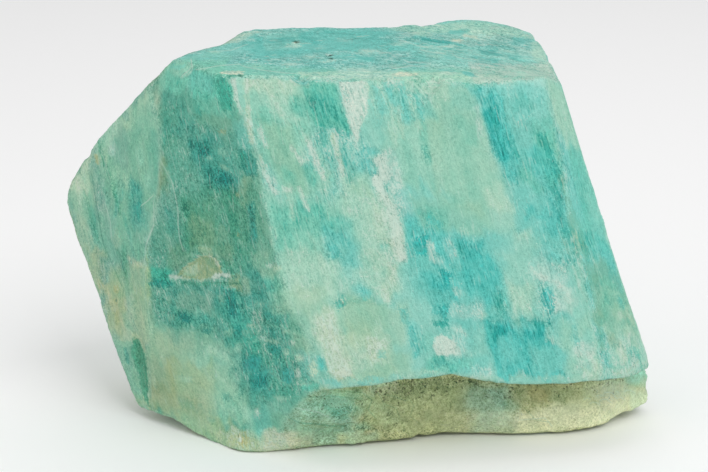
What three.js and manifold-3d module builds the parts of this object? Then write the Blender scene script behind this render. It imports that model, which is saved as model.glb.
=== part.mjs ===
// Rough amazonite: one broken crystal of green-blue microcline feldspar.
//
// The crystal is a leaning block. A nearly level cleavage face closes it on top, a
// broad prism face looks forward, with a narrow bevel on its right and two further
// faces turning away to the left. The prism axis leans: every prism edge moves to the
// right as it goes down. The foot is a rough break, set back under a sharp overhanging
// edge of the front face, and the stone rests on a flat spot of that break.
//
// Frame: millimetres, +X to the right, +Y away from the front face, +Z up.
// Origin: bottom centre of the bounding box, so the seat lies in z = 0.

import * as THREE from 'three';
import { mergeVertices } from 'three/addons/utils/BufferGeometryUtils.js';
import Module from 'manifold-3d';

// ---- driving dimensions, mm ----
const WIDTH = 67.56;          // left edge to right foot, X
const DEPTH = 37.0;           // front overhang to upper back corner, Y
const HEIGHT = 43.65;        // seat to the highest corner of the top face, Z
const FACET = 2.8;          // longest edge of a facet
const SEAT_CUT = 0.0;       // height of the plane that levels the resting spot
const EDGE_WEAR = 0.22;     // share of each crystal edge that is worn round
const FACE_WAVE = 0.13;     // height of the low swells on the crystal faces
const BREAK_WAVE = 0.34;    // height of the lumps on the broken surfaces
const WAVE_LENGTH = 6.5;    // distance between swells
const LUMP_LENGTH = 3.6;    // distance between lumps

// material, by eye: sea green with a faint blue cast, not metallic
const STONE_COLOUR = 0x7cc0ae;
const STONE_ROUGHNESS = 0.55;

// Size of the table below, which the driving dimensions stretch.
const TABLE = { width: 67.56, depth: 37.0, height: 43.65 };

// Corner points of the crystal, mm, in rows of x, y, z. Each block lists the points that
// its face adds to those already given.
const CORNERS = [
  // basal: basal cleavage face on top, nearly level, with its worn rim
  -4.87, -7.76, 42.01,  -11.06, -7.89, 42.47,  -5.99, -14, 41.66,  -9.9, -14.8, 42.22,
  -16.06, -12.7, 42.53,  -13.37, -15.7, 42.07,  -13.13, 4.5, 43.63,  -10.93, 1.3, 43.21,
  -11.87, 6.5, 43.65,  21.9, 1.5, 40.5,  19.28, -4.12, 40.43,  22.1, -5.5, 39.87,
  16.31, 0.63, 41.32,  -18.61, -9.7, 42.85,  20.07, -8.3, 41.04,  8.29, -2.76, 41.73,
  13.96, -3.51, 41.17,  12.05, 0.9, 41.44,  -8.37, -4.25, 42.41,  -6.13, 1.72, 42.85,
  -2.67, -4.12, 42.17,  -9.41, 7.5, 43.5,  -6.59, 9.2, 43.4,  14.68, 15.65, 42.62,
  20.62, 15.5, 41.87,  16.91, 18.5, 42.6,  13.15, 18, 43.04,  0.44, 0.71, 42.44,
  -2.49, 6.66, 42.89,  -1.53, 11.5, 43.21,  2.64, 5.84, 42.75,  -18.16, -4.7, 42.97,
  -19.91, -8.3, 42.66,  17.34, -9.1, 40.7,  14.3, -9.9, 40.47,  -1.83, -13.2, 41.3,
  -13.64, -3.46, 42.98,  10.22, 16.5, 43.03,  8.02, 5.68, 42.01,  5.13, 11.45, 42.74,
  5.93, 1.79, 42.03,  -3.73, 11, 43.41,  6.6, -11.4, 41.07,  6.25, -7.72, 41.34,
  2.36, -12.3, 41.29,  -0.26, -7.5, 41.69,  -14.74, -0.5, 43.2,  -16.33, -2.9, 43.16,
  -17.56, -4, 43.01,  14.79, 6.04, 41.79,  21.31, 12.5, 41.52,  1.98, 13, 43.04,
  5.77, 14.5, 42.98,  10.86, -10.6, 40.76,  2.15, -4.24, 41.7,  11.48, 10.93, 42.31,
  16.25, 12.05, 41.85,
  // prismFront: broad front prism face
  -1.85, -18.4, 9.31,  -4.81, -18.4, 12.89,  -3.76, -18.5, 9.4,  -0.26, -15.77, 24.77,
  -2.9, -17.28, 18.62,  2.4, -16.2, 17.18,  3.97, -13.73, 29.7,  -1.31, -14.91, 31.61,
  26.71, -12.7, 8.11,  25.06, -11.4, 16.84,  21.96, -13.28, 11.98,  13.17, -14.24, 15.68,
  15.83, -12.79, 22.3,  10.41, -13.94, 22.07,  14.17, -11.66, 29.2,  7.74, -15.53, 16.42,
  -4.99, -16.51, 24.97,  -9.74, -17, 29.96,  -8.53, -17.6, 23.64,  4.48, -12.72, 37.04,
  5.05, -14.72, 22.84,  8.77, -13.2, 28.48,  13.41, -15.6, 8.95,  16.48, -15, 8.57,
  15.92, -14.28, 12.08,  18.68, -14.6, 8.26,  22.23, -13.8, 8.04,  20.11, -14.3, 8.44,
  24.35, -13.3, 8.09,  12.1, -15.8, 9.25,  19.06, -10.72, 29.52,  15.19, -10.53, 36.05,
  21.45, -9.2, 34.13,  23.1, -10.3, 24.97,  18.61, -13.25, 16.27,  -0.79, -17.81, 13.25,
  0.49, -18.1, 9.54,  2.4, -17.7, 9.63,  9.91, -15.81, 12.59,  9.93, -16.2, 9.9,
  7.12, -16.7, 9.88,  -7.09, -18, 18.84,  -6.01, -15.77, 31.27,  -5.99, -15.11, 36.47,
  -10.43, -16.5, 34.65,  -0.79, -13.47, 37.73,  22.83, -12.05, 16.47,  9.82, -11.52, 35.71,
  4.54, -16.6, 12.62,  4.54, -17.2, 9.9,  -5.95, -18.2, 16.15,  -12.17, -16, 38.77,
  20.24, -11.43, 22.48,
  // prismBevel: narrow bevel on the right of the front face
  29.18, -9.67, 11.13,  27.52, -9.52, 15.12,  29.11, -11.1, 7.9,  27.5, -6.6, 23.44,
  26.3, -9.13, 20.49,  30.29, -6.9, 15.24,  31.52, -6.9, 11.98,  31.48, -8.4, 7.44,
  28.34, -6.8, 20.75,  32.42, -6.8, 9.37,  32.81, -6.3, 7.07,  23.3, -7.12, 33.68,
  24.32, -5.9, 33.08,  24.83, -7.9, 26.6,  26.56, -6.4, 26.11,
  // prismLeft: front-left prism face, down to the lowest corner
  -23.68, -6.4, 17.53,  -23.2, -6.1, 11.72,  -19.55, -8.4, 15.93,  -17, -11.57, 21.18,
  -19.67, -8.48, 10.16,  -23.56, -5.1, 6.06,  -14.52, -11.54, 8.29,  -13.78, -12.89, 15.03,
  -9.34, -15.57, 14.75,  -12.54, -14.02, 20.98,  -14.1, -13.11, 26.81,  -23.46, -4.1, 1.07,
  -19.29, -8.09, 4.14,  -23.76, -4.2, 2.14,  -10.45, -14.01, 0.05,  -10.4, -14.23, 3.46,
  -11.77, -13.88, 0,  -13.42, -13.78, 0.15,  -8.86, -15.82, 9.2,  -21.98, -8.4, 26.05,
  -19.11, -10.22, 28.29,  -21.28, -8.8, 32.94,  -16.76, -11.43, 33.52,  -21.13, -7.1, 41.15,
  -17.73, -11.12, 38.87,  -22.78, -6.1, 39.43,  -21.44, -8.5, 36.17,  -13.17, -14.63, 32.62,
  -20.13, -6.9, 1.2,  -18.1, -8.5, 0.25,  -7.4, -13.29, 0.25,  -8.36, -16.1, 4.16,
  -5.6, -17.6, 7.67,  -15.01, -11.3, -0.23,  -14.02, -12.1, 3.25,  -6.13, -17.49, 9.22,
  -20.48, -8.49, 22.8,  -23.15, -7.1, 22.09,
  // sideLeft: narrow worn face at the far left
  -26.54, -1.6, 29.05,  -25.92, -3.59, 23.79,  -26.68, -1.67, 16.85,  -24.64, -3.5, 37.38,
  -25.05, -3.62, 34.05,  -26.71, -0.5, 34.98,  -29.45, 2.7, 31.9,  -30.49, 2.1, 25.85,
  -33.78, 5.5, 23.95,  -33.21, 5.3, 26.03,  -31.06, 3.9, 29.25,  -30.08, 2, 20.57,
  -24.99, -2.78, 8.27,  -26.03, -2.79, 11.86,  -30.63, 3.5, 30.21,  -31.98, 4.5, 28.35,
  -26.36, -1.54, 5.2,  -31.75, 4, 16.54,  -32.8, 4.7, 19.12,  -33.59, 5.3, 21.97,
  -25.89, -1.5, 1.9,  -25.27, -2.1, 1.01,  -30.59, 3.2, 13.75,  -28.98, 0.86, 14.92,
  -28.32, 1.1, 7.6,  -24.63, -3.04, 4.14,  -24.75, -2.7, 0.87,
  // recessWall: rough wall set back under the front face
  4.89, -12.5, 6.42,  7.43, -11.5, 11,  4.83, -12.4, 10.9,  15.83, -10.4, 3.09,
  10.26, -10.7, 3.67,  13.77, -8.61, 0.35,  15.82, -10.1, 5.1,  21.44, -9.3, 5.05,
  16.63, -10.3, 10.2,  13.43, -10.7, 10.6,  -4.91, -15.8, 3.99,  10.45, -10.9, 6.09,
  10.23, -10.9, 11,  18.58, -8.82, 0.25,  19.23, -10, 10.4,  22.03, -9.5, 10.3,
  9.62, -8.53, 0.5,  4.71, -11.7, 3.69,  -5.44, -12.66, 0.3,  33.66, -0.9, 2.29,
  33.25, -1.66, 1.1,  33.78, -1.08, 1.5,  32.22, -2.52, 0.8,  24.63, -8.5, 10,
  26.72, -7.9, 5.02,  2.83, -13.5, 10.4,  -2.4, -17.4, 7.49,  -1.35, -14.1, 3.41,
  2.47, -13.7, 6.16,  1.23, -15.1, 9.8,  21.67, -9.7, 3.07,  23.13, -8.14, 0.35,
  26.82, -7.7, 2.81,  -0.14, -12, 0.4,  1.41, -11.39, 0.4,  -3.79, -12.18, 0.35,
  27.98, -6.08, 0.6,  29.38, -4.95, 0.6,  26.24, -7.45, 0.45,  30.7, -5.1, 4.51,
  33.51, -0.9, 3.15,  32.23, -2.9, 8.6,  29.83, -5.5, 9.4,  27.23, -7.3, 9.7,
  0.49, -16.5, 7.34,  24.76, -7.61, 0.45,  4.63, -10.95, 0.35,  30.56, -4.9, 2.76,
  30.43, -3.79, 0.9,  -0.97, -17.1, 9.2,  6.54, -10.1, 0.5,  8.37, -8.85, 0.5,
  // overhang: under edge of the front face, above the rough wall
  // prismRight: right-hand prism face
  21.79, 10.97, 34.76,  22.03, 16.3, 30,  29.63, 12.3, 5.5,  26.23, 15.1, 17,
  27.15, 10.66, 14.08,  26.58, 8.05, 19.04,  28.82, 7.76, 9.92,  28.14, 5.44, 13.88,
  27.17, 1.97, 20.08,  30.75, 1.89, 9.26,  24.2, 10.7, 25.14,  29.31, -1.05, 14.09,
  24.32, -3.22, 30.91,  26.08, -1.43, 24.35,  23.81, 2.16, 31.06,  22.56, -0.76, 36,
  30.72, 5.22, 5.15,  30.43, 7.5, 2.2,  23.24, 9.24, 29.35,  28, -3.33, 20.07,
  22.39, 5.64, 35.98,  32.63, 2.7, 2.4,  25.52, 5.08, 24.27,
  // backUpper: upper back face
  -12.89, 9.81, 35.95,  -16.97, 8.5, 37.6,  -17.57, 9.4, 32.6,  -12.87, 10.5, 30.6,
  -22.97, 9.9, 32.4,  7.63, 15.7, 28,  2.63, 13.9, 29.4,  4.04, 14.63, 35.1,
  10.15, 16.72, 36.71,  -8.37, 11.1, 31.6,  -7.63, 11.17, 36.76,  -2.29, 12.58, 35.96,
  -3.37, 12.9, 29,  13.13, 17.4, 30.6,  15.63, 17.52, 36.33,
  // backStep: cleavage step across the back
  12.63, 18.2, 28.4,  -19.17, 11.3, 30,  -13.37, 12.4, 27.6,  -8.57, 12.9, 29.2,
  -3.57, 14.7, 26.4,  2.23, 15.6, 27,  7.23, 17.1, 25,
  // backLower: lower back face
  -25.97, 10.5, 21,  -20.17, 10.8, 18.21,  -21.87, 8, 9.5,  -9.87, 12.1, 5.8,
  -16.59, 10.69, 11.31,  -13.14, 12.35, 16.83,  11.51, 15.48, 7.54,  16.63, 15.5, 4,
  3.13, 14.3, 4.2,  -4.46, 13.54, 12.72,  1.29, 14.03, 12.72,  -16.93, 11.74, 23.67,
  20.81, 17.06, 22.17,  13.98, 17.43, 22.08,  1.41, 15.42, 23.88,  -4.46, 14.31, 23.21,
  -10.83, 12.33, 11.88,  -7.98, 13.56, 17.17,  -1.29, 13.87, 17.01,  11.07, 15.82, 18.46,
  8.84, 15.37, 12.34,  17.31, 16.31, 17.93,  -11.13, 12.95, 23.39,  4.41, 15.97, 18.32,
  15.34, 15.23, 12.29,  21.3, 15.23, 12.25,
  // backLeft: broken surface behind the left edge
  -23.97, 2.9, 4.2,  -28.77, 7.1, 14,  -28.97, 8.7, 27.2,
  // shoulder: sloping break from the top to the left edge
  -21.96, 3.71, 36.29,  -15.17, 3.9, 42,  -17.57, -1.3, 41.3,
  // underside: broken skirt round the seat
  2.63, 8, -0.35,  12.63, 9, -0.35,  -7.37, 6, -0.35,  -13.87, 2.5, -0.35,
  -16.87, -2.5, -0.35,  22.63, 7, -0.35,  26.13, -1.5, -0.35,  -9.37, -12.3, -0.35,
  22.63, -4.5, -0.35,  26.63, 2.5, -0.35,  17.13, -6.1, -0.35,  9.63, -5.7, -0.35,
  -5.87, -11.7, -0.35,  3.63, -7.5, -0.35,  -2.37, -9.9, -0.35,  -16.37, -7.1, -0.35,
  -13.17, -10.1, -0.35,
  // seat: patch the stone rests on
  -3.37, 2.61, -0.35,  -7.04, -3.69, -0.35,  21.87, 2.08, -0.35,  -9.84, -8.64, -0.35,
  0.72, -3.5, -0.35,  3.22, 2.73, -0.35,  9.5, 2.48, -0.35,  -13.92, -3.89, -0.35,
  15.02, 1.82, -0.35,
];

// Faces of the crystal, as triangles between those corners, anticlockwise from outside.
const FACES = {
  basal: [
    0,1,2, 0,2,35, 0,18,1, 0,20,18, 0,35,45, 0,45,20, 1,3,2, 1,4,3, 1,13,4, 1,18,36, 1,31,13, 1,36,31, 3,4,5,
    6,7,8, 6,46,7, 7,18,19, 7,19,21, 7,21,8, 7,36,18, 7,46,36, 9,10,11, 9,12,10, 9,49,12, 9,50,49, 10,12,16,
    10,14,11, 10,16,33, 10,33,14, 12,17,16, 12,49,17, 13,31,32, 15,16,17, 15,17,40, 15,40,54, 15,43,53,
    15,53,16, 15,54,43, 16,34,33, 16,53,34, 17,38,40, 17,49,38, 18,20,19, 19,20,27, 19,22,21, 19,27,28,
    19,28,22, 20,45,54, 20,54,27, 22,28,41, 23,24,25, 23,25,26, 23,26,37, 23,37,55, 23,55,56, 23,56,24,
    24,56,50, 27,30,28, 27,40,30, 27,54,40, 28,29,41, 28,30,29, 29,30,51, 30,38,39, 30,39,51, 30,40,38,
    31,36,48, 35,44,45, 36,46,47, 36,47,48, 37,52,55, 38,49,55, 38,55,39, 39,52,51, 39,55,52, 42,43,44,
    42,53,43, 43,45,44, 43,54,45, 49,50,56, 49,56,55,
  ],
  prismFront: [
    2,3,100, 2,100,35, 3,5,108, 3,108,100, 14,33,89, 33,34,88, 33,88,89, 34,53,88, 35,100,102, 35,102,44,
    42,44,76, 42,76,104, 42,104,53, 44,102,76, 53,104,88, 57,58,59, 57,92,58, 57,93,92, 58,92,107, 60,61,62,
    60,62,77, 60,63,64, 60,64,73, 60,73,61, 60,77,63, 61,73,98, 61,92,62, 61,98,107, 61,107,92, 62,72,77,
    62,92,105, 62,105,72, 63,76,64, 63,77,78, 63,78,104, 63,104,76, 64,76,102, 64,99,73, 64,100,99, 64,102,100,
    65,66,67, 65,67,85, 66,90,109, 66,103,67, 66,109,103, 67,81,84, 67,83,85, 67,84,83, 67,91,81, 67,103,91,
    68,69,70, 68,70,72, 68,72,95, 68,81,91, 68,91,69, 68,95,81, 69,71,70, 69,87,71, 69,91,109, 69,109,87,
    70,71,78, 70,77,72, 70,78,77, 71,87,88, 71,88,104, 71,104,78, 72,105,95, 73,74,75, 73,75,98, 73,99,74,
    74,99,101, 79,80,81, 79,81,86, 80,82,81, 81,82,84, 81,95,86, 86,95,96, 87,89,88, 87,90,89, 87,109,90,
    91,103,109, 92,93,94, 92,94,105, 94,106,105, 95,97,96, 95,105,97, 97,105,106, 99,100,101, 100,108,101,
  ],
  prismBevel: [
    11,14,89, 11,89,121, 11,121,122, 65,110,66, 65,112,110, 66,110,111, 66,111,114, 66,114,90, 89,90,123,
    89,122,121, 89,123,122, 90,113,123, 90,114,113, 110,112,117, 110,116,111, 110,117,119, 110,119,116,
    111,115,114, 111,116,115, 113,114,118, 113,124,123, 114,115,118, 117,120,119, 122,123,124,
  ],
  prismLeft: [
    4,13,149, 4,149,5, 5,149,108, 13,32,148, 13,148,149, 58,107,133, 58,133,143, 58,143,160, 58,160,59,
    59,160,157, 74,101,152, 74,135,75, 74,152,135, 75,134,98, 75,135,134, 98,133,107, 98,134,133, 101,108,152,
    108,147,152, 108,149,147, 125,126,127, 125,127,128, 125,128,161, 125,161,162, 126,129,127, 126,130,129,
    127,129,132, 127,132,128, 128,132,134, 128,134,135, 128,135,161, 129,130,137, 129,131,132, 129,137,131,
    130,138,137, 131,133,132, 131,137,159, 131,143,133, 131,159,143, 132,133,134, 135,145,161, 135,152,145,
    136,137,138, 136,153,137, 137,153,154, 137,154,159, 139,140,141, 139,155,156, 139,156,140, 140,142,141,
    140,143,159, 140,156,143, 140,159,142, 142,159,158, 143,156,157, 143,157,160, 144,145,146, 144,161,145,
    144,162,161, 145,147,146, 145,152,147, 146,147,151, 147,149,151, 148,150,149, 149,150,151, 154,158,159,
  ],
  sideLeft: [
    125,162,165, 125,165,176, 125,176,126, 126,175,130, 126,176,175, 130,175,179, 130,179,188, 130,188,138,
    136,138,189, 138,183,184, 138,184,189, 138,188,183, 144,146,163, 144,163,164, 144,164,162, 146,151,167,
    146,167,163, 150,166,151, 151,166,167, 162,164,174, 162,174,165, 163,167,169, 163,169,177, 163,170,164,
    163,173,170, 163,177,173, 164,170,174, 165,174,180, 165,180,186, 165,186,176, 166,168,167, 167,168,169,
    170,171,182, 170,172,171, 170,173,178, 170,178,172, 170,182,174, 174,181,180, 174,182,181, 175,176,187,
    175,187,179, 176,185,187, 176,186,185, 179,183,188, 179,187,183, 180,185,186,
  ],
  recessWall: [
    59,157,216, 59,216,239, 155,200,156, 155,208,200, 156,200,157, 157,200,216, 190,191,192, 190,192,215,
    190,194,201, 190,201,191, 190,207,194, 190,215,218, 190,218,207, 191,201,202, 193,194,195, 193,195,203,
    193,196,194, 193,197,196, 193,203,220, 193,220,197, 194,196,201, 194,206,195, 194,207,241, 194,241,206,
    196,197,204, 196,198,199, 196,199,201, 196,204,198, 197,205,204, 197,213,205, 197,214,213, 197,220,214,
    199,202,201, 200,208,225, 200,217,216, 200,225,217, 203,221,220, 207,218,224, 207,224,236, 207,236,240,
    207,240,241, 209,210,211, 209,212,210, 209,230,237, 209,237,212, 212,237,238, 213,214,233, 214,220,222,
    214,222,229, 214,229,232, 214,232,233, 215,219,218, 216,217,234, 216,234,239, 217,218,234, 217,223,224,
    217,224,218, 217,225,223, 218,219,234, 219,239,234, 220,221,235, 220,235,222, 222,226,227, 222,227,237,
    222,228,226, 222,235,228, 222,237,229, 227,238,237, 229,230,231, 229,231,232, 229,237,230,
  ],
  overhang: [
    57,59,239, 57,239,93, 65,85,213, 65,213,112, 79,86,199, 79,199,80, 80,198,82, 80,199,198, 82,198,204,
    82,204,84, 83,84,204, 83,204,205, 83,205,85, 85,205,213, 86,96,202, 86,202,199, 93,219,94, 93,239,219,
    94,219,106, 96,97,191, 96,191,202, 97,106,192, 97,192,191, 106,215,192, 106,219,215, 112,213,233,
    112,233,117, 117,232,120, 117,233,232, 120,232,231,
  ],
  prismRight: [
    9,11,257, 9,257,262, 9,262,50, 11,122,257, 24,50,242, 24,242,243, 50,262,242, 113,118,261, 113,255,124,
    113,261,255, 115,116,253, 115,253,261, 115,261,118, 116,119,231, 116,231,253, 119,120,231, 122,124,254,
    122,254,257, 124,255,254, 209,211,263, 209,263,230, 230,251,231, 230,263,251, 231,251,253, 242,260,243,
    242,262,260, 243,252,245, 243,260,252, 244,245,246, 244,246,248, 244,248,258, 244,258,259, 245,247,246,
    245,252,247, 246,247,249, 246,249,248, 247,250,249, 247,252,264, 247,264,250, 248,249,251, 248,251,258,
    249,250,253, 249,253,251, 250,255,261, 250,261,253, 250,264,255, 251,263,258, 252,260,264, 254,255,256,
    254,256,257, 255,264,256, 256,260,262, 256,262,257, 256,264,260, 258,263,259,
  ],
  backUpper: [
    8,21,265, 8,265,266, 21,22,275, 21,275,265, 22,41,275, 24,243,279, 24,279,25, 25,279,26, 26,273,37,
    26,279,273, 29,51,276, 29,276,41, 37,273,52, 41,276,275, 51,52,272, 51,272,276, 52,273,272, 243,278,279,
    265,267,266, 265,268,267, 265,274,268, 265,275,274, 266,267,269, 270,271,272, 270,272,273, 270,273,278,
    271,276,272, 271,277,276, 273,279,278, 274,275,276, 274,276,277,
  ],
  backStep: [
    243,280,278, 267,268,281, 268,274,283, 268,282,281, 268,283,282, 270,278,280, 270,280,286, 270,285,271,
    270,286,285, 271,285,277, 274,277,283, 277,284,283, 277,285,284,
  ],
  backLower: [
    243,245,299, 243,299,280, 244,294,312, 244,312,245, 245,308,299, 245,312,308, 280,299,300, 280,300,286,
    281,282,298, 281,298,287, 282,283,309, 282,309,298, 283,284,302, 283,302,309, 284,285,301, 284,301,302,
    285,286,301, 286,300,306, 286,306,310, 286,310,301, 287,288,289, 287,298,288, 288,291,289, 288,292,291,
    288,298,292, 289,291,290, 290,291,303, 290,296,295, 290,303,296, 291,292,303, 292,298,309, 292,304,303,
    292,309,304, 293,294,295, 293,295,307, 293,307,311, 293,311,294, 294,311,312, 295,296,297, 295,297,307,
    296,303,304, 296,304,305, 296,305,297, 297,305,310, 297,310,307, 299,308,300, 300,308,306, 301,305,302,
    301,310,305, 302,304,309, 302,305,304, 306,307,310, 306,308,311, 306,311,307, 308,312,311,
  ],
  backLeft: [
    171,287,182, 171,315,287, 180,181,314, 180,314,185, 181,182,287, 181,287,314, 183,187,313, 183,313,184,
    185,314,187, 187,289,313, 187,314,289, 267,281,269, 269,281,287, 269,287,315, 287,289,314,
  ],
  shoulder: [
    6,8,266, 6,266,317, 6,317,46, 31,48,318, 31,148,32, 31,150,148, 31,166,150, 31,318,166, 46,317,318,
    46,318,47, 47,318,48, 166,316,168, 166,318,316, 168,316,169, 169,315,177, 169,316,315, 171,172,315,
    172,178,315, 173,177,315, 173,315,178, 266,269,316, 266,316,317, 269,315,316, 316,318,317,
  ],
  underside: [
    136,189,323, 136,323,153, 139,141,326, 139,326,155, 141,142,335, 141,335,326, 142,158,335, 153,323,334,
    153,334,154, 154,334,158, 155,326,331, 155,331,208, 158,334,335, 184,313,189, 189,313,323, 195,206,330,
    195,329,203, 195,330,329, 203,327,221, 203,329,327, 206,241,330, 208,331,225, 210,212,263, 210,263,211,
    212,238,325, 212,325,328, 212,328,263, 221,327,235, 223,225,333, 223,333,224, 224,332,236, 224,333,332,
    225,331,333, 226,228,327, 226,325,227, 226,327,325, 227,325,238, 228,235,327, 236,332,240, 240,332,241,
    241,332,330, 244,259,324, 244,324,294, 259,263,328, 259,328,324, 289,290,322, 289,322,313, 290,295,319,
    290,319,321, 290,321,322, 294,320,295, 294,324,320, 295,320,319, 313,322,323,
  ],
  seat: [
    319,320,342, 319,336,321, 319,341,336, 319,342,341, 320,324,344, 320,344,342, 321,336,337, 321,337,322,
    322,337,343, 322,343,323, 323,343,334, 324,328,338, 324,338,344, 325,327,338, 325,338,328, 326,335,339,
    326,339,331, 327,329,338, 329,330,344, 329,344,338, 330,332,340, 330,340,341, 330,341,342, 330,342,344,
    331,337,333, 331,339,337, 332,333,340, 333,337,340, 334,343,335, 335,343,339, 336,340,337, 336,341,340,
    337,339,343,
  ],
};

// Surfaces that broke, rather than grew or cleaved: they are lumpier.
const BROKEN = new Set(['recessWall', 'overhang', 'backStep', 'backLeft', 'shoulder', 'underside']);

// ---- repeatable lattice noise, -1 to 1 ----
function hash(ix, iy, iz, seed) {
  let h = Math.imul(ix, 374761393) ^ Math.imul(iy, 668265263) ^ Math.imul(iz, 2147483647 ^ 0x5bd1e995) ^ Math.imul(seed, 974634777);
  h = Math.imul(h ^ (h >>> 13), 1274126177);
  h = Math.imul(h ^ (h >>> 15), 2246822519);
  return ((h ^ (h >>> 16)) >>> 0) / 4294967295 * 2 - 1;
}
function noise(x, y, z, seed) {
  const ix = Math.floor(x), iy = Math.floor(y), iz = Math.floor(z);
  const fx = x - ix, fy = y - iy, fz = z - iz;
  const s = (t) => t * t * t * (t * (t * 6 - 15) + 10);
  const u = s(fx), v = s(fy), w = s(fz);
  const lerp = (a, b, t) => a + (b - a) * t;
  const g = (a, b, c) => hash(ix + a, iy + b, iz + c, seed);
  return lerp(
    lerp(lerp(g(0, 0, 0), g(1, 0, 0), u), lerp(g(0, 1, 0), g(1, 1, 0), u), v),
    lerp(lerp(g(0, 0, 1), g(1, 0, 1), u), lerp(g(0, 1, 1), g(1, 1, 1), u), v), w);
}

// ---- corner points at their real size ----
const points = [];
for (let i = 0; i < CORNERS.length; i += 3) {
  points.push(new THREE.Vector3(
    CORNERS[i] * WIDTH / TABLE.width,
    CORNERS[i + 1] * DEPTH / TABLE.depth,
    CORNERS[i + 2] * HEIGHT / TABLE.height));
}
let triangles = [];
for (const [face, list] of Object.entries(FACES)) {
  for (let i = 0; i < list.length; i += 3) triangles.push({ v: list.slice(i, i + 3), face });
}

// ---- split long edges, then swap diagonals inside a face for better triangles ----
const key = (a, b) => (a < b ? a * 65536 + b : b * 65536 + a);
function edgeTable() {
  const edges = new Map();
  triangles.forEach((t, n) => {
    for (let k = 0; k < 3; k++) {
      const id = key(t.v[k], t.v[(k + 1) % 3]);
      if (!edges.has(id)) edges.set(id, []);
      edges.get(id).push(n);
    }
  });
  return edges;
}
function splitPass(limit) {
  const edges = edgeTable();
  const long = [];
  for (const [id, owners] of edges) {
    const a = Math.floor(id / 65536), b = id % 65536;
    const length = points[a].distanceTo(points[b]);
    if (length > limit) long.push({ a, b, length, owners });
  }
  long.sort((p, q) => q.length - p.length || p.a - q.a || p.b - q.b);
  const used = new Set();
  const added = [];
  for (const { a, b, owners } of long) {
    if (owners.some((n) => used.has(n))) continue;
    const m = points.push(points[a].clone().add(points[b]).multiplyScalar(0.5)) - 1;
    for (const n of owners) {
      used.add(n);
      const t = triangles[n], k = t.v.findIndex((p, i) => key(p, t.v[(i + 1) % 3]) === key(a, b));
      const [p, q, r] = [t.v[k], t.v[(k + 1) % 3], t.v[(k + 2) % 3]];
      triangles[n] = { v: [p, m, r], face: t.face };
      added.push({ v: [m, q, r], face: t.face });
    }
  }
  triangles.push(...added);
  return long.length;
}
const normalOf = (a, b, c) => new THREE.Vector3().crossVectors(
  points[b].clone().sub(points[a]), points[c].clone().sub(points[a]));
function smallestAngle(a, b, c) {
  const [A, B, C] = [points[a], points[b], points[c]];
  const angle = (p, q, r) => q.clone().sub(p).angleTo(r.clone().sub(p));
  return Math.min(angle(A, B, C), angle(B, C, A), angle(C, A, B));
}
function swapPass() {
  const edges = edgeTable();
  const touched = new Set();
  for (const [id, owners] of edges) {
    if (owners.length !== 2 || owners.some((n) => touched.has(n))) continue;
    const [s, t] = owners.map((n) => triangles[n]);
    if (s.face !== t.face) continue;
    const a = Math.floor(id / 65536), b = id % 65536;
    const k = s.v.findIndex((p, i) => key(p, s.v[(i + 1) % 3]) === id);
    const [p, q, r] = [s.v[k], s.v[(k + 1) % 3], s.v[(k + 2) % 3]];
    const o = t.v.find((x) => x !== a && x !== b);
    if (edges.has(key(r, o))) continue;
    const before = normalOf(p, q, r).normalize(), other = normalOf(q, p, o).normalize();
    if (before.dot(other) < 0.9) continue;
    const n1 = normalOf(p, o, r), n2 = normalOf(o, q, r);
    if (n1.dot(before) <= 0 || n2.dot(before) <= 0) continue;
    if (Math.min(smallestAngle(p, o, r), smallestAngle(o, q, r))
      <= Math.min(smallestAngle(p, q, r), smallestAngle(q, p, o)) + 0.02) continue;
    triangles[owners[0]] = { v: [p, o, r], face: s.face };
    triangles[owners[1]] = { v: [o, q, r], face: s.face };
    touched.add(owners[0]); touched.add(owners[1]);
    edges.set(key(r, o), owners);
  }
}
for (let pass = 0; pass < 3; pass++) swapPass();
for (let pass = 0; pass < 40; pass++) {
  const left = splitPass(FACET);
  swapPass();
  if (!left) break;
}

// ---- worn edges: each point moves part of the way to the middle of its neighbours ----
const neighbours = points.map(() => new Set());
for (const { v } of triangles) {
  for (let k = 0; k < 3; k++) { neighbours[v[k]].add(v[(k + 1) % 3]); neighbours[v[k]].add(v[(k + 2) % 3]); }
}
const facesAt = points.map(() => new Set());
for (const { v, face } of triangles) v.forEach((p) => facesAt[p].add(face));
for (let pass = 0; pass < 2; pass++) {
  const moved = points.map((p, i) => {
    const middle = new THREE.Vector3();
    neighbours[i].forEach((n) => middle.add(points[n]));
    middle.multiplyScalar(1 / neighbours[i].size);
    return p.clone().lerp(middle, facesAt[i].size === 1 ? 0.4 : EDGE_WEAR);
  });
  moved.forEach((p, i) => points[i].copy(p));
}

// ---- low swells on crystal faces, lumps on the breaks ----
const normals = points.map(() => new THREE.Vector3());
for (const { v } of triangles) {
  const n = normalOf(...v);
  v.forEach((p) => normals[p].add(n));
}
const shifted = points.map((p, i) => {
  const kinds = [...facesAt[i]];
  const rough = kinds.filter((f) => BROKEN.has(f)).length / kinds.length;
  const swell = noise(p.x / WAVE_LENGTH, p.y / WAVE_LENGTH, p.z / WAVE_LENGTH, 3);
  const lump = noise(p.x / LUMP_LENGTH, p.y / LUMP_LENGTH, p.z / LUMP_LENGTH, 7);
  const lift = kinds.includes('seat') ? 0 : FACE_WAVE * (1 - rough) * swell + BREAK_WAVE * rough * lump;
  return p.clone().addScaledVector(normals[i].normalize(), lift);
});
shifted.forEach((p, i) => points[i].copy(p));

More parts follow.
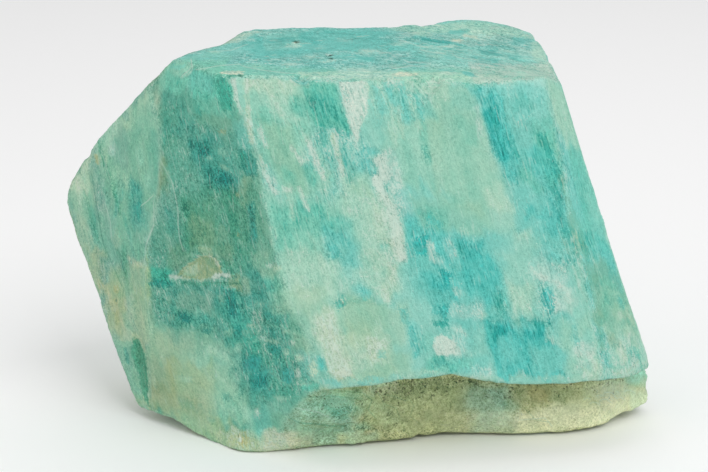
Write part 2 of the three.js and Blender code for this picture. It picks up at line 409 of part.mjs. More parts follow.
// ---- closed solid, levelled at the seat ----
const wasm = await Module();
wasm.setup();
function toSolid(geometry) {
  const g = geometry.clone();
  g.deleteAttribute('normal');
  g.deleteAttribute('uv');
  const merged = mergeVertices(g, 1e-5);
  return new wasm.Manifold(new wasm.Mesh({
    numProp: 3,
    vertProperties: new Float32Array(merged.attributes.position.array),
    triVerts: new Uint32Array(merged.index.array),
  }));
}
const skin = new THREE.BufferGeometry();
skin.setAttribute('position', new THREE.Float32BufferAttribute(points.flatMap((p) => p.toArray()), 3));
skin.setIndex(triangles.flatMap((t) => t.v));
const floorBlock = new THREE.BoxGeometry(WIDTH * 2, DEPTH * 3, 20);
floorBlock.translate(0, 0, SEAT_CUT - 10);
const cut = toSolid(skin).subtract(toSolid(floorBlock)).getMesh();

const stone = new THREE.BufferGeometry();
stone.setAttribute('position', new THREE.Float32BufferAttribute(cut.vertProperties, 3));
stone.setIndex(new THREE.Uint32BufferAttribute(cut.triVerts, 1));
stone.computeBoundingBox();
const box = stone.boundingBox;
stone.translate(-(box.min.x + box.max.x) / 2, -(box.min.y + box.max.y) / 2, -box.min.z);
stone.computeVertexNormals();

const amazonite = new THREE.Mesh(stone, new THREE.MeshStandardMaterial({
  color: STONE_COLOUR, roughness: STONE_ROUGHNESS, metalness: 0, flatShading: true,
}));
amazonite.name = 'amazonite_crystal';

const group = new THREE.Group();
group.add(amazonite);
export default group;
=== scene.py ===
"""Looks of the rough amazonite: one natural piece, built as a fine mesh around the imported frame.

Everything is procedural. The crystal's corner table is the CAD solid's own, refined here
to a fine skin, worn, chipped and painted by code. Millimetres inside, metres in Blender.
"""

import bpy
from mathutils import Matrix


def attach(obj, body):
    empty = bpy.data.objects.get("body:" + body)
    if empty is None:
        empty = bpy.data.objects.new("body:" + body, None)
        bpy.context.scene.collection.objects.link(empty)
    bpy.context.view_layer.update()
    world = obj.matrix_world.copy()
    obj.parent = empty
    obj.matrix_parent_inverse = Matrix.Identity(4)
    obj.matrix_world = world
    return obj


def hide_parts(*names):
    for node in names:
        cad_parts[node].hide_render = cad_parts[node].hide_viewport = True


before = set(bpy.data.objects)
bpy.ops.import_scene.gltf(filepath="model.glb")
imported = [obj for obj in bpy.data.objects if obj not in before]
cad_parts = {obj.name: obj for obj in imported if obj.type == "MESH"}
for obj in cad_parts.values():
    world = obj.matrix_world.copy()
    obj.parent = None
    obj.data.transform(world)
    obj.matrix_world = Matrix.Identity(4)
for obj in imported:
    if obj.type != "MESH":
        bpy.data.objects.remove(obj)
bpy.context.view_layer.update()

import math

import bpy
import numpy as np

# ---------------------------------------------------------------- corner table
# Corners of the crystal, mm, rows of x, y, z, and its faces as triangles between them,
# anticlockwise from outside. The same table as the CAD solid.
CORNERS = [
    -4.87, -7.76, 42.01, -11.06, -7.89, 42.47, -5.99, -14, 41.66, -9.9, -14.8, 42.22, -16.06, -12.7, 42.53,
    -13.37, -15.7, 42.07, -13.13, 4.5, 43.63, -10.93, 1.3, 43.21, -11.87, 6.5, 43.65, 21.9, 1.5, 40.5,
    19.28, -4.12, 40.43, 22.1, -5.5, 39.87, 16.31, 0.63, 41.32, -18.61, -9.7, 42.85, 20.07, -8.3, 41.04,
    8.29, -2.76, 41.73, 13.96, -3.51, 41.17, 12.05, 0.9, 41.44, -8.37, -4.25, 42.41, -6.13, 1.72, 42.85,
    -2.67, -4.12, 42.17, -9.41, 7.5, 43.5, -6.59, 9.2, 43.4, 14.68, 15.65, 42.62, 20.62, 15.5, 41.87,
    16.91, 18.5, 42.6, 13.15, 18, 43.04, 0.44, 0.71, 42.44, -2.49, 6.66, 42.89, -1.53, 11.5, 43.21,
    2.64, 5.84, 42.75, -18.16, -4.7, 42.97, -19.91, -8.3, 42.66, 17.34, -9.1, 40.7, 14.3, -9.9, 40.47,
    -1.83, -13.2, 41.3, -13.64, -3.46, 42.98, 10.22, 16.5, 43.03, 8.02, 5.68, 42.01, 5.13, 11.45, 42.74,
    5.93, 1.79, 42.03, -3.73, 11, 43.41, 6.6, -11.4, 41.07, 6.25, -7.72, 41.34, 2.36, -12.3, 41.29,
    -0.26, -7.5, 41.69, -14.74, -0.5, 43.2, -16.33, -2.9, 43.16, -17.56, -4, 43.01, 14.79, 6.04, 41.79,
    21.31, 12.5, 41.52, 1.98, 13, 43.04, 5.77, 14.5, 42.98, 10.86, -10.6, 40.76, 2.15, -4.24, 41.7,
    11.48, 10.93, 42.31, 16.25, 12.05, 41.85, -1.85, -18.4, 9.31, -4.81, -18.4, 12.89, -3.76, -18.5, 9.4,
    -0.26, -15.77, 24.77, -2.9, -17.28, 18.62, 2.4, -16.2, 17.18, 3.97, -13.73, 29.7, -1.31, -14.91, 31.61,
    26.71, -12.7, 8.11, 25.06, -11.4, 16.84, 21.96, -13.28, 11.98, 13.17, -14.24, 15.68, 15.83, -12.79, 22.3,
    10.41, -13.94, 22.07, 14.17, -11.66, 29.2, 7.74, -15.53, 16.42, -4.99, -16.51, 24.97, -9.74, -17, 29.96,
    -8.53, -17.6, 23.64, 4.48, -12.72, 37.04, 5.05, -14.72, 22.84, 8.77, -13.2, 28.48, 13.41, -15.6, 8.95,
    16.48, -15, 8.57, 15.92, -14.28, 12.08, 18.68, -14.6, 8.26, 22.23, -13.8, 8.04, 20.11, -14.3, 8.44,
    24.35, -13.3, 8.09, 12.1, -15.8, 9.25, 19.06, -10.72, 29.52, 15.19, -10.53, 36.05, 21.45, -9.2, 34.13,
    23.1, -10.3, 24.97, 18.61, -13.25, 16.27, -0.79, -17.81, 13.25, 0.49, -18.1, 9.54, 2.4, -17.7, 9.63,
    9.91, -15.81, 12.59, 9.93, -16.2, 9.9, 7.12, -16.7, 9.88, -7.09, -18, 18.84, -6.01, -15.77, 31.27,
    -5.99, -15.11, 36.47, -10.43, -16.5, 34.65, -0.79, -13.47, 37.73, 22.83, -12.05, 16.47, 9.82, -11.52, 35.71,
    4.54, -16.6, 12.62, 4.54, -17.2, 9.9, -5.95, -18.2, 16.15, -12.17, -16, 38.77, 20.24, -11.43, 22.48,
    29.18, -9.67, 11.13, 27.52, -9.52, 15.12, 29.11, -11.1, 7.9, 27.5, -6.6, 23.44, 26.3, -9.13, 20.49,
    30.29, -6.9, 15.24, 31.52, -6.9, 11.98, 31.48, -8.4, 7.44, 28.34, -6.8, 20.75, 32.42, -6.8, 9.37,
    32.81, -6.3, 7.07, 23.3, -7.12, 33.68, 24.32, -5.9, 33.08, 24.83, -7.9, 26.6, 26.56, -6.4, 26.11,
    -23.68, -6.4, 17.53, -23.2, -6.1, 11.72, -19.55, -8.4, 15.93, -17, -11.57, 21.18, -19.67, -8.48, 10.16,
    -23.56, -5.1, 6.06, -14.52, -11.54, 8.29, -13.78, -12.89, 15.03, -9.34, -15.57, 14.75,
    -12.54, -14.02, 20.98, -14.1, -13.11, 26.81, -23.46, -4.1, 1.07, -19.29, -8.09, 4.14, -23.76, -4.2, 2.14,
    -10.45, -14.01, 0.05, -10.4, -14.23, 3.46, -11.77, -13.88, 0, -13.42, -13.78, 0.15, -8.86, -15.82, 9.2,
    -21.98, -8.4, 26.05, -19.11, -10.22, 28.29, -21.28, -8.8, 32.94, -16.76, -11.43, 33.52, -21.13, -7.1, 41.15,
    -17.73, -11.12, 38.87, -22.78, -6.1, 39.43, -21.44, -8.5, 36.17, -13.17, -14.63, 32.62, -20.13, -6.9, 1.2,
    -18.1, -8.5, 0.25, -7.4, -13.29, 0.25, -8.36, -16.1, 4.16, -5.6, -17.6, 7.67, -15.01, -11.3, -0.23,
    -14.02, -12.1, 3.25, -6.13, -17.49, 9.22, -20.48, -8.49, 22.8, -23.15, -7.1, 22.09, -26.54, -1.6, 29.05,
    -25.92, -3.59, 23.79, -26.68, -1.67, 16.85, -24.64, -3.5, 37.38, -25.05, -3.62, 34.05, -26.71, -0.5, 34.98,
    -29.45, 2.7, 31.9, -30.49, 2.1, 25.85, -33.78, 5.5, 23.95, -33.21, 5.3, 26.03, -31.06, 3.9, 29.25,
    -30.08, 2, 20.57, -24.99, -2.78, 8.27, -26.03, -2.79, 11.86, -30.63, 3.5, 30.21, -31.98, 4.5, 28.35,
    -26.36, -1.54, 5.2, -31.75, 4, 16.54, -32.8, 4.7, 19.12, -33.59, 5.3, 21.97, -25.89, -1.5, 1.9,
    -25.27, -2.1, 1.01, -30.59, 3.2, 13.75, -28.98, 0.86, 14.92, -28.32, 1.1, 7.6, -24.63, -3.04, 4.14,
    -24.75, -2.7, 0.87, 4.89, -12.5, 6.42, 7.43, -11.5, 11, 4.83, -12.4, 10.9, 15.83, -10.4, 3.09,
    10.26, -10.7, 3.67, 13.77, -8.61, 0.35, 15.82, -10.1, 5.1, 21.44, -9.3, 5.05, 16.63, -10.3, 10.2,
    13.43, -10.7, 10.6, -4.91, -15.8, 3.99, 10.45, -10.9, 6.09, 10.23, -10.9, 11, 18.58, -8.82, 0.25,
    19.23, -10, 10.4, 22.03, -9.5, 10.3, 9.62, -8.53, 0.5, 4.71, -11.7, 3.69, -5.44, -12.66, 0.3,
    33.66, -0.9, 2.29, 33.25, -1.66, 1.1, 33.78, -1.08, 1.5, 32.22, -2.52, 0.8, 24.63, -8.5, 10,
    26.72, -7.9, 5.02, 2.83, -13.5, 10.4, -2.4, -17.4, 7.49, -1.35, -14.1, 3.41, 2.47, -13.7, 6.16,
    1.23, -15.1, 9.8, 21.67, -9.7, 3.07, 23.13, -8.14, 0.35, 26.82, -7.7, 2.81, -0.14, -12, 0.4,
    1.41, -11.39, 0.4, -3.79, -12.18, 0.35, 27.98, -6.08, 0.6, 29.38, -4.95, 0.6, 26.24, -7.45, 0.45,
    30.7, -5.1, 4.51, 33.51, -0.9, 3.15, 32.23, -2.9, 8.6, 29.83, -5.5, 9.4, 27.23, -7.3, 9.7,
    0.49, -16.5, 7.34, 24.76, -7.61, 0.45, 4.63, -10.95, 0.35, 30.56, -4.9, 2.76, 30.43, -3.79, 0.9,
    -0.97, -17.1, 9.2, 6.54, -10.1, 0.5, 8.37, -8.85, 0.5, 21.79, 10.97, 34.76, 22.03, 16.3, 30,
    29.63, 12.3, 5.5, 26.23, 15.1, 17, 27.15, 10.66, 14.08, 26.58, 8.05, 19.04, 28.82, 7.76, 9.92,
    28.14, 5.44, 13.88, 27.17, 1.97, 20.08, 30.75, 1.89, 9.26, 24.2, 10.7, 25.14, 29.31, -1.05, 14.09,
    24.32, -3.22, 30.91, 26.08, -1.43, 24.35, 23.81, 2.16, 31.06, 22.56, -0.76, 36, 30.72, 5.22, 5.15,
    30.43, 7.5, 2.2, 23.24, 9.24, 29.35, 28, -3.33, 20.07, 22.39, 5.64, 35.98, 32.63, 2.7, 2.4,
    25.52, 5.08, 24.27, -12.89, 9.81, 35.95, -16.97, 8.5, 37.6, -17.57, 9.4, 32.6, -12.87, 10.5, 30.6,
    -22.97, 9.9, 32.4, 7.63, 15.7, 28, 2.63, 13.9, 29.4, 4.04, 14.63, 35.1, 10.15, 16.72, 36.71,
    -8.37, 11.1, 31.6, -7.63, 11.17, 36.76, -2.29, 12.58, 35.96, -3.37, 12.9, 29, 13.13, 17.4, 30.6,
    15.63, 17.52, 36.33, 12.63, 18.2, 28.4, -19.17, 11.3, 30, -13.37, 12.4, 27.6, -8.57, 12.9, 29.2,
    -3.57, 14.7, 26.4, 2.23, 15.6, 27, 7.23, 17.1, 25, -25.97, 10.5, 21, -20.17, 10.8, 18.21, -21.87, 8, 9.5,
    -9.87, 12.1, 5.8, -16.59, 10.69, 11.31, -13.14, 12.35, 16.83, 11.51, 15.48, 7.54, 16.63, 15.5, 4,
    3.13, 14.3, 4.2, -4.46, 13.54, 12.72, 1.29, 14.03, 12.72, -16.93, 11.74, 23.67, 20.81, 17.06, 22.17,
    13.98, 17.43, 22.08, 1.41, 15.42, 23.88, -4.46, 14.31, 23.21, -10.83, 12.33, 11.88, -7.98, 13.56, 17.17,
    -1.29, 13.87, 17.01, 11.07, 15.82, 18.46, 8.84, 15.37, 12.34, 17.31, 16.31, 17.93, -11.13, 12.95, 23.39,
    4.41, 15.97, 18.32, 15.34, 15.23, 12.29, 21.3, 15.23, 12.25, -23.97, 2.9, 4.2, -28.77, 7.1, 14,
    -28.97, 8.7, 27.2, -21.96, 3.71, 36.29, -15.17, 3.9, 42, -17.57, -1.3, 41.3, 2.63, 8, -0.35,
    12.63, 9, -0.35, -7.37, 6, -0.35, -13.87, 2.5, -0.35, -16.87, -2.5, -0.35, 22.63, 7, -0.35,
    26.13, -1.5, -0.35, -9.37, -12.3, -0.35, 22.63, -4.5, -0.35, 26.63, 2.5, -0.35, 17.13, -6.1, -0.35,
    9.63, -5.7, -0.35, -5.87, -11.7, -0.35, 3.63, -7.5, -0.35, -2.37, -9.9, -0.35, -16.37, -7.1, -0.35,
    -13.17, -10.1, -0.35, -3.37, 2.61, -0.35, -7.04, -3.69, -0.35, 21.87, 2.08, -0.35, -9.84, -8.64, -0.35,
    0.72, -3.5, -0.35, 3.22, 2.73, -0.35, 9.5, 2.48, -0.35, -13.92, -3.89, -0.35, 15.02, 1.82, -0.35,
]
FACES = {
    "basal": [
        0,1,2, 0,2,35, 0,18,1, 0,20,18, 0,35,45, 0,45,20, 1,3,2, 1,4,3, 1,13,4, 1,18,36, 1,31,13, 1,36,31,
        3,4,5, 6,7,8, 6,46,7, 7,18,19, 7,19,21, 7,21,8, 7,36,18, 7,46,36, 9,10,11, 9,12,10, 9,49,12, 9,50,49,
        10,12,16, 10,14,11, 10,16,33, 10,33,14, 12,17,16, 12,49,17, 13,31,32, 15,16,17, 15,17,40, 15,40,54,
        15,43,53, 15,53,16, 15,54,43, 16,34,33, 16,53,34, 17,38,40, 17,49,38, 18,20,19, 19,20,27, 19,22,21,
        19,27,28, 19,28,22, 20,45,54, 20,54,27, 22,28,41, 23,24,25, 23,25,26, 23,26,37, 23,37,55, 23,55,56,
        23,56,24, 24,56,50, 27,30,28, 27,40,30, 27,54,40, 28,29,41, 28,30,29, 29,30,51, 30,38,39, 30,39,51,
        30,40,38, 31,36,48, 35,44,45, 36,46,47, 36,47,48, 37,52,55, 38,49,55, 38,55,39, 39,52,51, 39,55,52,
        42,43,44, 42,53,43, 43,45,44, 43,54,45, 49,50,56, 49,56,55,
    ],
    "prismFront": [
        2,3,100, 2,100,35, 3,5,108, 3,108,100, 14,33,89, 33,34,88, 33,88,89, 34,53,88, 35,100,102, 35,102,44,
        42,44,76, 42,76,104, 42,104,53, 44,102,76, 53,104,88, 57,58,59, 57,92,58, 57,93,92, 58,92,107, 60,61,62,
        60,62,77, 60,63,64, 60,64,73, 60,73,61, 60,77,63, 61,73,98, 61,92,62, 61,98,107, 61,107,92, 62,72,77,
        62,92,105, 62,105,72, 63,76,64, 63,77,78, 63,78,104, 63,104,76, 64,76,102, 64,99,73, 64,100,99,
        64,102,100, 65,66,67, 65,67,85, 66,90,109, 66,103,67, 66,109,103, 67,81,84, 67,83,85, 67,84,83,
        67,91,81, 67,103,91, 68,69,70, 68,70,72, 68,72,95, 68,81,91, 68,91,69, 68,95,81, 69,71,70, 69,87,71,
        69,91,109, 69,109,87, 70,71,78, 70,77,72, 70,78,77, 71,87,88, 71,88,104, 71,104,78, 72,105,95, 73,74,75,
        73,75,98, 73,99,74, 74,99,101, 79,80,81, 79,81,86, 80,82,81, 81,82,84, 81,95,86, 86,95,96, 87,89,88,
        87,90,89, 87,109,90, 91,103,109, 92,93,94, 92,94,105, 94,106,105, 95,97,96, 95,105,97, 97,105,106,
        99,100,101, 100,108,101,
    ],
    "prismBevel": [
        11,14,89, 11,89,121, 11,121,122, 65,110,66, 65,112,110, 66,110,111, 66,111,114, 66,114,90, 89,90,123,
        89,122,121, 89,123,122, 90,113,123, 90,114,113, 110,112,117, 110,116,111, 110,117,119, 110,119,116,
        111,115,114, 111,116,115, 113,114,118, 113,124,123, 114,115,118, 117,120,119, 122,123,124,
    ],
    "prismLeft": [
        4,13,149, 4,149,5, 5,149,108, 13,32,148, 13,148,149, 58,107,133, 58,133,143, 58,143,160, 58,160,59,
        59,160,157, 74,101,152, 74,135,75, 74,152,135, 75,134,98, 75,135,134, 98,133,107, 98,134,133,
        101,108,152, 108,147,152, 108,149,147, 125,126,127, 125,127,128, 125,128,161, 125,161,162, 126,129,127,
        126,130,129, 127,129,132, 127,132,128, 128,132,134, 128,134,135, 128,135,161, 129,130,137, 129,131,132,
        129,137,131, 130,138,137, 131,133,132, 131,137,159, 131,143,133, 131,159,143, 132,133,134, 135,145,161,
        135,152,145, 136,137,138, 136,153,137, 137,153,154, 137,154,159, 139,140,141, 139,155,156, 139,156,140,
        140,142,141, 140,143,159, 140,156,143, 140,159,142, 142,159,158, 143,156,157, 143,157,160, 144,145,146,
        144,161,145, 144,162,161, 145,147,146, 145,152,147, 146,147,151, 147,149,151, 148,150,149, 149,150,151,
        154,158,159,
    ],
    "sideLeft": [
        125,162,165, 125,165,176, 125,176,126, 126,175,130, 126,176,175, 130,175,179, 130,179,188, 130,188,138,
        136,138,189, 138,183,184, 138,184,189, 138,188,183, 144,146,163, 144,163,164, 144,164,162, 146,151,167,
        146,167,163, 150,166,151, 151,166,167, 162,164,174, 162,174,165, 163,167,169, 163,169,177, 163,170,164,
        163,173,170, 163,177,173, 164,170,174, 165,174,180, 165,180,186, 165,186,176, 166,168,167, 167,168,169,
        170,171,182, 170,172,171, 170,173,178, 170,178,172, 170,182,174, 174,181,180, 174,182,181, 175,176,187,
        175,187,179, 176,185,187, 176,186,185, 179,183,188, 179,187,183, 180,185,186,
    ],
    "recessWall": [
        59,157,216, 59,216,239, 155,200,156, 155,208,200, 156,200,157, 157,200,216, 190,191,192, 190,192,215,
        190,194,201, 190,201,191, 190,207,194, 190,215,218, 190,218,207, 191,201,202, 193,194,195, 193,195,203,
        193,196,194, 193,197,196, 193,203,220, 193,220,197, 194,196,201, 194,206,195, 194,207,241, 194,241,206,
        196,197,204, 196,198,199, 196,199,201, 196,204,198, 197,205,204, 197,213,205, 197,214,213, 197,220,214,
        199,202,201, 200,208,225, 200,217,216, 200,225,217, 203,221,220, 207,218,224, 207,224,236, 207,236,240,
        207,240,241, 209,210,211, 209,212,210, 209,230,237, 209,237,212, 212,237,238, 213,214,233, 214,220,222,
        214,222,229, 214,229,232, 214,232,233, 215,219,218, 216,217,234, 216,234,239, 217,218,234, 217,223,224,
        217,224,218, 217,225,223, 218,219,234, 219,239,234, 220,221,235, 220,235,222, 222,226,227, 222,227,237,
        222,228,226, 222,235,228, 222,237,229, 227,238,237, 229,230,231, 229,231,232, 229,237,230,
    ],
    "overhang": [
        57,59,239, 57,239,93, 65,85,213, 65,213,112, 79,86,199, 79,199,80, 80,198,82, 80,199,198, 82,198,204,
        82,204,84, 83,84,204, 83,204,205, 83,205,85, 85,205,213, 86,96,202, 86,202,199, 93,219,94, 93,239,219,
        94,219,106, 96,97,191, 96,191,202, 97,106,192, 97,192,191, 106,215,192, 106,219,215, 112,213,233,
        112,233,117, 117,232,120, 117,233,232, 120,232,231,
    ],
    "prismRight": [
        9,11,257, 9,257,262, 9,262,50, 11,122,257, 24,50,242, 24,242,243, 50,262,242, 113,118,261, 113,255,124,
        113,261,255, 115,116,253, 115,253,261, 115,261,118, 116,119,231, 116,231,253, 119,120,231, 122,124,254,
        122,254,257, 124,255,254, 209,211,263, 209,263,230, 230,251,231, 230,263,251, 231,251,253, 242,260,243,
        242,262,260, 243,252,245, 243,260,252, 244,245,246, 244,246,248, 244,248,258, 244,258,259, 245,247,246,
        245,252,247, 246,247,249, 246,249,248, 247,250,249, 247,252,264, 247,264,250, 248,249,251, 248,251,258,
        249,250,253, 249,253,251, 250,255,261, 250,261,253, 250,264,255, 251,263,258, 252,260,264, 254,255,256,
        254,256,257, 255,264,256, 256,260,262, 256,262,257, 256,264,260, 258,263,259,
    ],
    "backUpper": [
        8,21,265, 8,265,266, 21,22,275, 21,275,265, 22,41,275, 24,243,279, 24,279,25, 25,279,26, 26,273,37,
        26,279,273, 29,51,276, 29,276,41, 37,273,52, 41,276,275, 51,52,272, 51,272,276, 52,273,272, 243,278,279,
        265,267,266, 265,268,267, 265,274,268, 265,275,274, 266,267,269, 270,271,272, 270,272,273, 270,273,278,
        271,276,272, 271,277,276, 273,279,278, 274,275,276, 274,276,277,
    ],
    "backStep": [
        243,280,278, 267,268,281, 268,274,283, 268,282,281, 268,283,282, 270,278,280, 270,280,286, 270,285,271,
        270,286,285, 271,285,277, 274,277,283, 277,284,283, 277,285,284,
    ],
    "backLower": [
        243,245,299, 243,299,280, 244,294,312, 244,312,245, 245,308,299, 245,312,308, 280,299,300, 280,300,286,
        281,282,298, 281,298,287, 282,283,309, 282,309,298, 283,284,302, 283,302,309, 284,285,301, 284,301,302,
        285,286,301, 286,300,306, 286,306,310, 286,310,301, 287,288,289, 287,298,288, 288,291,289, 288,292,291,
        288,298,292, 289,291,290, 290,291,303, 290,296,295, 290,303,296, 291,292,303, 292,298,309, 292,304,303,
        292,309,304, 293,294,295, 293,295,307, 293,307,311, 293,311,294, 294,311,312, 295,296,297, 295,297,307,
        296,303,304, 296,304,305, 296,305,297, 297,305,310, 297,310,307, 299,308,300, 300,308,306, 301,305,302,
        301,310,305, 302,304,309, 302,305,304, 306,307,310, 306,308,311, 306,311,307, 308,312,311,
    ],
    "backLeft": [
        171,287,182, 171,315,287, 180,181,314, 180,314,185, 181,182,287, 181,287,314, 183,187,313, 183,313,184,
        185,314,187, 187,289,313, 187,314,289, 267,281,269, 269,281,287, 269,287,315, 287,289,314,
    ],
    "shoulder": [
        6,8,266, 6,266,317, 6,317,46, 31,48,318, 31,148,32, 31,150,148, 31,166,150, 31,318,166, 46,317,318,
        46,318,47, 47,318,48, 166,316,168, 166,318,316, 168,316,169, 169,315,177, 169,316,315, 171,172,315,
        172,178,315, 173,177,315, 173,315,178, 266,269,316, 266,316,317, 269,315,316, 316,318,317,
    ],
    "underside": [
        136,189,323, 136,323,153, 139,141,326, 139,326,155, 141,142,335, 141,335,326, 142,158,335, 153,323,334,
        153,334,154, 154,334,158, 155,326,331, 155,331,208, 158,334,335, 184,313,189, 189,313,323, 195,206,330,
        195,329,203, 195,330,329, 203,327,221, 203,329,327, 206,241,330, 208,331,225, 210,212,263, 210,263,211,
        212,238,325, 212,325,328, 212,328,263, 221,327,235, 223,225,333, 223,333,224, 224,332,236, 224,333,332,
        225,331,333, 226,228,327, 226,325,227, 226,327,325, 227,325,238, 228,235,327, 236,332,240, 240,332,241,
        241,332,330, 244,259,324, 244,324,294, 259,263,328, 259,328,324, 289,290,322, 289,322,313, 290,295,319,
        290,319,321, 290,321,322, 294,320,295, 294,324,320, 295,320,319, 313,322,323,
    ],
    "seat": [
        319,320,342, 319,336,321, 319,341,336, 319,342,341, 320,324,344, 320,344,342, 321,336,337, 321,337,322,
        322,337,343, 322,343,323, 323,343,334, 324,328,338, 324,338,344, 325,327,338, 325,338,328, 326,335,339,
        326,339,331, 327,329,338, 329,330,344, 329,344,338, 330,332,340, 330,340,341, 330,341,342, 330,342,344,
        331,337,333, 331,339,337, 332,333,340, 333,337,340, 334,343,335, 335,343,339, 336,340,337, 336,341,340,
        337,339,343,
    ],
}

CORNERS = np.array(CORNERS, float).reshape(-1, 3)
NAMES = list(FACES)
FID = {n: i for i, n in enumerate(NAMES)}

# ---------------------------------------------------------------- drawing frame
# Marks on the front are laid out in a flat chart, u to the right and v down, in which the
# stone is about 583 wide: the chart of an eye in front of it, 15 degrees above level.
EYE_EL = math.radians(15.0)
EYE_D = 220.0
CHART = 36.0 / 100.0 / 708.0
AIM = np.array([-0.365, -3.5, 21.920])
FWD = np.array([0.0, math.cos(EYE_EL), -math.sin(EYE_EL)])
UPW = np.array([0.0, math.sin(EYE_EL), math.cos(EYE_EL)])
EYE = AIM - FWD * EYE_D


def chart(p):
    q = p - EYE
    z = q @ FWD
    return 354 + q[:, 0] / z / CHART, 236 - (q @ UPW) / z / CHART


# the prism axis, going down: to the right and a little forward
AXIS = np.array([0.305, -0.09, -1.0])
AXIS /= np.linalg.norm(AXIS)


# ---------------------------------------------------------------- repeatable noise
def _hash(ix, iy, iz, seed):
    with np.errstate(over="ignore"):
        h = (ix.astype(np.uint32) * np.uint32(374761393)) ^ (iy.astype(np.uint32) * np.uint32(668265263)) \
            ^ (iz.astype(np.uint32) * np.uint32(2246822519)) ^ np.uint32((seed * 974634777) & 0xFFFFFFFF)
        h = (h ^ (h >> np.uint32(13))) * np.uint32(1274126177)
        h = (h ^ (h >> np.uint32(15))) * np.uint32(2246822519)
        h = h ^ (h >> np.uint32(16))
    return h.astype(np.float64) / 4294967295.0 * 2 - 1


def noise(p, seed=0):
    """Value noise, -1 to 1, at the rows of p."""
    i = np.floor(p).astype(np.int64)
    f = p - i
    s = f * f * f * (f * (f * 6 - 15) + 10)
    out = 0.0
    for a in (0, 1):
        for b in (0, 1):
            for c in (0, 1):
                w = (s[:, 0] if a else 1 - s[:, 0]) * (s[:, 1] if b else 1 - s[:, 1]) * (s[:, 2] if c else 1 - s[:, 2])
                out = out + w * _hash(i[:, 0] + a, i[:, 1] + b, i[:, 2] + c, seed)
    return out


def fbm(p, octaves=4, seed=0, gain=0.5):
    total, amp, norm = 0.0, 1.0, 0.0
    for k in range(octaves):
        total = total + amp * noise(p * 2.03 ** k + 17.3 * k, seed + 31 * k)
        norm += amp
        amp *= gain
    return total / norm * 1.4


def smooth(a, b, x):
    t = np.clip((x - a) / (b - a), 0, 1)
    return t * t * (3 - 2 * t)


def cells(p, seed=0):
    """Distance to the nearest and the second nearest of one jittered point per unit cell."""
    i = np.floor(p).astype(np.int64)
    d1 = np.full(len(p), 9.0)
    d2 = np.full(len(p), 9.0)
    for a in (-1, 0, 1):
        for b in (-1, 0, 1):
            for c in (-1, 0, 1):
                q = [i[:, 0] + a, i[:, 1] + b, i[:, 2] + c]
                o = np.stack([q[k] + 0.5 + 0.45 * _hash(*q, seed + 11 * k) for k in range(3)], 1)
                d = np.linalg.norm(p - o, axis=1)
                d2 = np.minimum(d2, np.maximum(d1, d))
                d1 = np.minimum(d1, d)
    return d1, d2


# ---------------------------------------------------------------- refining the skin
def edges_of(T, n):
    E = np.sort(np.concatenate([T[:, [0, 1]], T[:, [1, 2]], T[:, [2, 0]]]), axis=1).astype(np.int64)
    k, inv = np.unique(E[:, 0] * n + E[:, 1], return_inverse=True)
    return k // n, k % n, inv.reshape(-1)


def split(V, T, R, limit):
    """Splits every edge longer than the limit at its ends, and keeps the skin closed."""
    n = len(V)
    a, b, inv = edges_of(T, n)
    long = np.linalg.norm(V[a] - V[b], axis=1) > 0.5 * (limit[a] + limit[b])
    if not long.any():
        return V, T, R, np.zeros(0, int), np.zeros(0, int)
    new = np.full(len(a), -1)
    new[long] = n + np.arange(long.sum())
    V2 = np.vstack([V, (V[a] + V[b])[long] * 0.5])
    M = new[inv].reshape(3, -1).T
    cnt = (M >= 0).sum(1)
    out, reg = [T[cnt == 0]], [R[cnt == 0]]
    k = cnt == 3
    t, m = T[k], M[k]
    for tri in ((t[:, 0], m[:, 0], m[:, 2]), (m[:, 0], t[:, 1], m[:, 1]), (m[:, 2], m[:, 1], t[:, 2]), (m[:, 0], m[:, 1], m[:, 2])):
        out.append(np.stack(tri, 1))
        reg.append(R[k])
    k = cnt == 1
    t, m, r = T[k], M[k], R[k]
    s = np.argmax(m >= 0, axis=1)
    roll = (s[:, None] + np.arange(3)) % 3
    t = np.take_along_axis(t, roll, 1)
    m = np.take_along_axis(m, roll, 1)[:, 0]
    out += [np.stack([t[:, 0], m, t[:, 2]], 1), np.stack([m, t[:, 1], t[:, 2]], 1)]
    reg += [r, r]
    k = cnt == 2
    t, m, r = T[k], M[k], R[k]
    s = np.argmax(m < 0, axis=1)
    roll = (s[:, None] + np.arange(3)) % 3
    t = np.take_along_axis(t, roll, 1)
    m = np.take_along_axis(m, roll, 1)
    x, y = m[:, 1], m[:, 2]
    out.append(np.stack([x, t[:, 2], y], 1))
    reg.append(r)
    d1 = np.linalg.norm(V2[t[:, 0]] - V2[x], axis=1)
    d2 = np.linalg.norm(V2[t[:, 1]] - V2[y], axis=1)
    c = (d1 < d2)[:, None]
    out.append(np.where(c, np.stack([t[:, 0], t[:, 1], x], 1), np.stack([t[:, 0], t[:, 1], y], 1)))
    out.append(np.where(c, np.stack([t[:, 0], x, y], 1), np.stack([t[:, 1], x, y], 1)))
    reg += [r, r]
    return V2, np.concatenate(out), np.concatenate(reg), a[long], b[long]


def incidence(T, R, n):
    """Which faces meet at each point, as a table of 0 and 1."""
    I = np.zeros((n, len(NAMES)), bool)
    for k in range(3):
        I[T[:, k], R] = True
    return I


def borders(T, R, n):
    """Edges between two different faces."""
    a, b, inv = edges_of(T, n)
    lo = np.full(len(a), 99)
    hi = np.full(len(a), -1)
    rr = np.tile(R, 3)
    np.minimum.at(lo, inv, rr)
    np.maximum.at(hi, inv, rr)
    k = lo != hi
    return a[k], b[k]


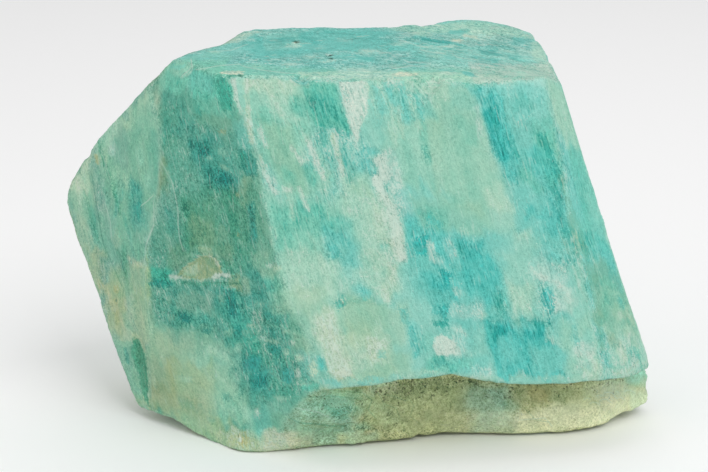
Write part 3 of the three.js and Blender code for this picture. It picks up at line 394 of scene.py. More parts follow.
def average(V, a, b, w=None):
    """Mean of each point's neighbours over edges a-b."""
    n = len(V)
    wa = np.ones(len(a)) if w is None else w
    s = np.zeros_like(V)
    c = np.zeros(n)
    for x, y in ((a, b), (b, a)):
        for k in range(V.shape[1]):
            s[:, k] += np.bincount(x, V[y, k] * wa, n)
        c += np.bincount(x, wa, n)
    ok = c > 0
    out = V.copy()
    out[ok] = s[ok] / c[ok, None]
    return out


def normals_of(V, T):
    f = np.cross(V[T[:, 1]] - V[T[:, 0]], V[T[:, 2]] - V[T[:, 0]])
    N = np.zeros_like(V)
    for k in range(3):
        for j in range(3):
            N[:, j] += np.bincount(T[:, k], f[:, j], len(V))
    return N / (np.linalg.norm(N, axis=1, keepdims=True) + 1e-12)


# longest edge allowed on each face, mm
FINE = {"basal": 0.45, "prismFront": 0.375, "prismBevel": 0.42, "prismLeft": 0.375, "sideLeft": 0.42, "recessWall": 0.36,
        "overhang": 0.60, "prismRight": 0.66, "backUpper": 0.70, "backStep": 0.62, "backLower": 0.78, "backLeft": 0.72,
        "shoulder": 0.68, "underside": 0.95, "seat": 2.0}


def build_skin(detail=1.0):
    V = CORNERS.copy()
    T = np.array([t for n in NAMES for t in np.array(FACES[n]).reshape(-1, 3)], np.int64)
    R = np.concatenate([np.full(len(FACES[n]) // 3, FID[n]) for n in NAMES])
    fine = np.array([FINE[n] for n in NAMES]) * detail

    def limits(V, T, R, least):
        I = incidence(T, R, len(V))
        lim = np.where(I, fine[None, :], 99).min(1)
        return np.maximum(lim, least)

    # middle stage: faces relax into smooth swells, the edge lines into smooth lines
    for k in range(12):
        V, T, R, x, _ = split(V, T, R, np.full(len(V), 1.3) if k > 3 else np.full(len(V), 2.6))
        if k > 4 and not len(x):
            break
    I = incidence(T, R, len(V))
    on_line = I.sum(1) > 1
    knot = I.sum(1) > 2
    a, b, _ = edges_of(T, len(V))
    la, lb = borders(T, R, len(V))
    for k in range(9):
        m = average(V, a, b)
        V = np.where(on_line[:, None], V, V + 0.5 * (m - V))
        if k < 3:
            m = average(V, la, lb)
            V = np.where((on_line & ~knot)[:, None], V + 0.35 * (m - V), V)
    # fine stage
    for least in (0.9, 0.6, 0.3, 0.3, 0.3, 0.3):
        V, T, R, x, _ = split(V, T, R, limits(V, T, R, least))
    a, b, _ = edges_of(T, len(V))
    for k in range(3):
        N = normals_of(V, T)
        d = average(V, a, b) - V
        d -= (d * N).sum(1, keepdims=True) * N
        I = incidence(T, R, len(V))
        V = V + np.where((I.sum(1) > 1)[:, None], 0.0, 0.5) * d
    return V, T, R


import time
_t0 = time.perf_counter()
V, T, R = build_skin()
print("skin", len(V), "points", len(T), "triangles", round(time.perf_counter() - _t0, 1), "s")
SKIN = V.copy()


# ---------------------------------------------------------------- wear, chips, breaks
class Skin:
    """The fine mesh with its neighbour lists, face weights and line distances."""

    def __init__(self, V, T, R):
        self.V, self.T, self.R = V, T, R
        self.n = len(V)
        self.a, self.b, _ = edges_of(T, self.n)
        self.I = incidence(T, R, self.n)
        self.length = np.linalg.norm(V[self.a] - V[self.b], axis=1)

    def reach(self, seed, steps):
        """Distance over the skin from the seed points, out to a few mm."""
        d = np.where(seed, 0.0, 99.0)
        for _ in range(steps):
            e = d[self.a] + self.length
            f = d[self.b] + self.length
            np.minimum.at(d, self.b, e)
            np.minimum.at(d, self.a, f)
        return d

    def line(self, one, two):
        """Points where face one meets any of the faces two."""
        other = np.zeros(self.n, bool)
        for k in two.split():
            other |= self.I[:, FID[k]]
        return self.I[:, FID[one]] & other

    def soften(self, F, passes):
        for _ in range(passes):
            F = 0.4 * F + 0.6 * average(F, self.a, self.b)
        return F


S = Skin(V, T, R)
weight = S.soften(S.I / S.I.sum(1, keepdims=True), 5)          # how much a point belongs to each face
w_of = {n: weight[:, FID[n]] for n in NAMES}
broken = sum(w_of[n] for n in ("recessWall", "overhang", "backStep", "backLeft", "shoulder", "underside", "seat"))
U0, V0 = chart(S.V)                                            # chart place before any wear

# worn lines: radius of wear and where
LINES = [
    ("basal", "prismFront prismBevel", 0.85), ("basal", "prismLeft shoulder", 0.9), ("basal", "prismRight backUpper", 0.7),
    ("prismFront", "prismLeft", 0.95), ("prismLeft", "sideLeft", 0.75), ("prismFront", "prismBevel", 0.6),
    ("prismBevel", "prismRight", 0.6), ("prismFront", "overhang", 0.28), ("prismBevel", "overhang", 0.3),
    ("recessWall", "prismLeft prismFront", 1.0), ("recessWall", "underside prismRight", 0.7), ("prismLeft", "underside", 0.6),
    ("sideLeft", "shoulder backLeft underside", 0.6), ("shoulder", "prismLeft backUpper backLeft", 0.7),
    ("backUpper", "backStep prismRight", 0.4), ("backLower", "backStep", 0.35), ("backLower", "prismRight backLeft underside", 0.7),
    ("prismRight", "underside recessWall", 0.7), ("recessWall", "overhang", 1.0), ("prismRight", "overhang", 0.5),
]
wear = np.zeros(S.n)
rim = np.full(S.n, 99.0)                                       # distance to the nearest outward crystal edge
patchy = 1.0 + 0.45 * fbm(S.V / 2.6, 3, 5)
for one, two, r in LINES:
    d = S.reach(S.line(one, two), 9)
    wear = np.maximum(wear, np.exp(-(d / (r * patchy)) ** 2))
    if "overhang" not in (one, *two.split()) or one in ("prismFront", "prismBevel"):
        if not (one == "recessWall" and "overhang" in two):
            rim = np.minimum(rim, d)
for k in range(7):
    S.V = S.V + 0.55 * wear[:, None] * (average(S.V, S.a, S.b) - S.V)

# chips: shallow scoops off the edges, each a hollow that planes off what stands past it
rng = np.random.RandomState(41)
N = normals_of(S.V, S.T)
chip_mark = np.zeros(S.n)
ledge = S.line("prismFront", "overhang") | S.line("prismBevel", "overhang")
calm = S.reach(ledge, 12) < 2.5                                # the ledge line is clean
calm |= (U0 < 175) & (w_of["sideLeft"] > 0.05)                 # and so are the left and the right outline
calm |= (U0 > 540) & (w_of["prismBevel"] > 0.05)
calm |= (U0 < 238) & (V0 < 150) & (w_of["basal"] + w_of["prismLeft"] + w_of["sideLeft"] > 0.05)
calm |= (V0 > 96) & (w_of["prismFront"] > 0.05) & (w_of["prismLeft"] > 0.05)
calm |= (V0 > 382) & (U0 < 310)
line_pts = np.where((rim < 0.05) & (S.V[:, 2] > 1.0) & ~calm)[0]


def scoop(i, size, depth, tilt=(0, 0, 0)):
    n = N[i] + np.array(tilt)
    n /= np.linalg.norm(n)
    q = S.V - S.V[i]
    near = np.where((q * q).sum(1) < (2.2 * size) ** 2)[0]
    q = q[near]
    h = q @ n
    r2 = (q * q).sum(1) - h * h
    floor_ = -depth + r2 * depth / size ** 2 + 0.12 * depth * noise(S.V[near] / (0.4 * size) + i, 7)
    cut = np.maximum(h - floor_, 0.0)
    S.V[near] -= cut[:, None] * n * 0.95
    chip_mark[near] = np.maximum(chip_mark[near], smooth(0.01, 0.08, cut))


for k in range(230):
    i = line_pts[rng.randint(len(line_pts))]
    size = 0.45 + 1.3 * rng.rand() ** 3.5
    scoop(i, size, size * rng.uniform(0.07, 0.15), rng.normal(0, 0.22, 3))


def nearest(u, v, faces="prismFront prismLeft sideLeft basal"):
    """The point seen at this place of the chart."""
    w = sum(w_of[f] for f in faces.split())
    d = np.hypot(U0 - u, V0 - v) + np.where((w > 0.3) & (N @ -FWD > 0.0), 0, 1e6)
    return int(np.argmin(d))


for u, v, size, depth, tilt in [(86, 157, 0.9, 0.16, (-0.6, 0, 0.5)), (180, 64, 1.3, 0.12, (0, -0.2, 0.4)),
                                (192, 63, 1.0, 0.07, (0, -0.1, 0.5)), (232, 84, 0.9, 0.20, (0, 0, 0)),
                                (560, 90, 1.0, 0.08, (0.5, 0, 0.3))]:
    scoop(nearest(u, v), size, depth, tilt)


def outline_distance(pts, u, v):
    """Distance to the outline through pts in the chart, negative inside it."""
    p = np.array(pts, float)
    d = np.full(len(u), 1e9)
    inside = np.zeros(len(u), bool)
    for i in range(len(p)):
        a, b = p[i], p[(i + 1) % len(p)]
        e = b - a
        t = np.clip(((u - a[0]) * e[0] + (v - a[1]) * e[1]) / (e @ e), 0, 1)
        d = np.minimum(d, np.hypot(u - a[0] - t * e[0], v - a[1] - t * e[1]))
        crosses = (a[1] > v) != (b[1] > v)
        with np.errstate(divide="ignore", invalid="ignore"):
            inside ^= crosses & (u < (b[0] - a[0]) * (v - a[1]) / (b[1] - a[1]) + a[0])
    return np.where(inside, -d, d)


faced = smooth(0.02, 0.12, N @ -FWD)
sink = np.zeros(S.n)                                            # how far the skin is pushed in, mm


def dent(faces, pts, depth, feather, slope=(0.0, 0.0)):
    """A shallow scar with the outline pts, its floor tilted by slope, mm for each 10 of the chart."""
    w = np.clip(sum(w_of[f] for f in faces.split()) * 1.2, 0, 1) * faced
    c = np.mean(np.array(pts, float), 0)
    deep = depth + slope[0] * (U0 - c[0]) / 10 + slope[1] * (V0 - c[1]) / 10
    sink[:] += np.maximum(deep, 0.0) * smooth(feather, -feather, outline_distance(pts, U0, V0)) * w


def step_down(faces, depth, fade, pts):
    """A low step along pts. What lies right of the way it runs, below one drawn left to right, is lower."""
    p = np.array(pts, float)
    d = np.full(S.n, 1e9)
    a_ = np.zeros(S.n)
    for a, b in zip(p[:-1], p[1:]):
        e = b - a
        size = math.hypot(*e)
        x, y = U0 - a[0], V0 - a[1]
        t = (x * e[0] + y * e[1]) / size ** 2
        tc = np.clip(t, 0, 1)
        dd = np.hypot(x - tc * e[0], y - tc * e[1])
        side = (e[0] * y - e[1] * x) / size
        past = np.maximum(0, np.maximum(-t, t - 1)) * size
        val = depth * smooth(-1.6, 1.6, side) * np.exp(-np.maximum(side, 0) / fade) * np.exp(-(past / 5.0) ** 2)
        a_ = np.where(dd < d, val, a_)
        d = np.minimum(d, dd)
    sink[:] += a_ * np.clip(sum(w_of[f] for f in faces.split()) * 1.2, 0, 1) * faced


# the flake scar on the left prism face, the long facet low on the left, and the fine cleavage steps
dent("prismLeft", [(178, 277), (188, 265), (199, 257), (210, 256), (217, 263), (219, 270), (224, 277), (204, 279)], 0.34, 1.8, (-0.05, -0.10))
dent("sideLeft prismLeft", [(134, 335), (141, 342), (147, 358), (149, 385), (151, 405), (145, 398), (140, 374), (133, 350)], 0.30, 2.5)
dent("sideLeft", [(96, 160), (101, 170), (118, 215), (116, 220), (104, 190)], 0.18, 3.0)
step_down("prismFront", 0.11, 22, [(334, 305), (350, 302), (390, 303)])
step_down("prismFront", 0.13, 26, [(484, 321), (512, 321), (546, 323)])
step_down("prismFront", 0.07, 14, [(538, 245), (556, 244), (577, 242)])
step_down("prismFront", 0.06, 10, [(424, 357), (458, 358)])
step_down("prismFront", 0.05, 8, [(437, 318), (449, 319)])
step_down("prismFront", 0.08, 10, [(352, 128), (343, 100), (337, 80)])
step_down("recessWall", 0.20, 12, [(300, 399), (330, 398), (362, 399)])
step_down("recessWall", 0.16, 10, [(282, 427), (312, 425), (345, 425)])
step_down("recessWall", 0.14, 14, [(520, 408), (560, 404), (620, 398)])
step_down("prismLeft", 0.10, 12, [(229, 283), (260, 290), (280, 300)])
step_down("prismLeft", 0.08, 16, [(150, 322), (176, 330), (200, 334)])
step_down("prismLeft", 0.08, 10, [(240, 150), (252, 147), (262, 149)])
for pts in ([(244, 62), (275, 63), (300, 60), (330, 63), (366, 60)], [(386, 50), (420, 48), (448, 48), (470, 53), (500, 59)],
            [(412, 36), (436, 40), (462, 45), (490, 49)], [(262, 47), (290, 44), (312, 46)],
            [(474, 33), (500, 39), (524, 46)], [(300, 68), (340, 66), (372, 68)], [(420, 66), (456, 66), (480, 70)]):
    step_down("basal", 0.16, 3.5, pts)
S.V -= N * sink[:, None]

# the broken line under the broad front hangs lower on both sides of its middle, and its right end stands out
droop = np.interp(U0, [322, 330, 352, 375, 400, 440, 452, 490, 502, 520, 560, 590, 602, 612, 620, 632, 641, 650],
                  [0.30, 0.52, 0.40, 0.58, 0.38, 0.34, 0.0, 0.0, 0.24, 0.34, 0.36, 0.30, 0.50, 0.48, 0.40, 0.33, 0.22, 0.0])
S.V[:, 2] -= droop * np.exp(-(S.reach(ledge, 14) / 1.15) ** 2)
behind = (1 - np.clip(1.5 * (w_of["prismBevel"] + w_of["prismFront"]), 0, 1)) * smooth(0.15, 0.9, S.reach(ledge, 14))
S.V[:, 0] += 1.15 * behind * np.exp(-((U0 - 647) / 9.0) ** 2 - ((V0 - 374) / 7.0) ** 2)
S.V[:, 0] += 0.10 * np.exp(-((U0 - 648) / 8.0) ** 2 - ((V0 - 356) / 7.0) ** 2)
S.V[:, 0] += 0.40 * np.exp(-((U0 - 645) / 9.0) ** 2 - ((V0 - 388) / 9.0) ** 2)

N = normals_of(S.V, S.T)
P = S.V.copy()
# coordinates along and across the prism axis
along = P @ AXIS
e1 = np.cross(AXIS, [0, 1, 0]); e1 /= np.linalg.norm(e1)
e2 = np.cross(AXIS, e1)
acr1, acr2 = P @ e1, P @ e2
grain_dir = np.stack([acr1, acr2, along], 1)


def terraces(p, size, seed, count=3.0):
    """Stepped field, 0 to about 1 a step: flat treads with crisp risers."""
    f = fbm(p / size, 3, seed) * count
    k = np.floor(f)
    t = f - k
    return k + smooth(0.40, 0.60, t)


crystal = np.clip(1 - broken, 0, 1)
lift = 0.10 * fbm(P / 7.0, 2, 3) * crystal
ribs = noise(grain_dir / np.array([1.5, 1.5, 14.0]), 21) + 0.6 * noise(grain_dir / np.array([0.75, 0.75, 9.0]), 22)
prism = sum(w_of[n] for n in ("prismFront", "prismBevel", "prismLeft", "sideLeft", "prismRight"))
lift += 0.032 * ribs * prism
lift += 0.022 * fbm(P / 0.9, 2, 23) * crystal
# cleavage steps, level treads on the prism faces and on top
lift += 0.05 * terraces(P * np.array([0.35, 0.35, 1.6]), 5.0, 33) * (w_of["prismFront"] + w_of["prismBevel"])
lift += 0.09 * terraces(P * np.array([0.5, 0.9, 0.2]), 5.5, 34, 2.6) * w_of["basal"]
lift += 0.10 * terraces(P * np.array([0.4, 0.4, 1.2]), 5.0, 35, 3.0) * w_of["prismRight"]
lift += 0.26 * terraces(P * np.array([0.5, 0.5, 1.0]), 6.5, 36, 2.6) * (w_of["backUpper"] + w_of["backLower"])
lift += 0.10 * terraces(grain_dir / np.array([1.0, 1.0, 3.0]), 2.4, 37, 3.0) * w_of["sideLeft"]
lift += 0.05 * terraces(grain_dir / np.array([1.0, 1.0, 3.0]), 3.4, 38, 2.6) * w_of["prismLeft"]
# broken surfaces: lumps, grains and pits
d1, d2 = cells(P / 1.15, 5)
lump = 0.36 * fbm(P / 3.4, 3, 41) + 0.16 * (0.55 - d1) + 0.06 * fbm(P / 0.6, 2, 42)
lift += lump * broken * np.where(P[:, 2] < 0.4, 0.15, 1.0)
# the upper left and the right outline of the front run straight
straight = smooth(0.50, 0.12, np.abs(N @ FWD)) * np.clip(smooth(252, 230, U0) * smooth(165, 145, V0) + smooth(528, 548, U0) * smooth(380, 366, V0), 0, 1)
lift *= 1 - 0.72 * straight
S.V = S.V + N * lift[:, None]
S.V[:, 2] = np.maximum(S.V[:, 2], 0.0)
print("shape", round(time.perf_counter() - _t0, 1), "s")


# ---------------------------------------------------------------- colours of the stone
def seen(r, g, b):
    c = np.array([r, g, b]) / 255.0
    return np.where(c <= 0.04045, c / 12.92, ((c + 0.055) / 1.055) ** 2.4)


INK = {
    "cyan": seen(58, 184, 175), "teal": seen(66, 176, 160), "turq": seen(86, 191, 181), "jade": seen(96, 188, 166),
    "aqua": seen(116, 196, 184), "mist": seen(136, 200, 185), "mint": seen(148, 201, 178), "sage": seen(152, 194, 166),
    "pale": seen(168, 207, 184), "cream": seen(190, 211, 184), "white": seen(206, 222, 208), "ice": seen(180, 214, 202),
    "abyss": seen(28, 132, 122), "deep": seen(50, 146, 132), "pool": seen(72, 156, 140), "leaf": seen(72, 150, 122),
    "emerald": seen(58, 168, 144), "lagoon": seen(96, 164, 143), "fern": seen(118, 172, 146), "moss": seen(108, 160, 128),
    "slate": seen(116, 163, 146), "grey": seen(148, 178, 152), "dark": seen(66, 122, 100), "tan": seen(158, 166, 122),
    "khaki": seen(130, 149, 108), "straw": seen(164, 171, 126), "bone": seen(192, 199, 164), "olive": seen(112, 128, 86),
    "rust": seen(142, 134, 84), "ink": seen(66, 78, 52), "lime": seen(156, 180, 132),
    "lichen": seen(146, 168, 130), "frost": seen(146, 211, 199), "sea": seen(104, 184, 174), "sky": seen(128, 192, 182), "tide": seen(64, 158, 150), "glen": seen(124, 192, 168),
    "foam": seen(184, 212, 196), "blush": seen(204, 210, 188), "rock": seen(150, 162, 118), "chalk": seen(200, 206, 172),
}

U, W = chart(S.V)

# light that each face gets under the studio lights, and the sheen on it, so that inks read as named
LIT = {"basal": (0.84, 0.050), "prismFront": (1.01, 0.0215), "prismBevel": (0.97, 0.026), "prismLeft": (0.87, 0.022),
       "sideLeft": (0.73, 0.026), "recessWall": (0.74, 0.0), "overhang": (0.75, 0.0), "prismRight": (0.90, 0.025),
       "backUpper": (0.88, 0.025), "backStep": (0.88, 0.025), "backLower": (0.84, 0.02), "backLeft": (0.80, 0.02),
       "shoulder": (0.92, 0.03), "underside": (0.75, 0.0), "seat": (0.75, 0.0)}
lit = sum(w_of[n] * LIT[n][0] for n in NAMES)
sheen = sum(w_of[n] * LIT[n][1] for n in NAMES)
brow = np.interp(U, [262, 300, 320, 345, 382, 402, 440, 456, 482, 512, 550, 590, 606, 620, 632, 640, 650], [420, 397, 391, 387.5, 382.5, 379, 376, 374, 378, 383, 383, 381, 380, 377.5, 375, 372.5, 369])
foot = np.interp(U, [250, 290, 345, 380, 420, 450, 510, 550, 590, 620, 648], [452, 450, 444, 440, 434, 432, 434, 432, 426, 414, 400])
shelter = smooth(318, 350, U)
lit += w_of["recessWall"] * (0.045 * (1 - shelter) - 0.155 * shelter * np.exp(-np.maximum(W - brow, 0) / 13.0)
                             - 0.12 * smooth(16, 0, foot - W))
lit -= (w_of["prismLeft"] + w_of["sideLeft"]) * 0.13 * smooth(26, 0, np.interp(U, [140, 180, 210, 250], [408, 420, 440, 452]) - W)

LEAN = np.array([0.296, 0.955])
G = grain_dir
rag_streak = 0.62 * noise(G / np.array([0.9, 0.9, 5.0]), 61) + 0.38 * noise(G / np.array([0.45, 0.45, 2.6]), 62)
rag_grain = 0.6 * noise(P / 1.1, 63) + 0.4 * noise(P / 0.5, 64)
# streaks run on past a border, each its own length
slide = 0.75 * noise(G / np.array([0.8, 0.8, 30.0]), 65) + 0.55 * noise(G / np.array([0.42, 0.42, 12.0]), 58)

# the chart is warped a little, so that no drawn outline stays straight: mostly along the prism
prismy = np.clip(prism, 0, 1)
toppy = w_of["basal"]
wob_a = noise(G / np.array([1.1, 1.1, 7.0]), 66) + 0.7 * noise(G / np.array([2.6, 2.6, 9.0]), 67)
wob_c = noise(P / 2.6, 68)
wob_d = noise(P / 2.2, 69)
WARP_U = prismy * (LEAN[0] * 8.0 * wob_a + 2.6 * wob_c) + toppy * 4.0 * wob_c + broken * 3.0 * wob_c
WARP_W = prismy * (LEAN[1] * 8.0 * wob_a + 1.0 * wob_d) + toppy * 0.8 * wob_d + broken * 2.5 * wob_d
U_TRUE, W_TRUE = U, W
loose = [1.0]                                                   # how far the warp carries the next outlines


def places(k):
    return U_TRUE + k * loose[0] * WARP_U, W_TRUE + k * loose[0] * WARP_W


tint = np.zeros((S.n, 3))
for n, ink in {"basal": "sky", "prismFront": "mist", "prismBevel": "aqua", "prismLeft": "lagoon", "sideLeft": "slate",
               "recessWall": "rock", "overhang": "olive", "prismRight": "aqua", "backUpper": "mist", "backStep": "pale",
               "backLower": "sage", "backLeft": "rock", "shoulder": "grey", "underside": "rock", "seat": "rock"}.items():
    tint += w_of[n][:, None] * INK[ink]
front = np.clip(sum(w_of[n] for n in ("basal", "prismFront", "prismBevel", "prismLeft", "sideLeft", "recessWall")), 0, 1)
facing = smooth(0.02, 0.12, (N @ -FWD))                        # marks of the chart stay on what it shows


def on(faces):
    if faces == "*":
        return front * facing
    return np.clip(sum(w_of[f] for f in faces.split()) * 1.15, 0, 1) * facing


F2, F1, F0, FB, TP, WL = "prismFront", "prismLeft", "sideLeft", "prismBevel", "basal", "recessWall"


RUNS = {"prismFront": 7.5, "prismBevel": 7.5, "prismLeft": 5.0, "sideLeft": 5.0}
CRUMBLY = {"white": 1.0, "ice": 0.75, "bone": 0.9, "cream": 0.7, "pale": 0.35, "straw": 0.2}
DEEP = {"deep": 0.75, "abyss": 0.85, "teal": 0.6, "cyan": 0.6, "dark": 0.6, "ink": 1.0, "turq": 0.35, "jade": 0.3, "rust": 0.4,
        "pool": 0.5, "leaf": 0.5, "emerald": 0.5}
crumbs = np.zeros(S.n)                                          # where pale streaks gather, and where deep ones do
depths = np.zeros(S.n)


over = np.zeros((S.n, 3))                                       # small crisp marks: ink, signed distance, strength
over_at = np.full(S.n, 9.0)
over_by = np.zeros(S.n)
over_fray = np.ones(S.n)                                       # how far the grain breaks the mark up


def mark(faces, ink, amount, d):
    """A crisp mark, kept as a distance to its edge; marks that overlap join."""
    d = d + 9.0 * (1 - np.clip(1.6 * on(faces), 0, 1))
    both = (d < 0) & (over_at < 0)
    over_fray[both] = 0.35 if loose[0] <= 0.2 else over_fray[both]
    over[both] += amount * (INK[ink] - over[both])
    over_by[both] = 1 - (1 - over_by[both]) * (1 - amount)
    mine = ~both & (d < 5) & (d < over_at)
    over[mine] = INK[ink]
    over_by[mine] = amount
    over_fray[mine] = 0.35 if loose[0] <= 0.2 else 1.0
    np.minimum(over_at, d, out=over_at)


def lay(faces, ink, amount, d, feather, rag):
    """Lays an ink where d, in chart units, is below zero."""
    field = {"s": rag_streak, "g": rag_grain, "m": 0.6 * rag_streak + 0.5 * rag_grain}[rag[0]]
    d = d + rag[1] * field
    a = amount * on(faces)
    global tint, crumbs, depths
    if feather <= 3.0:
        mark(faces, ink, amount, d)
        a = a * smooth(feather, -feather, d)
    else:
        a = a * smooth(0.7 * feather, -0.7 * feather, d)
        tint = tint + a[:, None] * (INK[ink] - tint)
    crumbs = crumbs + a * (CRUMBLY.get(ink, 0.0) - crumbs)
    depths = depths + a * (DEEP.get(ink, 0.0) - depths)


def patch(faces, ink, amount, feather, rag, pts, run=None):
    """A patch with the outline pts. run: how far single streaks shift its ends along the prism."""
    if run is None:
        run = RUNS.get(faces.split()[0], 0.0) * (0.4 + 0.6 * loose[0]) if feather > 3.0 else 0.0
    u, w = places(1.0)
    u, w = u - run * slide * LEAN[0], w - run * slide * LEAN[1]
    lay(faces, ink, amount, outline_distance(pts, u, w), feather, rag)


def blob(faces, ink, amount, feather, rag, u, v, ru, rv, lean=1.0):
    """A spot with half widths ru across and rv along the prism (lean 1) or upright (lean 0)."""
    x, y = places(0.6)
    x, y = x - u, y - v
    r = np.hypot((x - lean * 0.31 * y) / ru, y / rv)
    lay(faces, ink, amount, (r - 1) * min(ru, rv), feather, rag)


def stroke(faces, ink, amount, width, rag, pts, feather=None):
    """A brush line of the given half width through pts."""
    p = np.array(pts, float)
    x, y = places(0.6)
    d = np.full(S.n, 1e9)
    for a, b in zip(p[:-1], p[1:]):
        e = b - a
        t = np.clip(((x - a[0]) * e[0] + (y - a[1]) * e[1]) / (e @ e), 0, 1)
        d = np.minimum(d, np.hypot(x - a[0] - t * e[0], y - a[1] - t * e[1]))
    lay(faces, ink, amount, d - width, feather or max(width * 0.8, 1.5), rag)


def grainy(faces, crumb, depth, feather, pts):
    """How thickly pale crumbs and deep grains lie inside the outline pts."""
    global crumbs, depths
    a = smooth(feather, -feather, outline_distance(pts, *places(1.0))) * on(faces)
    crumbs = crumbs + a * (crumb - crumbs)
    depths = depths + a * (depth - depths)


strands = {"pale": np.zeros((S.n, 3)), "dark": np.zeros((S.n, 3))}
for h in strands.values():
    h[:, 0] = 9.0


def hair(sort, faces, width, strength, pts):
    """A hairline through pts: its signed distance over its half width, and how strong it is there."""
    p = np.array(pts, float)
    x, y = places(0.12)
    best = np.full(S.n, 1e9)
    gone = np.zeros(S.n)
    for k, (a, b) in enumerate(zip(p[:-1], p[1:])):
        e = b - a
        size = math.hypot(*e)
        t = ((x - a[0]) * e[0] + (y - a[1]) * e[1]) / size ** 2
        tc = np.clip(t, 0, 1)
        d = np.hypot(x - a[0] - tc * e[0], y - a[1] - tc * e[1])
        side = np.where(e[0] * (y - a[1]) - e[1] * (x - a[0]) > 0, 1.0, -1.0)
        past = np.maximum(np.where(k == 0, -t, 0), np.where(k == len(p) - 2, t - 1, 0)) * size
        near = d < np.abs(best)
        best = np.where(near, d * side, best)
        gone = np.where(near, np.maximum(past, 0), gone)
    m = strength * smooth(5.0, 2.4, np.abs(best)) * smooth(2.5, 0.0, gone) * on(faces)
    h = strands[sort]
    k = m > h[:, 1]
    h[k, 0] = (best / width)[k]
    h[k, 1] = m[k]


s3, s6, g2, g4, m4 = ("s", 3.5), ("s", 6.5), ("g", 2.0), ("g", 4.5), ("m", 5.0)

# ---- where the front is sugary and where it is smooth
for c_, d_, f_, pts in [
        (0.12, 0.10, 12, [(225, 78), (560, 78), (650, 375), (320, 385), (262, 190)]),
        (0.34, 0.36, 12, [(240, 118), (350, 110), (366, 150), (352, 200), (330, 240), (268, 235), (250, 160)]),
        (0.25, 0.30, 8, [(300, 80), (345, 80), (352, 128), (305, 128)]),
        (0.42, 0.25, 9, [(366, 82), (408, 80), (424, 125), (400, 150), (372, 120)]),
        (0.50, 0.30, 9, [(360, 146), (392, 150), (404, 200), (410, 258), (392, 262), (372, 190)]),
        (0.34, 0.48, 14, [(402, 205), (452, 212), (502, 240), (508, 326), (440, 330), (424, 290), (408, 250)]),
        (0.22, 0.45, 8, [(476, 82), (548, 82), (572, 180), (560, 250), (520, 200), (492, 150)]),
        (0.55, 0.30, 10, [(534, 255), (580, 240), (592, 310), (548, 322), (532, 290)]),
        (0.50, 0.20, 8, [(465, 296), (490, 296), (488, 328), (468, 330)]),
        (0.20, 0.45, 6, [(484, 321), (546, 323), (566, 350), (566, 382), (498, 382)]),
        (0.50, 0.35, 10, [(572, 330), (640, 325), (650, 375), (570, 380)]),
        (0.45, 0.30, 8, [(434, 322), (470, 324), (480, 376), (430, 376)]),
        (0.50, 0.35, 8, [(286, 342), (316, 345), (326, 385), (300, 392)])]:
    grainy("prismFront prismBevel", 0.9 * c_, 0.9 * d_, f_, pts)

# ---- broad front face
patch(F2, "mint", 0.75, 10, m4, [(232, 80), (305, 80), (312, 130), (303, 178), (280, 195), (264, 160), (245, 115)])
patch(F2, "pale", 0.55, 8, m4, [(238, 82), (296, 82), (300, 98), (285, 108), (262, 100), (244, 96)])
patch(F2, "jade", 0.50, 9, s6, [(255, 118), (296, 130), (305, 160), (300, 185), (280, 190), (264, 160)])
patch(F2, "mint", 0.7, 10, s6, [(368, 84), (430, 82), (442, 120), (440, 200), (398, 190), (372, 150), (362, 120)])
patch(F2, "sage", 0.55, 12, m4, [(430, 84), (474, 86), (484, 120), (498, 180), (512, 228), (455, 230), (436, 190), (428, 130)])
patch(F2, "mint", 0.60, 9, m4, [(436, 130), (476, 130), (500, 178), (512, 228), (455, 225), (440, 180)])
patch(F2, "aqua", 0.75, 10, m4, [(500, 84), (548, 80), (560, 120), (552, 180), (520, 180), (508, 140), (500, 110)])
patch(F2, "aqua", 0.8, 9, m4, [(508, 180), (545, 180), (560, 235), (556, 262), (520, 235), (512, 210)])
patch(F2, "turq", 0.5, 9, m4, [(540, 180), (566, 178), (584, 235), (575, 270), (556, 250), (545, 215)])
patch(F2, "aqua", 0.85, 12, m4, [(400, 196), (455, 200), (498, 236), (505, 300), (498, 330), (436, 330), (415, 300), (402, 240)])
patch(F2, "mint", 0.65, 10, m4, [(264, 195), (300, 190), (345, 200), (360, 235), (330, 300), (290, 300), (276, 255)])
patch(F2, "jade", 0.45, 8, s6, [(265, 200), (290, 195), (330, 205), (350, 225), (330, 235), (290, 228), (272, 235)])
patch(F2, "pale", 0.62, 14, m4, [(283, 236), (320, 236), (330, 262), (350, 285), (352, 300), (318, 306), (290, 300), (280, 262)])
patch(F2, "pale", 0.75, 12, s6, [(338, 172), (368, 178), (384, 205), (397, 240), (404, 296), (372, 300), (358, 278), (360, 240), (346, 210)])
patch(F2, "turq", 0.50, 7, m4, [(318, 226), (342, 232), (360, 246), (364, 272), (345, 272), (328, 262), (320, 245)], run=6)
patch(F2, "pale", 0.7, 9, m4, [(503, 234), (530, 230), (540, 252), (537, 290), (534, 320), (510, 322), (504, 282)])
patch(F2, "aqua", 0.55, 10, m4, [(540, 258), (582, 262), (594, 318), (560, 324), (545, 318)])
patch(F2, "mist", 0.8, 10, m4, [(380, 300), (436, 300), (440, 378), (385, 380), (376, 340)])
patch(F2, "cream", 0.72, 9, s6, [(308, 312), (334, 314), (343, 338), (358, 372), (352, 382), (332, 374), (322, 345)])
patch(F2, "mint", 0.6, 10, m4, [(298, 300), (320, 310), (326, 350), (318, 358), (304, 335)])
patch(F2, "sage", 0.65, 9, g4, [(340, 303), (384, 302), (388, 325), (380, 338), (352, 338), (343, 325)])
patch(F2, "sage", 0.45, 9, m4, [(340, 335), (385, 338), (400, 378), (352, 380)])
patch(F2, "mist", 0.75, 10, m4, [(440, 322), (486, 326), (496, 378), (440, 376)])
patch(F2, "mint", 0.7, 10, m4, [(560, 322), (596, 320), (612, 376), (565, 380)])
patch(F2, "mint", 0.5, 9, m4, [(556, 262), (590, 262), (600, 320), (572, 322)])
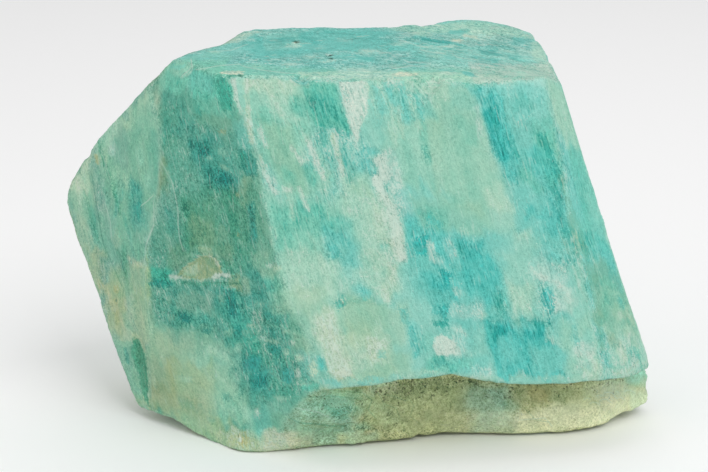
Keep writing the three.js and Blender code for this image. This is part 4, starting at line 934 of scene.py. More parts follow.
c1, c2 = ("s", 1.2), ("g", 1.6)
# green wedge, white wedge
patch(F2, "jade", 0.85, 5, s3, [(304, 78), (335, 78), (351, 129), (334, 134), (314, 126), (303, 108)], run=5)
patch(F2, "teal", 0.45, 5, s6, [(318, 96), (338, 98), (347, 124), (330, 128), (318, 116)])
blob(F2, "deep", 0.5, 3, g2, 313, 104, 3.5, 6)
blob(F2, "teal", 0.45, 4, s3, 299, 108, 6, 8)
loose[0] = 0.35
patch(F2, "white", 0.85, 2.4, c1, [(339, 79), (366, 79), (370, 92), (367, 112), (360, 130), (357, 141), (350, 126), (344, 104)])
loose[0] = 1.0
patch(F2, "mist", 0.6, 6, m4, [(366, 84), (392, 88), (388, 150), (370, 160), (362, 130)])
stroke(F2, "pale", 0.5, 2.5, s3, [(368, 86), (374, 104), (378, 124)])
blob(F2, "turq", 0.45, 4, s3, 347, 96, 3, 5)
# blue streaks and pale gores left of the middle
stroke(F2, "turq", 0.55, 5, s6, [(388, 82), (396, 104), (404, 122)])
stroke(F2, "turq", 0.5, 4, s6, [(399, 80), (408, 100), (414, 118)])
stroke(F2, "turq", 0.45, 3, s3, [(414, 96), (424, 120)])
stroke(F2, "pale", 0.6, 3, s3, [(407, 84), (414, 110), (420, 128)])
patch(F2, "pale", 0.6, 5, g4, [(412, 82), (446, 81), (452, 104), (430, 108)])
stroke(F2, "pale", 0.55, 3.2, s3, [(378, 84), (392, 112), (398, 150)])
stroke(F2, "cream", 0.35, 3.5, s3, [(398, 110), (404, 140)])
stroke(F2, "jade", 0.45, 4, s6, [(424, 128), (428, 160)])
blob(F2, "teal", 0.45, 3, g2, 426, 150, 3, 7)
stroke(F2, "turq", 0.4, 4, s6, [(425, 178), (436, 205), (440, 222)])
stroke(F2, "jade", 0.40, 7, s6, [(462, 118), (468, 138)])
blob(F2, "jade", 0.35, 8, g4, 452, 205, 12, 10)
# streaks down the left part

stroke(F2, "pale", 0.6, 3.0, s3, [(276, 88), (280, 108), (288, 128)])
stroke(F2, "pale", 0.5, 3.0, s3, [(296, 120), (306, 140)])
FE = "prismFront prismLeft"
loose[0] = 0.25
c1, c2 = ("s", 1.2), ("g", 1.6)
stroke(FE, "white", 0.85, 2.2, c1, [(233, 80), (235, 90), (236, 100)], 1.6)
stroke(FE, "white", 0.70, 1.4, c1, [(236, 100), (239, 107), (241, 113)], 1.4)
stroke(FE, "cream", 0.50, 3.0, c1, [(247, 82), (247, 96), (249, 110)], 2.5)
stroke(FE, "cream", 0.80, 2.6, c1, [(248, 108), (249, 124), (251, 136), (252, 142)], 1.6)
stroke(FE, "white", 0.75, 2.4, c1, [(260, 128), (263, 138), (266, 147)], 1.6)
stroke(FE, "pale", 0.55, 1.4, c1, [(258, 112), (260, 128)], 1.6)
stroke(FE, "cream", 0.70, 1.3, c1, [(260, 156), (263, 166), (266, 178)], 1.4)
stroke(FE, "white", 0.75, 2.0, c2, [(267, 178), (271, 185), (276, 192)], 1.6)
stroke(FE, "ice", 0.70, 1.6, c2, [(273, 177), (276, 185)], 1.6)
stroke(FE, "white", 0.75, 2.4, c2, [(283, 188), (289, 190)], 1.6)
stroke(FE, "pale", 0.70, 1.6, c2, [(288, 194), (291, 206), (292, 218)], 1.4)
stroke(F2, "white", 0.75, 2.4, c2, [(292, 148), (297, 156), (302, 162)], 1.8)
stroke(F2, "pale", 0.60, 1.6, c2, [(281, 112), (284, 124)], 2.0)
stroke(F2, "pale", 0.55, 2.4, c2, [(276, 90), (278, 104), (281, 116)], 2.4)
stroke(F2, "white", 0.75, 3.0, c2, [(309, 142), (315, 156), (320, 168), (324, 177)], 2.2)
stroke(F2, "cream", 0.75, 2.6, c2, [(333, 136), (336, 148), (340, 160), (342, 170)], 2.2)
stroke(F2, "white", 0.65, 2.0, c2, [(299, 188), (304, 198), (308, 210)], 1.8)
stroke(F2, "ice", 0.50, 1.6, c2, [(325, 150), (330, 168)], 1.6)
stroke(F2, "ice", 0.50, 1.4, c2, [(301, 128), (306, 140)], 1.6)
loose[0] = 1.0
stroke(F2, "pale", 0.4, 3.0, s3, [(318, 150), (330, 178)])
stroke(F2, "teal", 0.50, 4.0, s6, [(344, 150), (352, 176)])
stroke(F2, "teal", 0.4, 3.0, s6, [(322, 132), (330, 160)])
blob(F2, "teal", 0.5, 4, s6, 288, 172, 6, 9)
blob(F2, "teal", 0.4, 4, s6, 310, 208, 18, 7)
blob(F2, "teal", 0.35, 4, s6, 305, 172, 5, 12)
# crumbly white band that crosses the middle
stroke(F2, "white", 0.7, 6.0, m4, [(380, 160), (384, 176)], 4)
stroke(F2, "white", 0.85, 4.6, m4, [(374, 176), (386, 196), (393, 216), (397, 236), (402, 256)], 4)
stroke(F2, "ice", 0.5, 7, m4, [(392, 160), (397, 196), (404, 214)], 6)
stroke(F2, "deep", 0.30, 2.2, g2, [(366, 168), (372, 172)])
stroke(F2, "turq", 0.55, 3.4, s3, [(362, 150), (372, 172)])
stroke(F2, "cream", 0.45, 6, s6, [(396, 240), (392, 270), (388, 292)])
stroke(F2, "turq", 0.35, 4, s6, [(386, 250), (394, 262)])
# blue middle
patch(F2, "turq", 0.65, 8, m4, [(404, 222), (436, 214), (452, 236), (450, 262), (424, 268), (408, 254)])
loose[0] = 0.25
patch(F2, "cyan", 0.85, 2.6, c2, [(412, 237), (428, 235), (430, 248), (426, 256), (415, 254)])
loose[0] = 1.0
stroke(F2, "teal", 0.45, 3.4, g4, [(422, 213), (438, 222)])
patch(F2, "cyan", 0.65, 4.5, m4, [(460, 240), (480, 242), (484, 262), (466, 266)], run=5)
patch(F2, "turq", 0.75, 8, m4, [(450, 240), (505, 262), (506, 292), (470, 300)])
loose[0] = 0.25
patch(F2, "cyan", 0.9, 2.4, c2, [(441, 270), (451, 271), (452, 282), (447, 289), (443, 282)])
loose[0] = 1.0
patch(F2, "turq", 0.8, 7, m4, [(420, 268), (454, 280), (458, 302), (432, 304)])
patch(F2, "cyan", 0.45, 5, s6, [(430, 280), (446, 284), (450, 298), (436, 298)])
stroke(F2, "cyan", 0.55, 3.2, m4, [(438, 304), (444, 314)])
loose[0] = 0.25
patch(F2, "teal", 0.85, 2.0, c2, [(434, 318), (449, 319), (449, 326), (436, 326)])
patch(F2, "cyan", 0.6, 2.4, c2, [(440, 303), (450, 302), (448, 314), (440, 315)])
loose[0] = 1.0
blob(F2, "white", 0.5, 3, m4, 432, 252, 4, 8)
blob(F2, "ice", 0.5, 5, m4, 452, 250, 6, 10)
blob(F2, "ice", 0.5, 3, m4, 455, 290, 4, 6)
blob(F2, "white", 0.45, 4, m4, 438, 262, 5, 4)
# pale and green patch right of the middle, bright blue streak
patch(F2, "turq", 0.75, 5, s3, [(461, 82), (502, 83), (506, 112), (516, 150), (524, 182), (506, 176), (494, 150), (484, 116), (478, 96)], run=8)
stroke(F2, "cyan", 0.85, 6.5, s3, [(486, 92), (491, 112), (497, 134), (505, 154)], 4)
stroke(F2, "teal", 0.45, 1.8, s3, [(491, 108), (497, 128)])
stroke(F2, "teal", 0.60, 2.2, s3, [(501, 136), (507, 150)])
stroke(F2, "teal", 0.60, 2.0, s3, [(510, 138), (516, 156)])
stroke(F2, "jade", 0.5, 3, g4, [(463, 84), (478, 88)])
stroke(F2, "ice", 0.55, 3.4, g4, [(477, 108), (479, 132)])
patch(F2, "pale", 0.55, 5, g4, [(478, 180), (500, 182), (512, 200), (512, 228), (490, 212)])
stroke(F2, "pale", 0.5, 7, m4, [(492, 196), (496, 216)])
stroke(F2, "turq", 0.55, 5, s6, [(514, 92), (532, 96)])
stroke(F2, "jade", 0.50, 5, s6, [(520, 172), (540, 186)])
patch(F2, "jade", 0.8, 8, s6, [(532, 122), (556, 118), (566, 150), (572, 184), (548, 186), (538, 160)])
stroke(F2, "teal", 0.6, 2.6, s3, [(542, 138), (548, 156)])
stroke(F2, "teal", 0.65, 3.0, s3, [(548, 152), (558, 178)])
patch(F2, "turq", 0.65, 4.5, g4, [(524, 204), (538, 204), (540, 218), (526, 218)])
patch(F2, "turq", 0.40, 7, g4, [(536, 196), (566, 196), (574, 232), (540, 232)])
stroke(F2, "teal", 0.45, 3.5, s6, [(556, 194), (568, 232)])
stroke(F2, "teal", 0.35, 1.2, g2, [(538, 245), (556, 244), (576, 242)])
blob(F2, "turq", 0.5, 5, m4, 554, 252, 5, 8)
patch(F2, "turq", 0.7, 7, m4, [(480, 268), (508, 266), (509, 320), (488, 320)])
patch(F2, "teal", 0.55, 5, s6, [(492, 294), (506, 296), (508, 318), (496, 318)], run=4)
loose[0] = 0.4
patch(F2, "cyan", 0.80, 2.6, g2, [(542, 290), (550, 288), (556, 298), (555, 310), (550, 314), (544, 306)])
stroke(F2, "cyan", 0.8, 2.0, g2, [(549, 312), (549, 322)], 2.0)
loose[0] = 1.0
stroke(F2, "ice", 0.6, 4.0, g4, [(531, 262), (538, 276), (552, 284)])
blob(F2, "ice", 0.6, 6, g4, 558, 276, 12, 12)
blob(F2, "white", 0.40, 6, g4, 560, 284, 8, 10)
patch(F2, "foam", 0.55, 5, g4, [(530, 258), (544, 262), (572, 284), (580, 298), (570, 312), (554, 314), (556, 296), (542, 280)])
stroke(F2, "white", 0.55, 2.0, ("g", 2.4), [(530, 264), (538, 276), (548, 281)], 2.4)
stroke(F2, "white", 0.50, 2.4, ("g", 3.0), [(556, 284), (566, 290), (570, 300)], 2.6)
stroke(F2, "white", 0.50, 1.2, ("g", 1.6), [(571, 262), (577, 278), (581, 294)], 2.0)
blob(F2, "ice", 0.5, 5, g4, 556, 306, 7, 8)
blob(F2, "ice", 0.55, 6, g4, 478, 310, 9, 10)
blob(F2, "ice", 0.45, 6, g4, 458, 308, 10, 8)
blob(F2, "cream", 0.4, 5, g4, 484, 316, 5, 6)
# blue block low on the right
patch(F2, "turq", 0.95, 4.5, g2, [(484, 321), (545, 323), (549, 345), (566, 350), (566, 382), (500, 382), (492, 356), (485, 338)])
patch(F2, "cyan", 0.75, 5, g4, [(487, 323), (514, 326), (516, 346), (492, 346)])
patch(F2, "teal", 0.40, 4, s6, [(488, 328), (504, 328), (508, 344), (492, 346)])
patch(F2, "cyan", 0.65, 5, g4, [(524, 323), (546, 326), (546, 340), (528, 340)])
patch(F2, "aqua", 0.55, 7, m4, [(498, 346), (520, 350), (524, 372), (504, 376)])
patch(F2, "cyan", 0.35, 6, m4, [(530, 352), (562, 354), (564, 378), (534, 376)])
stroke(F2, "teal", 0.5, 1.4, g2, [(482, 320), (512, 321), (545, 323)])
stroke(F2, "mist", 0.5, 2.5, g2, [(487, 346), (494, 366), (498, 380)])
patch(F2, "ice", 0.5, 6, g4, [(472, 362), (492, 364), (496, 380), (470, 378)])
stroke(F2, "turq", 0.45, 3.5, m4, [(573, 326), (576, 340)])
blob(F2, "white", 0.5, 6, g4, 586, 350, 12, 8)
blob(F2, "cream", 0.5, 5, g4, 602, 366, 7, 8)
blob(F2, "ice", 0.5, 5, g4, 584, 366, 8, 4)
blob(F2, "turq", 0.4, 4, g4, 585, 371, 8, 3)
# foot of the face, white spot
patch(F2, "turq", 0.55, 5, s6, [(408, 322), (418, 324), (422, 352), (412, 354)], run=5)
loose[0] = 0.2
patch(F2, "white", 0.92, 2.4, ("g", 2.4), [(435, 337), (442, 334), (450, 337), (455, 343), (453, 350), (446, 355), (438, 355), (433, 347)])
blob(F2, "white", 0.45, 2.6, ("g", 2.4), 456, 350, 4, 4, 0)
blob(F2, "ice", 0.60, 6, g4, 459, 342, 9, 14, 0)
loose[0] = 1.0
blob(F2, "ice", 0.4, 7, g4, 452, 326, 8, 8, 0)
patch(F2, "jade", 0.6, 4, g4, [(424, 357), (458, 357), (460, 370), (440, 374), (420, 370)])
patch(F2, "teal", 0.45, 4, g4, [(432, 359), (454, 359), (454, 366), (436, 368)])
stroke(F2, "pale", 0.55, 2.2, g2, [(420, 371), (432, 370)])
blob(F2, "cream", 0.65, 5, g4, 376, 345, 8, 7, 0)
blob(F2, "cream", 0.5, 5, g4, 372, 356, 6, 5, 0)
blob(F2, "white", 0.4, 4, g4, 380, 344, 4, 3, 0)
blob(F2, "cream", 0.75, 3.5, g4, 344, 374, 8, 4.5, 0)
blob(F2, "white", 0.5, 3, g4, 349, 376, 4, 3, 0)
blob(F2, "teal", 0.40, 4, g4, 340, 302, 5, 5)
blob(F2, "turq", 0.4, 5, g4, 364, 292, 6, 5)
stroke(F2, "jade", 0.35, 1.4, g2, [(334, 305), (360, 302), (392, 303)])
patch(F2, "jade", 0.45, 8, m4, [(300, 350), (324, 358), (332, 380), (322, 388), (308, 372)])
stroke(F2, "aqua", 0.6, 2.4, g4, [(322, 383), (345, 384), (372, 381), (402, 375)])
# a pale line along the lip of the ledge: painted highlight on its rim
stroke(F2, "pale", 0.45, 2.0, g4, [(480, 377), (520, 380), (560, 380), (600, 376)])

# ---- bevel on the right
patch(FB, "mint", 0.75, 6, s6, [(545, 75), (562, 80), (584, 150), (576, 152), (560, 130), (550, 100)])
patch(FB, "jade", 0.5, 7, s6, [(572, 150), (584, 150), (612, 240), (600, 250), (584, 230)])
patch(FB, "turq", 0.45, 6, s6, [(590, 222), (606, 226), (616, 262), (604, 268)])
patch(FB, "teal", 0.40, 4, s6, [(578, 232), (592, 232), (600, 262), (586, 262)])
patch(FB, "fern", 0.60, 8, s6, [(584, 262), (618, 262), (642, 330), (606, 334)])
patch(FB, "jade", 0.45, 5, s3, [(600, 282), (622, 280), (630, 306), (604, 318)])
patch(FB, "pale", 0.65, 7, m4, [(604, 328), (640, 326), (648, 368), (614, 378)])
stroke(FB, "cream", 0.5, 2.5, s3, [(626, 304), (632, 322)])
stroke(FB, "turq", 0.5, 2.0, s3, [(609, 262), (615, 276)])
stroke(FB, "turq", 0.5, 2.0, s3, [(621, 296), (624, 306)])
stroke(FB, "jade", 0.5, 3.0, s3, [(636, 348), (640, 362)])
stroke(FB, "glen", 0.35, 3.0, m4, [(606, 352), (612, 366)])
stroke(FB, "white", 0.5, 2.0, g4, [(630, 352), (634, 366)])
blob(FB, "cream", 0.5, 4, g4, 622, 352, 5, 9)
blob(FB, "teal", 0.55, 2.6, ("g", 2.4), 634, 356, 6, 10)
blob(FB, "jade", 0.6, 2.6, ("g", 2.4), 642, 366, 4, 6)
blob(FB, "white", 0.45, 2.4, ("g", 2.4), 637, 362, 4, 6)
stroke(FB, "bone", 0.5, 1.0, ("g", 1.4), [(612, 370), (628, 366), (646, 360)], 1.8)
stroke("prismBevel prismFront", "fern", 0.50, 3.2, s6, [(560, 180), (580, 240), (594, 300), (604, 350)])
for k in range(9):
    stroke("prismBevel prismFront", ("leaf", "pale", "jade")[k % 3], 0.40, 0.9, ("s", 1.6), [(562 + 3.6 * k, 232 + 5 * (k % 4)), (572 + 3.6 * k, 262 + 7 * (k % 3)), (579 + 3.6 * k, 292 + 9 * (k % 2))], 2.0)
for u, v, ru, rv, ink in [(606, 300, 5, 9, "jade"), (618, 312, 5, 7, "sage"), (598, 316, 6, 8, "moss"), (626, 330, 6, 6, "pale"), (612, 338, 7, 6, "grey"),
                          (600, 346, 6, 6, "mint"), (634, 342, 4, 6, "fern"), (596, 280, 6, 7, "fern"), (612, 286, 4, 8, "glen"), (628, 316, 4, 6, "fern")]:
    blob(FB, ink, 0.5, 3.6, g4, u, v, ru, rv)
    blob(FB, "white" if ink in ("pale", "sage", "mint") else "teal", 0.30, 2.0, ("g", 2.6), u + 3, v + 4, ru * 0.6, rv * 0.5)
stroke("prismBevel prismFront", "pale", 0.30, 2.4, s3, [(574, 240), (584, 280)])


# ---- left prism face: the border with the broad front is a colour border, soft, drawn by the mint beside it
LM = "prismLeft"
for c_, d_, f_, pts in [
        (0.30, 0.34, 12, [(150, 66), (228, 78), (262, 180), (285, 262), (318, 388), (262, 402), (225, 345), (150, 325), (148, 200)]),
        (0.16, 0.14, 14, [(150, 330), (232, 336), (246, 400), (284, 410), (284, 452), (210, 450), (146, 412)]),
        (0.44, 0.36, 8, [(246, 300), (300, 318), (322, 388), (290, 392), (262, 350)])]:
    grainy(LM, c_, d_, f_, pts)
patch(LM, "fern", 0.85, 7, m4, [(160, 62), (236, 72), (240, 92), (166, 92)])
patch(LM, "jade", 0.45, 7, m4, [(196, 68), (236, 74), (240, 92), (200, 92)])
patch(LM, "lagoon", 0.60, 9, m4, [(156, 90), (240, 92), (246, 124), (158, 128)])
patch(LM, "mint", 0.55, 4, m4, [(168, 60), (192, 62), (186, 76), (170, 80)])
blob(LM, "turq", 0.55, 3, g2, 178, 65, 7, 3.2, 0)
blob(LM, "grey", 0.5, 4, g2, 156, 92, 6, 12, 0)
patch(LM, "grey", 0.40, 6, m4, [(146, 90), (158, 82), (164, 128), (154, 144), (148, 120)])
patch(LM, "fern", 0.55, 8, m4, [(186, 96), (236, 98), (246, 128), (214, 136), (190, 122)])
patch(LM, "aqua", 0.45, 6, m4, [(234, 118), (252, 124), (260, 150), (240, 150)])
patch(LM, "emerald", 0.65, 3.0, s3, [(214, 73), (233, 75), (235, 96), (228, 113), (218, 100)])
blob(LM, "deep", 0.7, 2.4, g2, 223, 77, 5, 3.4, 0)
blob(LM, "emerald", 0.7, 3, g2, 239, 76, 4, 3, 0)
blob(LM, "mint", 0.5, 3, g2, 226, 112, 5, 4, 0)
patch(LM, "pool", 0.60, 6, m4, [(154, 122), (196, 122), (198, 138), (156, 138)])
patch(LM, "lagoon", 0.5, 9, m4, [(156, 136), (238, 134), (250, 190), (200, 200), (158, 170)])
patch(LM, "olive", 0.38, 7, g4, [(150, 150), (165, 150), (166, 196), (150, 198)])
patch(LM, "tan", 0.28, 6, g4, [(152, 160), (164, 158), (164, 190), (152, 192)])
patch(LM, "moss", 0.55, 8, g4, [(186, 204), (218, 206), (222, 252), (188, 254)])
patch(LM, "tan", 0.38, 6, g4, [(190, 218), (214, 218), (213, 250), (192, 250)])
patch(LM, "slate", 0.45, 8, m4, [(156, 196), (180, 190), (182, 252), (150, 258)])
patch(LM, "grey", 0.50, 6, g4, [(214, 238), (234, 236), (234, 258), (216, 258)])
patch(LM, "fern", 0.55, 8, g4, [(232, 176), (262, 178), (268, 240), (240, 246), (230, 214)])
patch(LM, "tan", 0.30, 5, g4, [(234, 176), (247, 176), (247, 200), (236, 200)])
# deep grains, in place
patch(LM, "pool", 0.55, 8, g4, [(188, 138), (214, 134), (238, 158), (242, 192), (214, 198), (194, 172)])
patch(LM, "pool", 0.35, 8, g4, [(158, 96), (196, 94), (200, 120), (164, 124)])
loose[0] = 0.45
patch(LM, "deep", 0.60, 6, g4, [(190, 142), (212, 142), (214, 160), (200, 164), (190, 158)])
blob(LM, "abyss", 0.70, 3, g2, 204, 153.5, 6, 4.6, 0)
patch(LM, "deep", 0.65, 6, g4, [(202, 168), (219, 168), (236, 173), (237, 192), (218, 193), (206, 182)])
blob(LM, "abyss", 0.70, 3, g2, 225, 181, 8, 7, 0)
patch(LM, "deep", 0.60, 3, g2, [(239, 150), (250, 150), (258, 162), (257, 176), (246, 177), (240, 164)])
blob(LM, "emerald", 0.8, 2.4, g2, 243, 157, 4, 5, 0)
blob(LM, "mint", 0.55, 2.4, g2, 222, 152, 3.6, 5, 0)
blob(LM, "mint", 0.45, 2.4, g2, 210, 160, 3, 2, 0)
blob(LM, "sage", 0.45, 2.4, g2, 225, 168, 5, 3, 0)
patch(LM, "leaf", 0.7, 3, g2, [(222, 192), (238, 192), (240, 206), (224, 206)])
patch(LM, "pool", 0.75, 3, s3, [(246, 203), (256, 204), (258, 226), (256, 246), (248, 243), (247, 222)])
patch(LM, "deep", 0.35, 3, s3, [(248, 206), (255, 206), (256, 240), (250, 240)])
patch(LM, "leaf", 0.6, 4, g2, [(227, 206), (237, 206), (240, 240), (230, 240)])
stroke(LM, "leaf", 0.55, 2.4, s3, [(243, 206), (246, 240)])
patch(LM, "pool", 0.55, 4, g2, [(165, 210), (177, 210), (178, 234), (167, 234)])
stroke(LM, "leaf", 0.75, 3.0, s3, [(184, 194), (186, 222), (188, 248)])
stroke(LM, "dark", 0.35, 1.8, s3, [(185, 204), (187, 240)])
blob(LM, "straw", 0.6, 1.4, g2, 222, 130, 2.6, 1.6, 0)
blob(LM, "straw", 0.55, 1.6, g2, 238, 193, 2.6, 3, 0)
blob(LM, "straw", 0.55, 1.6, g2, 238, 235, 2.6, 3, 0)
stroke(LM, "sage", 0.45, 1.2, g2, [(160, 160), (168, 175), (173, 190)])
stroke(LM, "lime", 0.40, 3.0, g4, [(146, 246), (147, 300)])
# middle band
patch(LM, "emerald", 0.75, 4, g4, [(145, 269), (172, 270), (174, 288), (146, 289)])
blob(LM, "deep", 0.7, 2.6, g2, 170, 286, 4.5, 3.2, 0)
blob(LM, "pool", 0.5, 3, g2, 152, 282, 5, 4, 0)
patch(LM, "leaf", 0.6, 3, g2, [(218, 261), (233, 262), (234, 273), (220, 272)])
patch(LM, "tan", 0.42, 3, g2, [(228, 272), (240, 274), (242, 290), (230, 288)])
patch(LM, "grey", 0.55, 4, g2, [(240, 279), (256, 281), (257, 296), (242, 296)])
patch(LM, "grey", 0.55, 5, g4, [(176, 290), (213, 292), (214, 316), (196, 316), (178, 310)])
patch(LM, "lagoon", 0.5, 6, m4, [(186, 286), (222, 286), (222, 292), (190, 294)])
patch(LM, "pool", 0.70, 4, g4, [(246, 262), (266, 262), (273, 300), (252, 300)])
patch(LM, "jade", 0.6, 5, g4, [(262, 272), (280, 274), (288, 300), (270, 302)])
patch(LM, "emerald", 0.45, 4, g2, [(222, 288), (240, 290), (242, 322), (226, 322)])
patch(LM, "deep", 0.75, 3, g2, [(226, 291), (236, 292), (239, 305), (239, 321), (229, 320), (227, 306)])
blob(LM, "abyss", 0.95, 2.6, g2, 234, 310, 5.2, 10, 0)
patch(LM, "pool", 0.6, 3, g2, [(240, 296), (256, 296), (257, 306), (242, 306)])
patch(LM, "leaf", 0.6, 4, g2, [(175, 310), (193, 312), (194, 326), (177, 325)])
blob(LM, "abyss", 0.95, 2.6, g2, 185, 318, 7, 5, 0)
blob(LM, "deep", 0.8, 2.6, g2, 204, 322, 5, 4, 0)
blob(LM, "deep", 0.8, 2.6, g2, 206, 333, 5, 3, 0)
blob(LM, "deep", 0.8, 2.6, g2, 160, 284, 9, 4, 0)
blob(LM, "deep", 0.8, 3, g2, 238, 332, 6, 7, 0)
blob(LM, "pool", 0.65, 2, g2, 207, 316.5, 3, 2.2, 0)
blob(LM, "pool", 0.6, 2, g2, 203.5, 330, 4, 2.6, 0)
patch(LM, "emerald", 0.5, 5, g4, [(228, 322), (250, 322), (252, 345), (232, 345)])
patch(LM, "pool", 0.6, 3, g2, [(262, 310), (290, 311), (288, 322), (263, 320)])
patch(LM, "deep", 0.5, 2.6, g2, [(264, 312), (272, 312), (272, 318), (264, 318)])
patch(LM, "pool", 0.65, 3, g2, [(261, 325), (279, 325), (279, 337), (263, 337)])
patch(LM, "emerald", 0.5, 4, g4, [(242, 338), (262, 341), (260, 356), (246, 354)])
patch(LM, "deep", 0.65, 3, g2, [(266, 344), (281, 345), (282, 360), (270, 360)])
blob(LM, "deep", 0.5, 2.4, g2, 273.5, 351.5, 4.2, 5, 0)
patch(LM, "deep", 0.70, 4, g4, [(240, 358), (250, 353), (262, 356), (264, 368), (258, 375), (243, 371)])
blob(LM, "deep", 0.8, 3, g4, 252, 361.5, 7.5, 5, 0)
patch(LM, "pool", 0.75, 3, g2, [(274, 360), (285, 361), (297, 374), (296, 386), (284, 382), (276, 372)])
patch(LM, "pool", 0.75, 4, g4, [(246, 376), (263, 374), (271, 384), (268, 401), (248, 397)])
blob(LM, "abyss", 0.95, 2.6, g2, 262, 383, 6, 6, 0)
blob(LM, "tide", 0.8, 3, g2, 253, 364, 9, 5, 0)
blob(LM, "tide", 0.7, 3, g2, 288, 374, 6, 9, 0)
patch(LM, "pool", 0.55, 4, g4, [(247, 390), (276, 392), (276, 409), (249, 408)])
# pale crumbs between them
for u, v, ru, rv, ink, a in [
        (269, 264, 3.4, 2.2, "white", .8), (277, 267, 3.4, 3.0, "cream", .5), (252, 327, 5, 2.2, "cream", .5), (264, 340, 4, 2, "ice", .5),
        (272, 342, 5, 1.8, "cream", .6), (286, 330, 5, 2.2, "cream", .5), (292, 342, 4, 3, "white", .5), (300, 358, 4, 3, "cream", .6),
        (314, 370, 5, 8, "cream", .8), (306, 384, 6, 2.2, "pale", .6), (298, 374, 3, 5, "white", .5), (286, 352, 4, 6, "pale", .6),
        (262, 305, 5, 3, "pale", .5), (246, 334, 4, 4, "mint", .5), (230, 332, 6, 4, "sage", .4), (258, 413, 2.4, 4, "white", .7),
        (282, 398, 7, 3, "pale", .5), (238, 348, 5, 4, "mint", .5), (222, 300, 3, 5, "sage", .4), (190, 334, 8, 4, "sage", .4),
        (168, 300, 4, 5, "sage", .4), (170, 318, 4, 4, "grey", .4)]:
    blob(FE, ink, a, 2.4, g2, u, v, ru, rv, 0)
patch(FE, "turq", 0.7, 2.6, g2, [(317, 355), (325, 356), (326, 371), (318, 370)])
patch(FE, "jade", 0.6, 2.6, g2, [(302, 385), (321, 385), (320, 393), (302, 392)])
for pts in [[(250, 325), (262, 328), (276, 324), (290, 330), (300, 326)], [(262, 328), (266, 340), (280, 342), (292, 338)],
            [(280, 342), (284, 352), (296, 356), (306, 366)], [(296, 356), (308, 352), (318, 356)], [(240, 338), (250, 344), (266, 340)],
            [(296, 385), (308, 378), (320, 384)], [(270, 372), (280, 380), (294, 388)]]:
    stroke(FE, "mint", 0.40, 0.7, ("g", 1.6), pts, 1.6)
loose[0] = 1.0
# low part
patch(LM, "sage", 0.75, 9, g4, [(150, 320), (164, 332), (176, 342), (196, 336), (212, 348), (226, 340), (242, 352), (240, 366), (150, 362)])
patch(LM, "mint", 0.50, 9, g4, [(178, 352), (194, 344), (214, 354), (236, 350), (236, 374), (186, 376)])
patch(LM, "grey", 0.80, 9, g4, [(148, 356), (180, 362), (180, 398), (148, 400)])
patch(LM, "lime", 0.55, 8, g4, [(166, 362), (216, 364), (216, 402), (168, 402)])
patch(LM, "straw", 0.30, 8, g4, [(170, 372), (214, 374), (212, 402), (172, 402)])
patch(LM, "khaki", 0.55, 7, g4, [(146, 384), (172, 386), (176, 414), (150, 412)])
patch(LM, "sage", 0.85, 8, g4, [(198, 384), (248, 386), (250, 424), (200, 424)])
patch(LM, "jade", 0.35, 6, g4, [(214, 388), (246, 388), (246, 420), (216, 420)])
patch(LM, "lime", 0.55, 6, g4, [(172, 404), (216, 414), (244, 440), (236, 452), (180, 430)])
patch(LM, "mint", 0.75, 6, g4, [(244, 406), (288, 404), (290, 440), (246, 440)])
patch(LM, "aqua", 0.60, 4, g4, [(254, 414), (277, 413), (278, 436), (256, 436)])
patch(LM, "straw", 0.60, 4, g4, [(228, 440), (290, 444), (288, 454), (232, 454)])
patch(LM, "bone", 0.55, 4, g4, [(266, 434), (298, 434), (296, 449), (268, 449)])
loose[0] = 0.45
patch(LM, "deep", 0.35, 4, g4, [(250, 378), (261, 376), (264, 390), (256, 399)])
blob(LM, "pool", 0.5, 3, g2, 227, 398, 5, 4, 0)
blob(LM, "straw", 0.6, 3, g2, 244, 439, 5, 8, 0)
blob(LM, "cream", 0.5, 2.4, g2, 236, 433, 3, 3, 0)
blob(LM, "cream", 0.6, 3, g2, 283, 440, 11, 5, 0)
blob(LM, "lagoon", 0.4, 3, g2, 200, 350, 6, 4, 0)
blob(LM, "pale", 0.4, 3, g2, 212, 352, 7, 5, 0)
blob(LM, "pale", 0.4, 3, g2, 186, 378, 7, 4, 0)
blob(LM, "moss", 0.45, 3, g2, 188, 404, 6, 5, 0)
blob(LM, "moss", 0.35, 3, g2, 160, 374, 5, 6, 0)
stroke(LM, "white", 0.6, 1.2, g2, [(258, 409), (257, 417)])
loose[0] = 1.0
# the pale front reaches over the edge
patch(LM, "mint", 0.80, 7, m4, [(234, 76), (262, 76), (270, 160), (266, 168), (256, 142), (244, 110)])
patch(LM, "mint", 0.80, 7, m4, [(262, 158), (276, 158), (292, 262), (279, 258), (268, 196)])
patch(LM, "mint", 0.80, 6, m4, [(278, 252), (300, 252), (320, 330), (300, 322), (284, 306), (281, 280)])
patch(LM, "pale", 0.40, 6, m4, [(284, 262), (300, 262), (306, 306), (290, 304)])
patch(LM, "mint", 0.60, 7, m4, [(300, 318), (326, 318), (334, 385), (318, 392), (306, 352)])

# flake scar with a tan face and a crumbly white lower lip, held where its dent is
loose[0] = 0.15
patch(F1, "fern", 0.50, 2.4, ("g", 1.4), [(178, 262), (196, 246), (214, 246), (220, 258), (200, 254), (186, 266)])
patch(F1, "lichen", 0.45, 2.4, ("g", 1.4), [(197, 248), (212, 247), (214, 255), (200, 255)])
patch(F1, "lichen", 0.92, 1.8, ("g", 1.2), [(174, 278), (186, 266), (198, 256), (211, 254), (219, 261), (222, 270), (226, 277), (204, 280)])
patch(F1, "sage", 0.60, 2.2, ("g", 1.2), [(180, 277), (188, 267), (198, 262), (197, 276)])
patch(F1, "straw", 0.20, 2.6, ("g", 1.2), [(196, 264), (206, 260), (212, 268), (204, 274)])
patch(F1, "moss", 0.50, 2.8, ("g", 1.2), [(203, 258), (212, 257), (218, 263), (216, 271), (208, 266)])
patch(F1, "bone", 0.28, 2.8, ("g", 1.4), [(184, 272), (192, 265), (199, 264), (197, 274)])
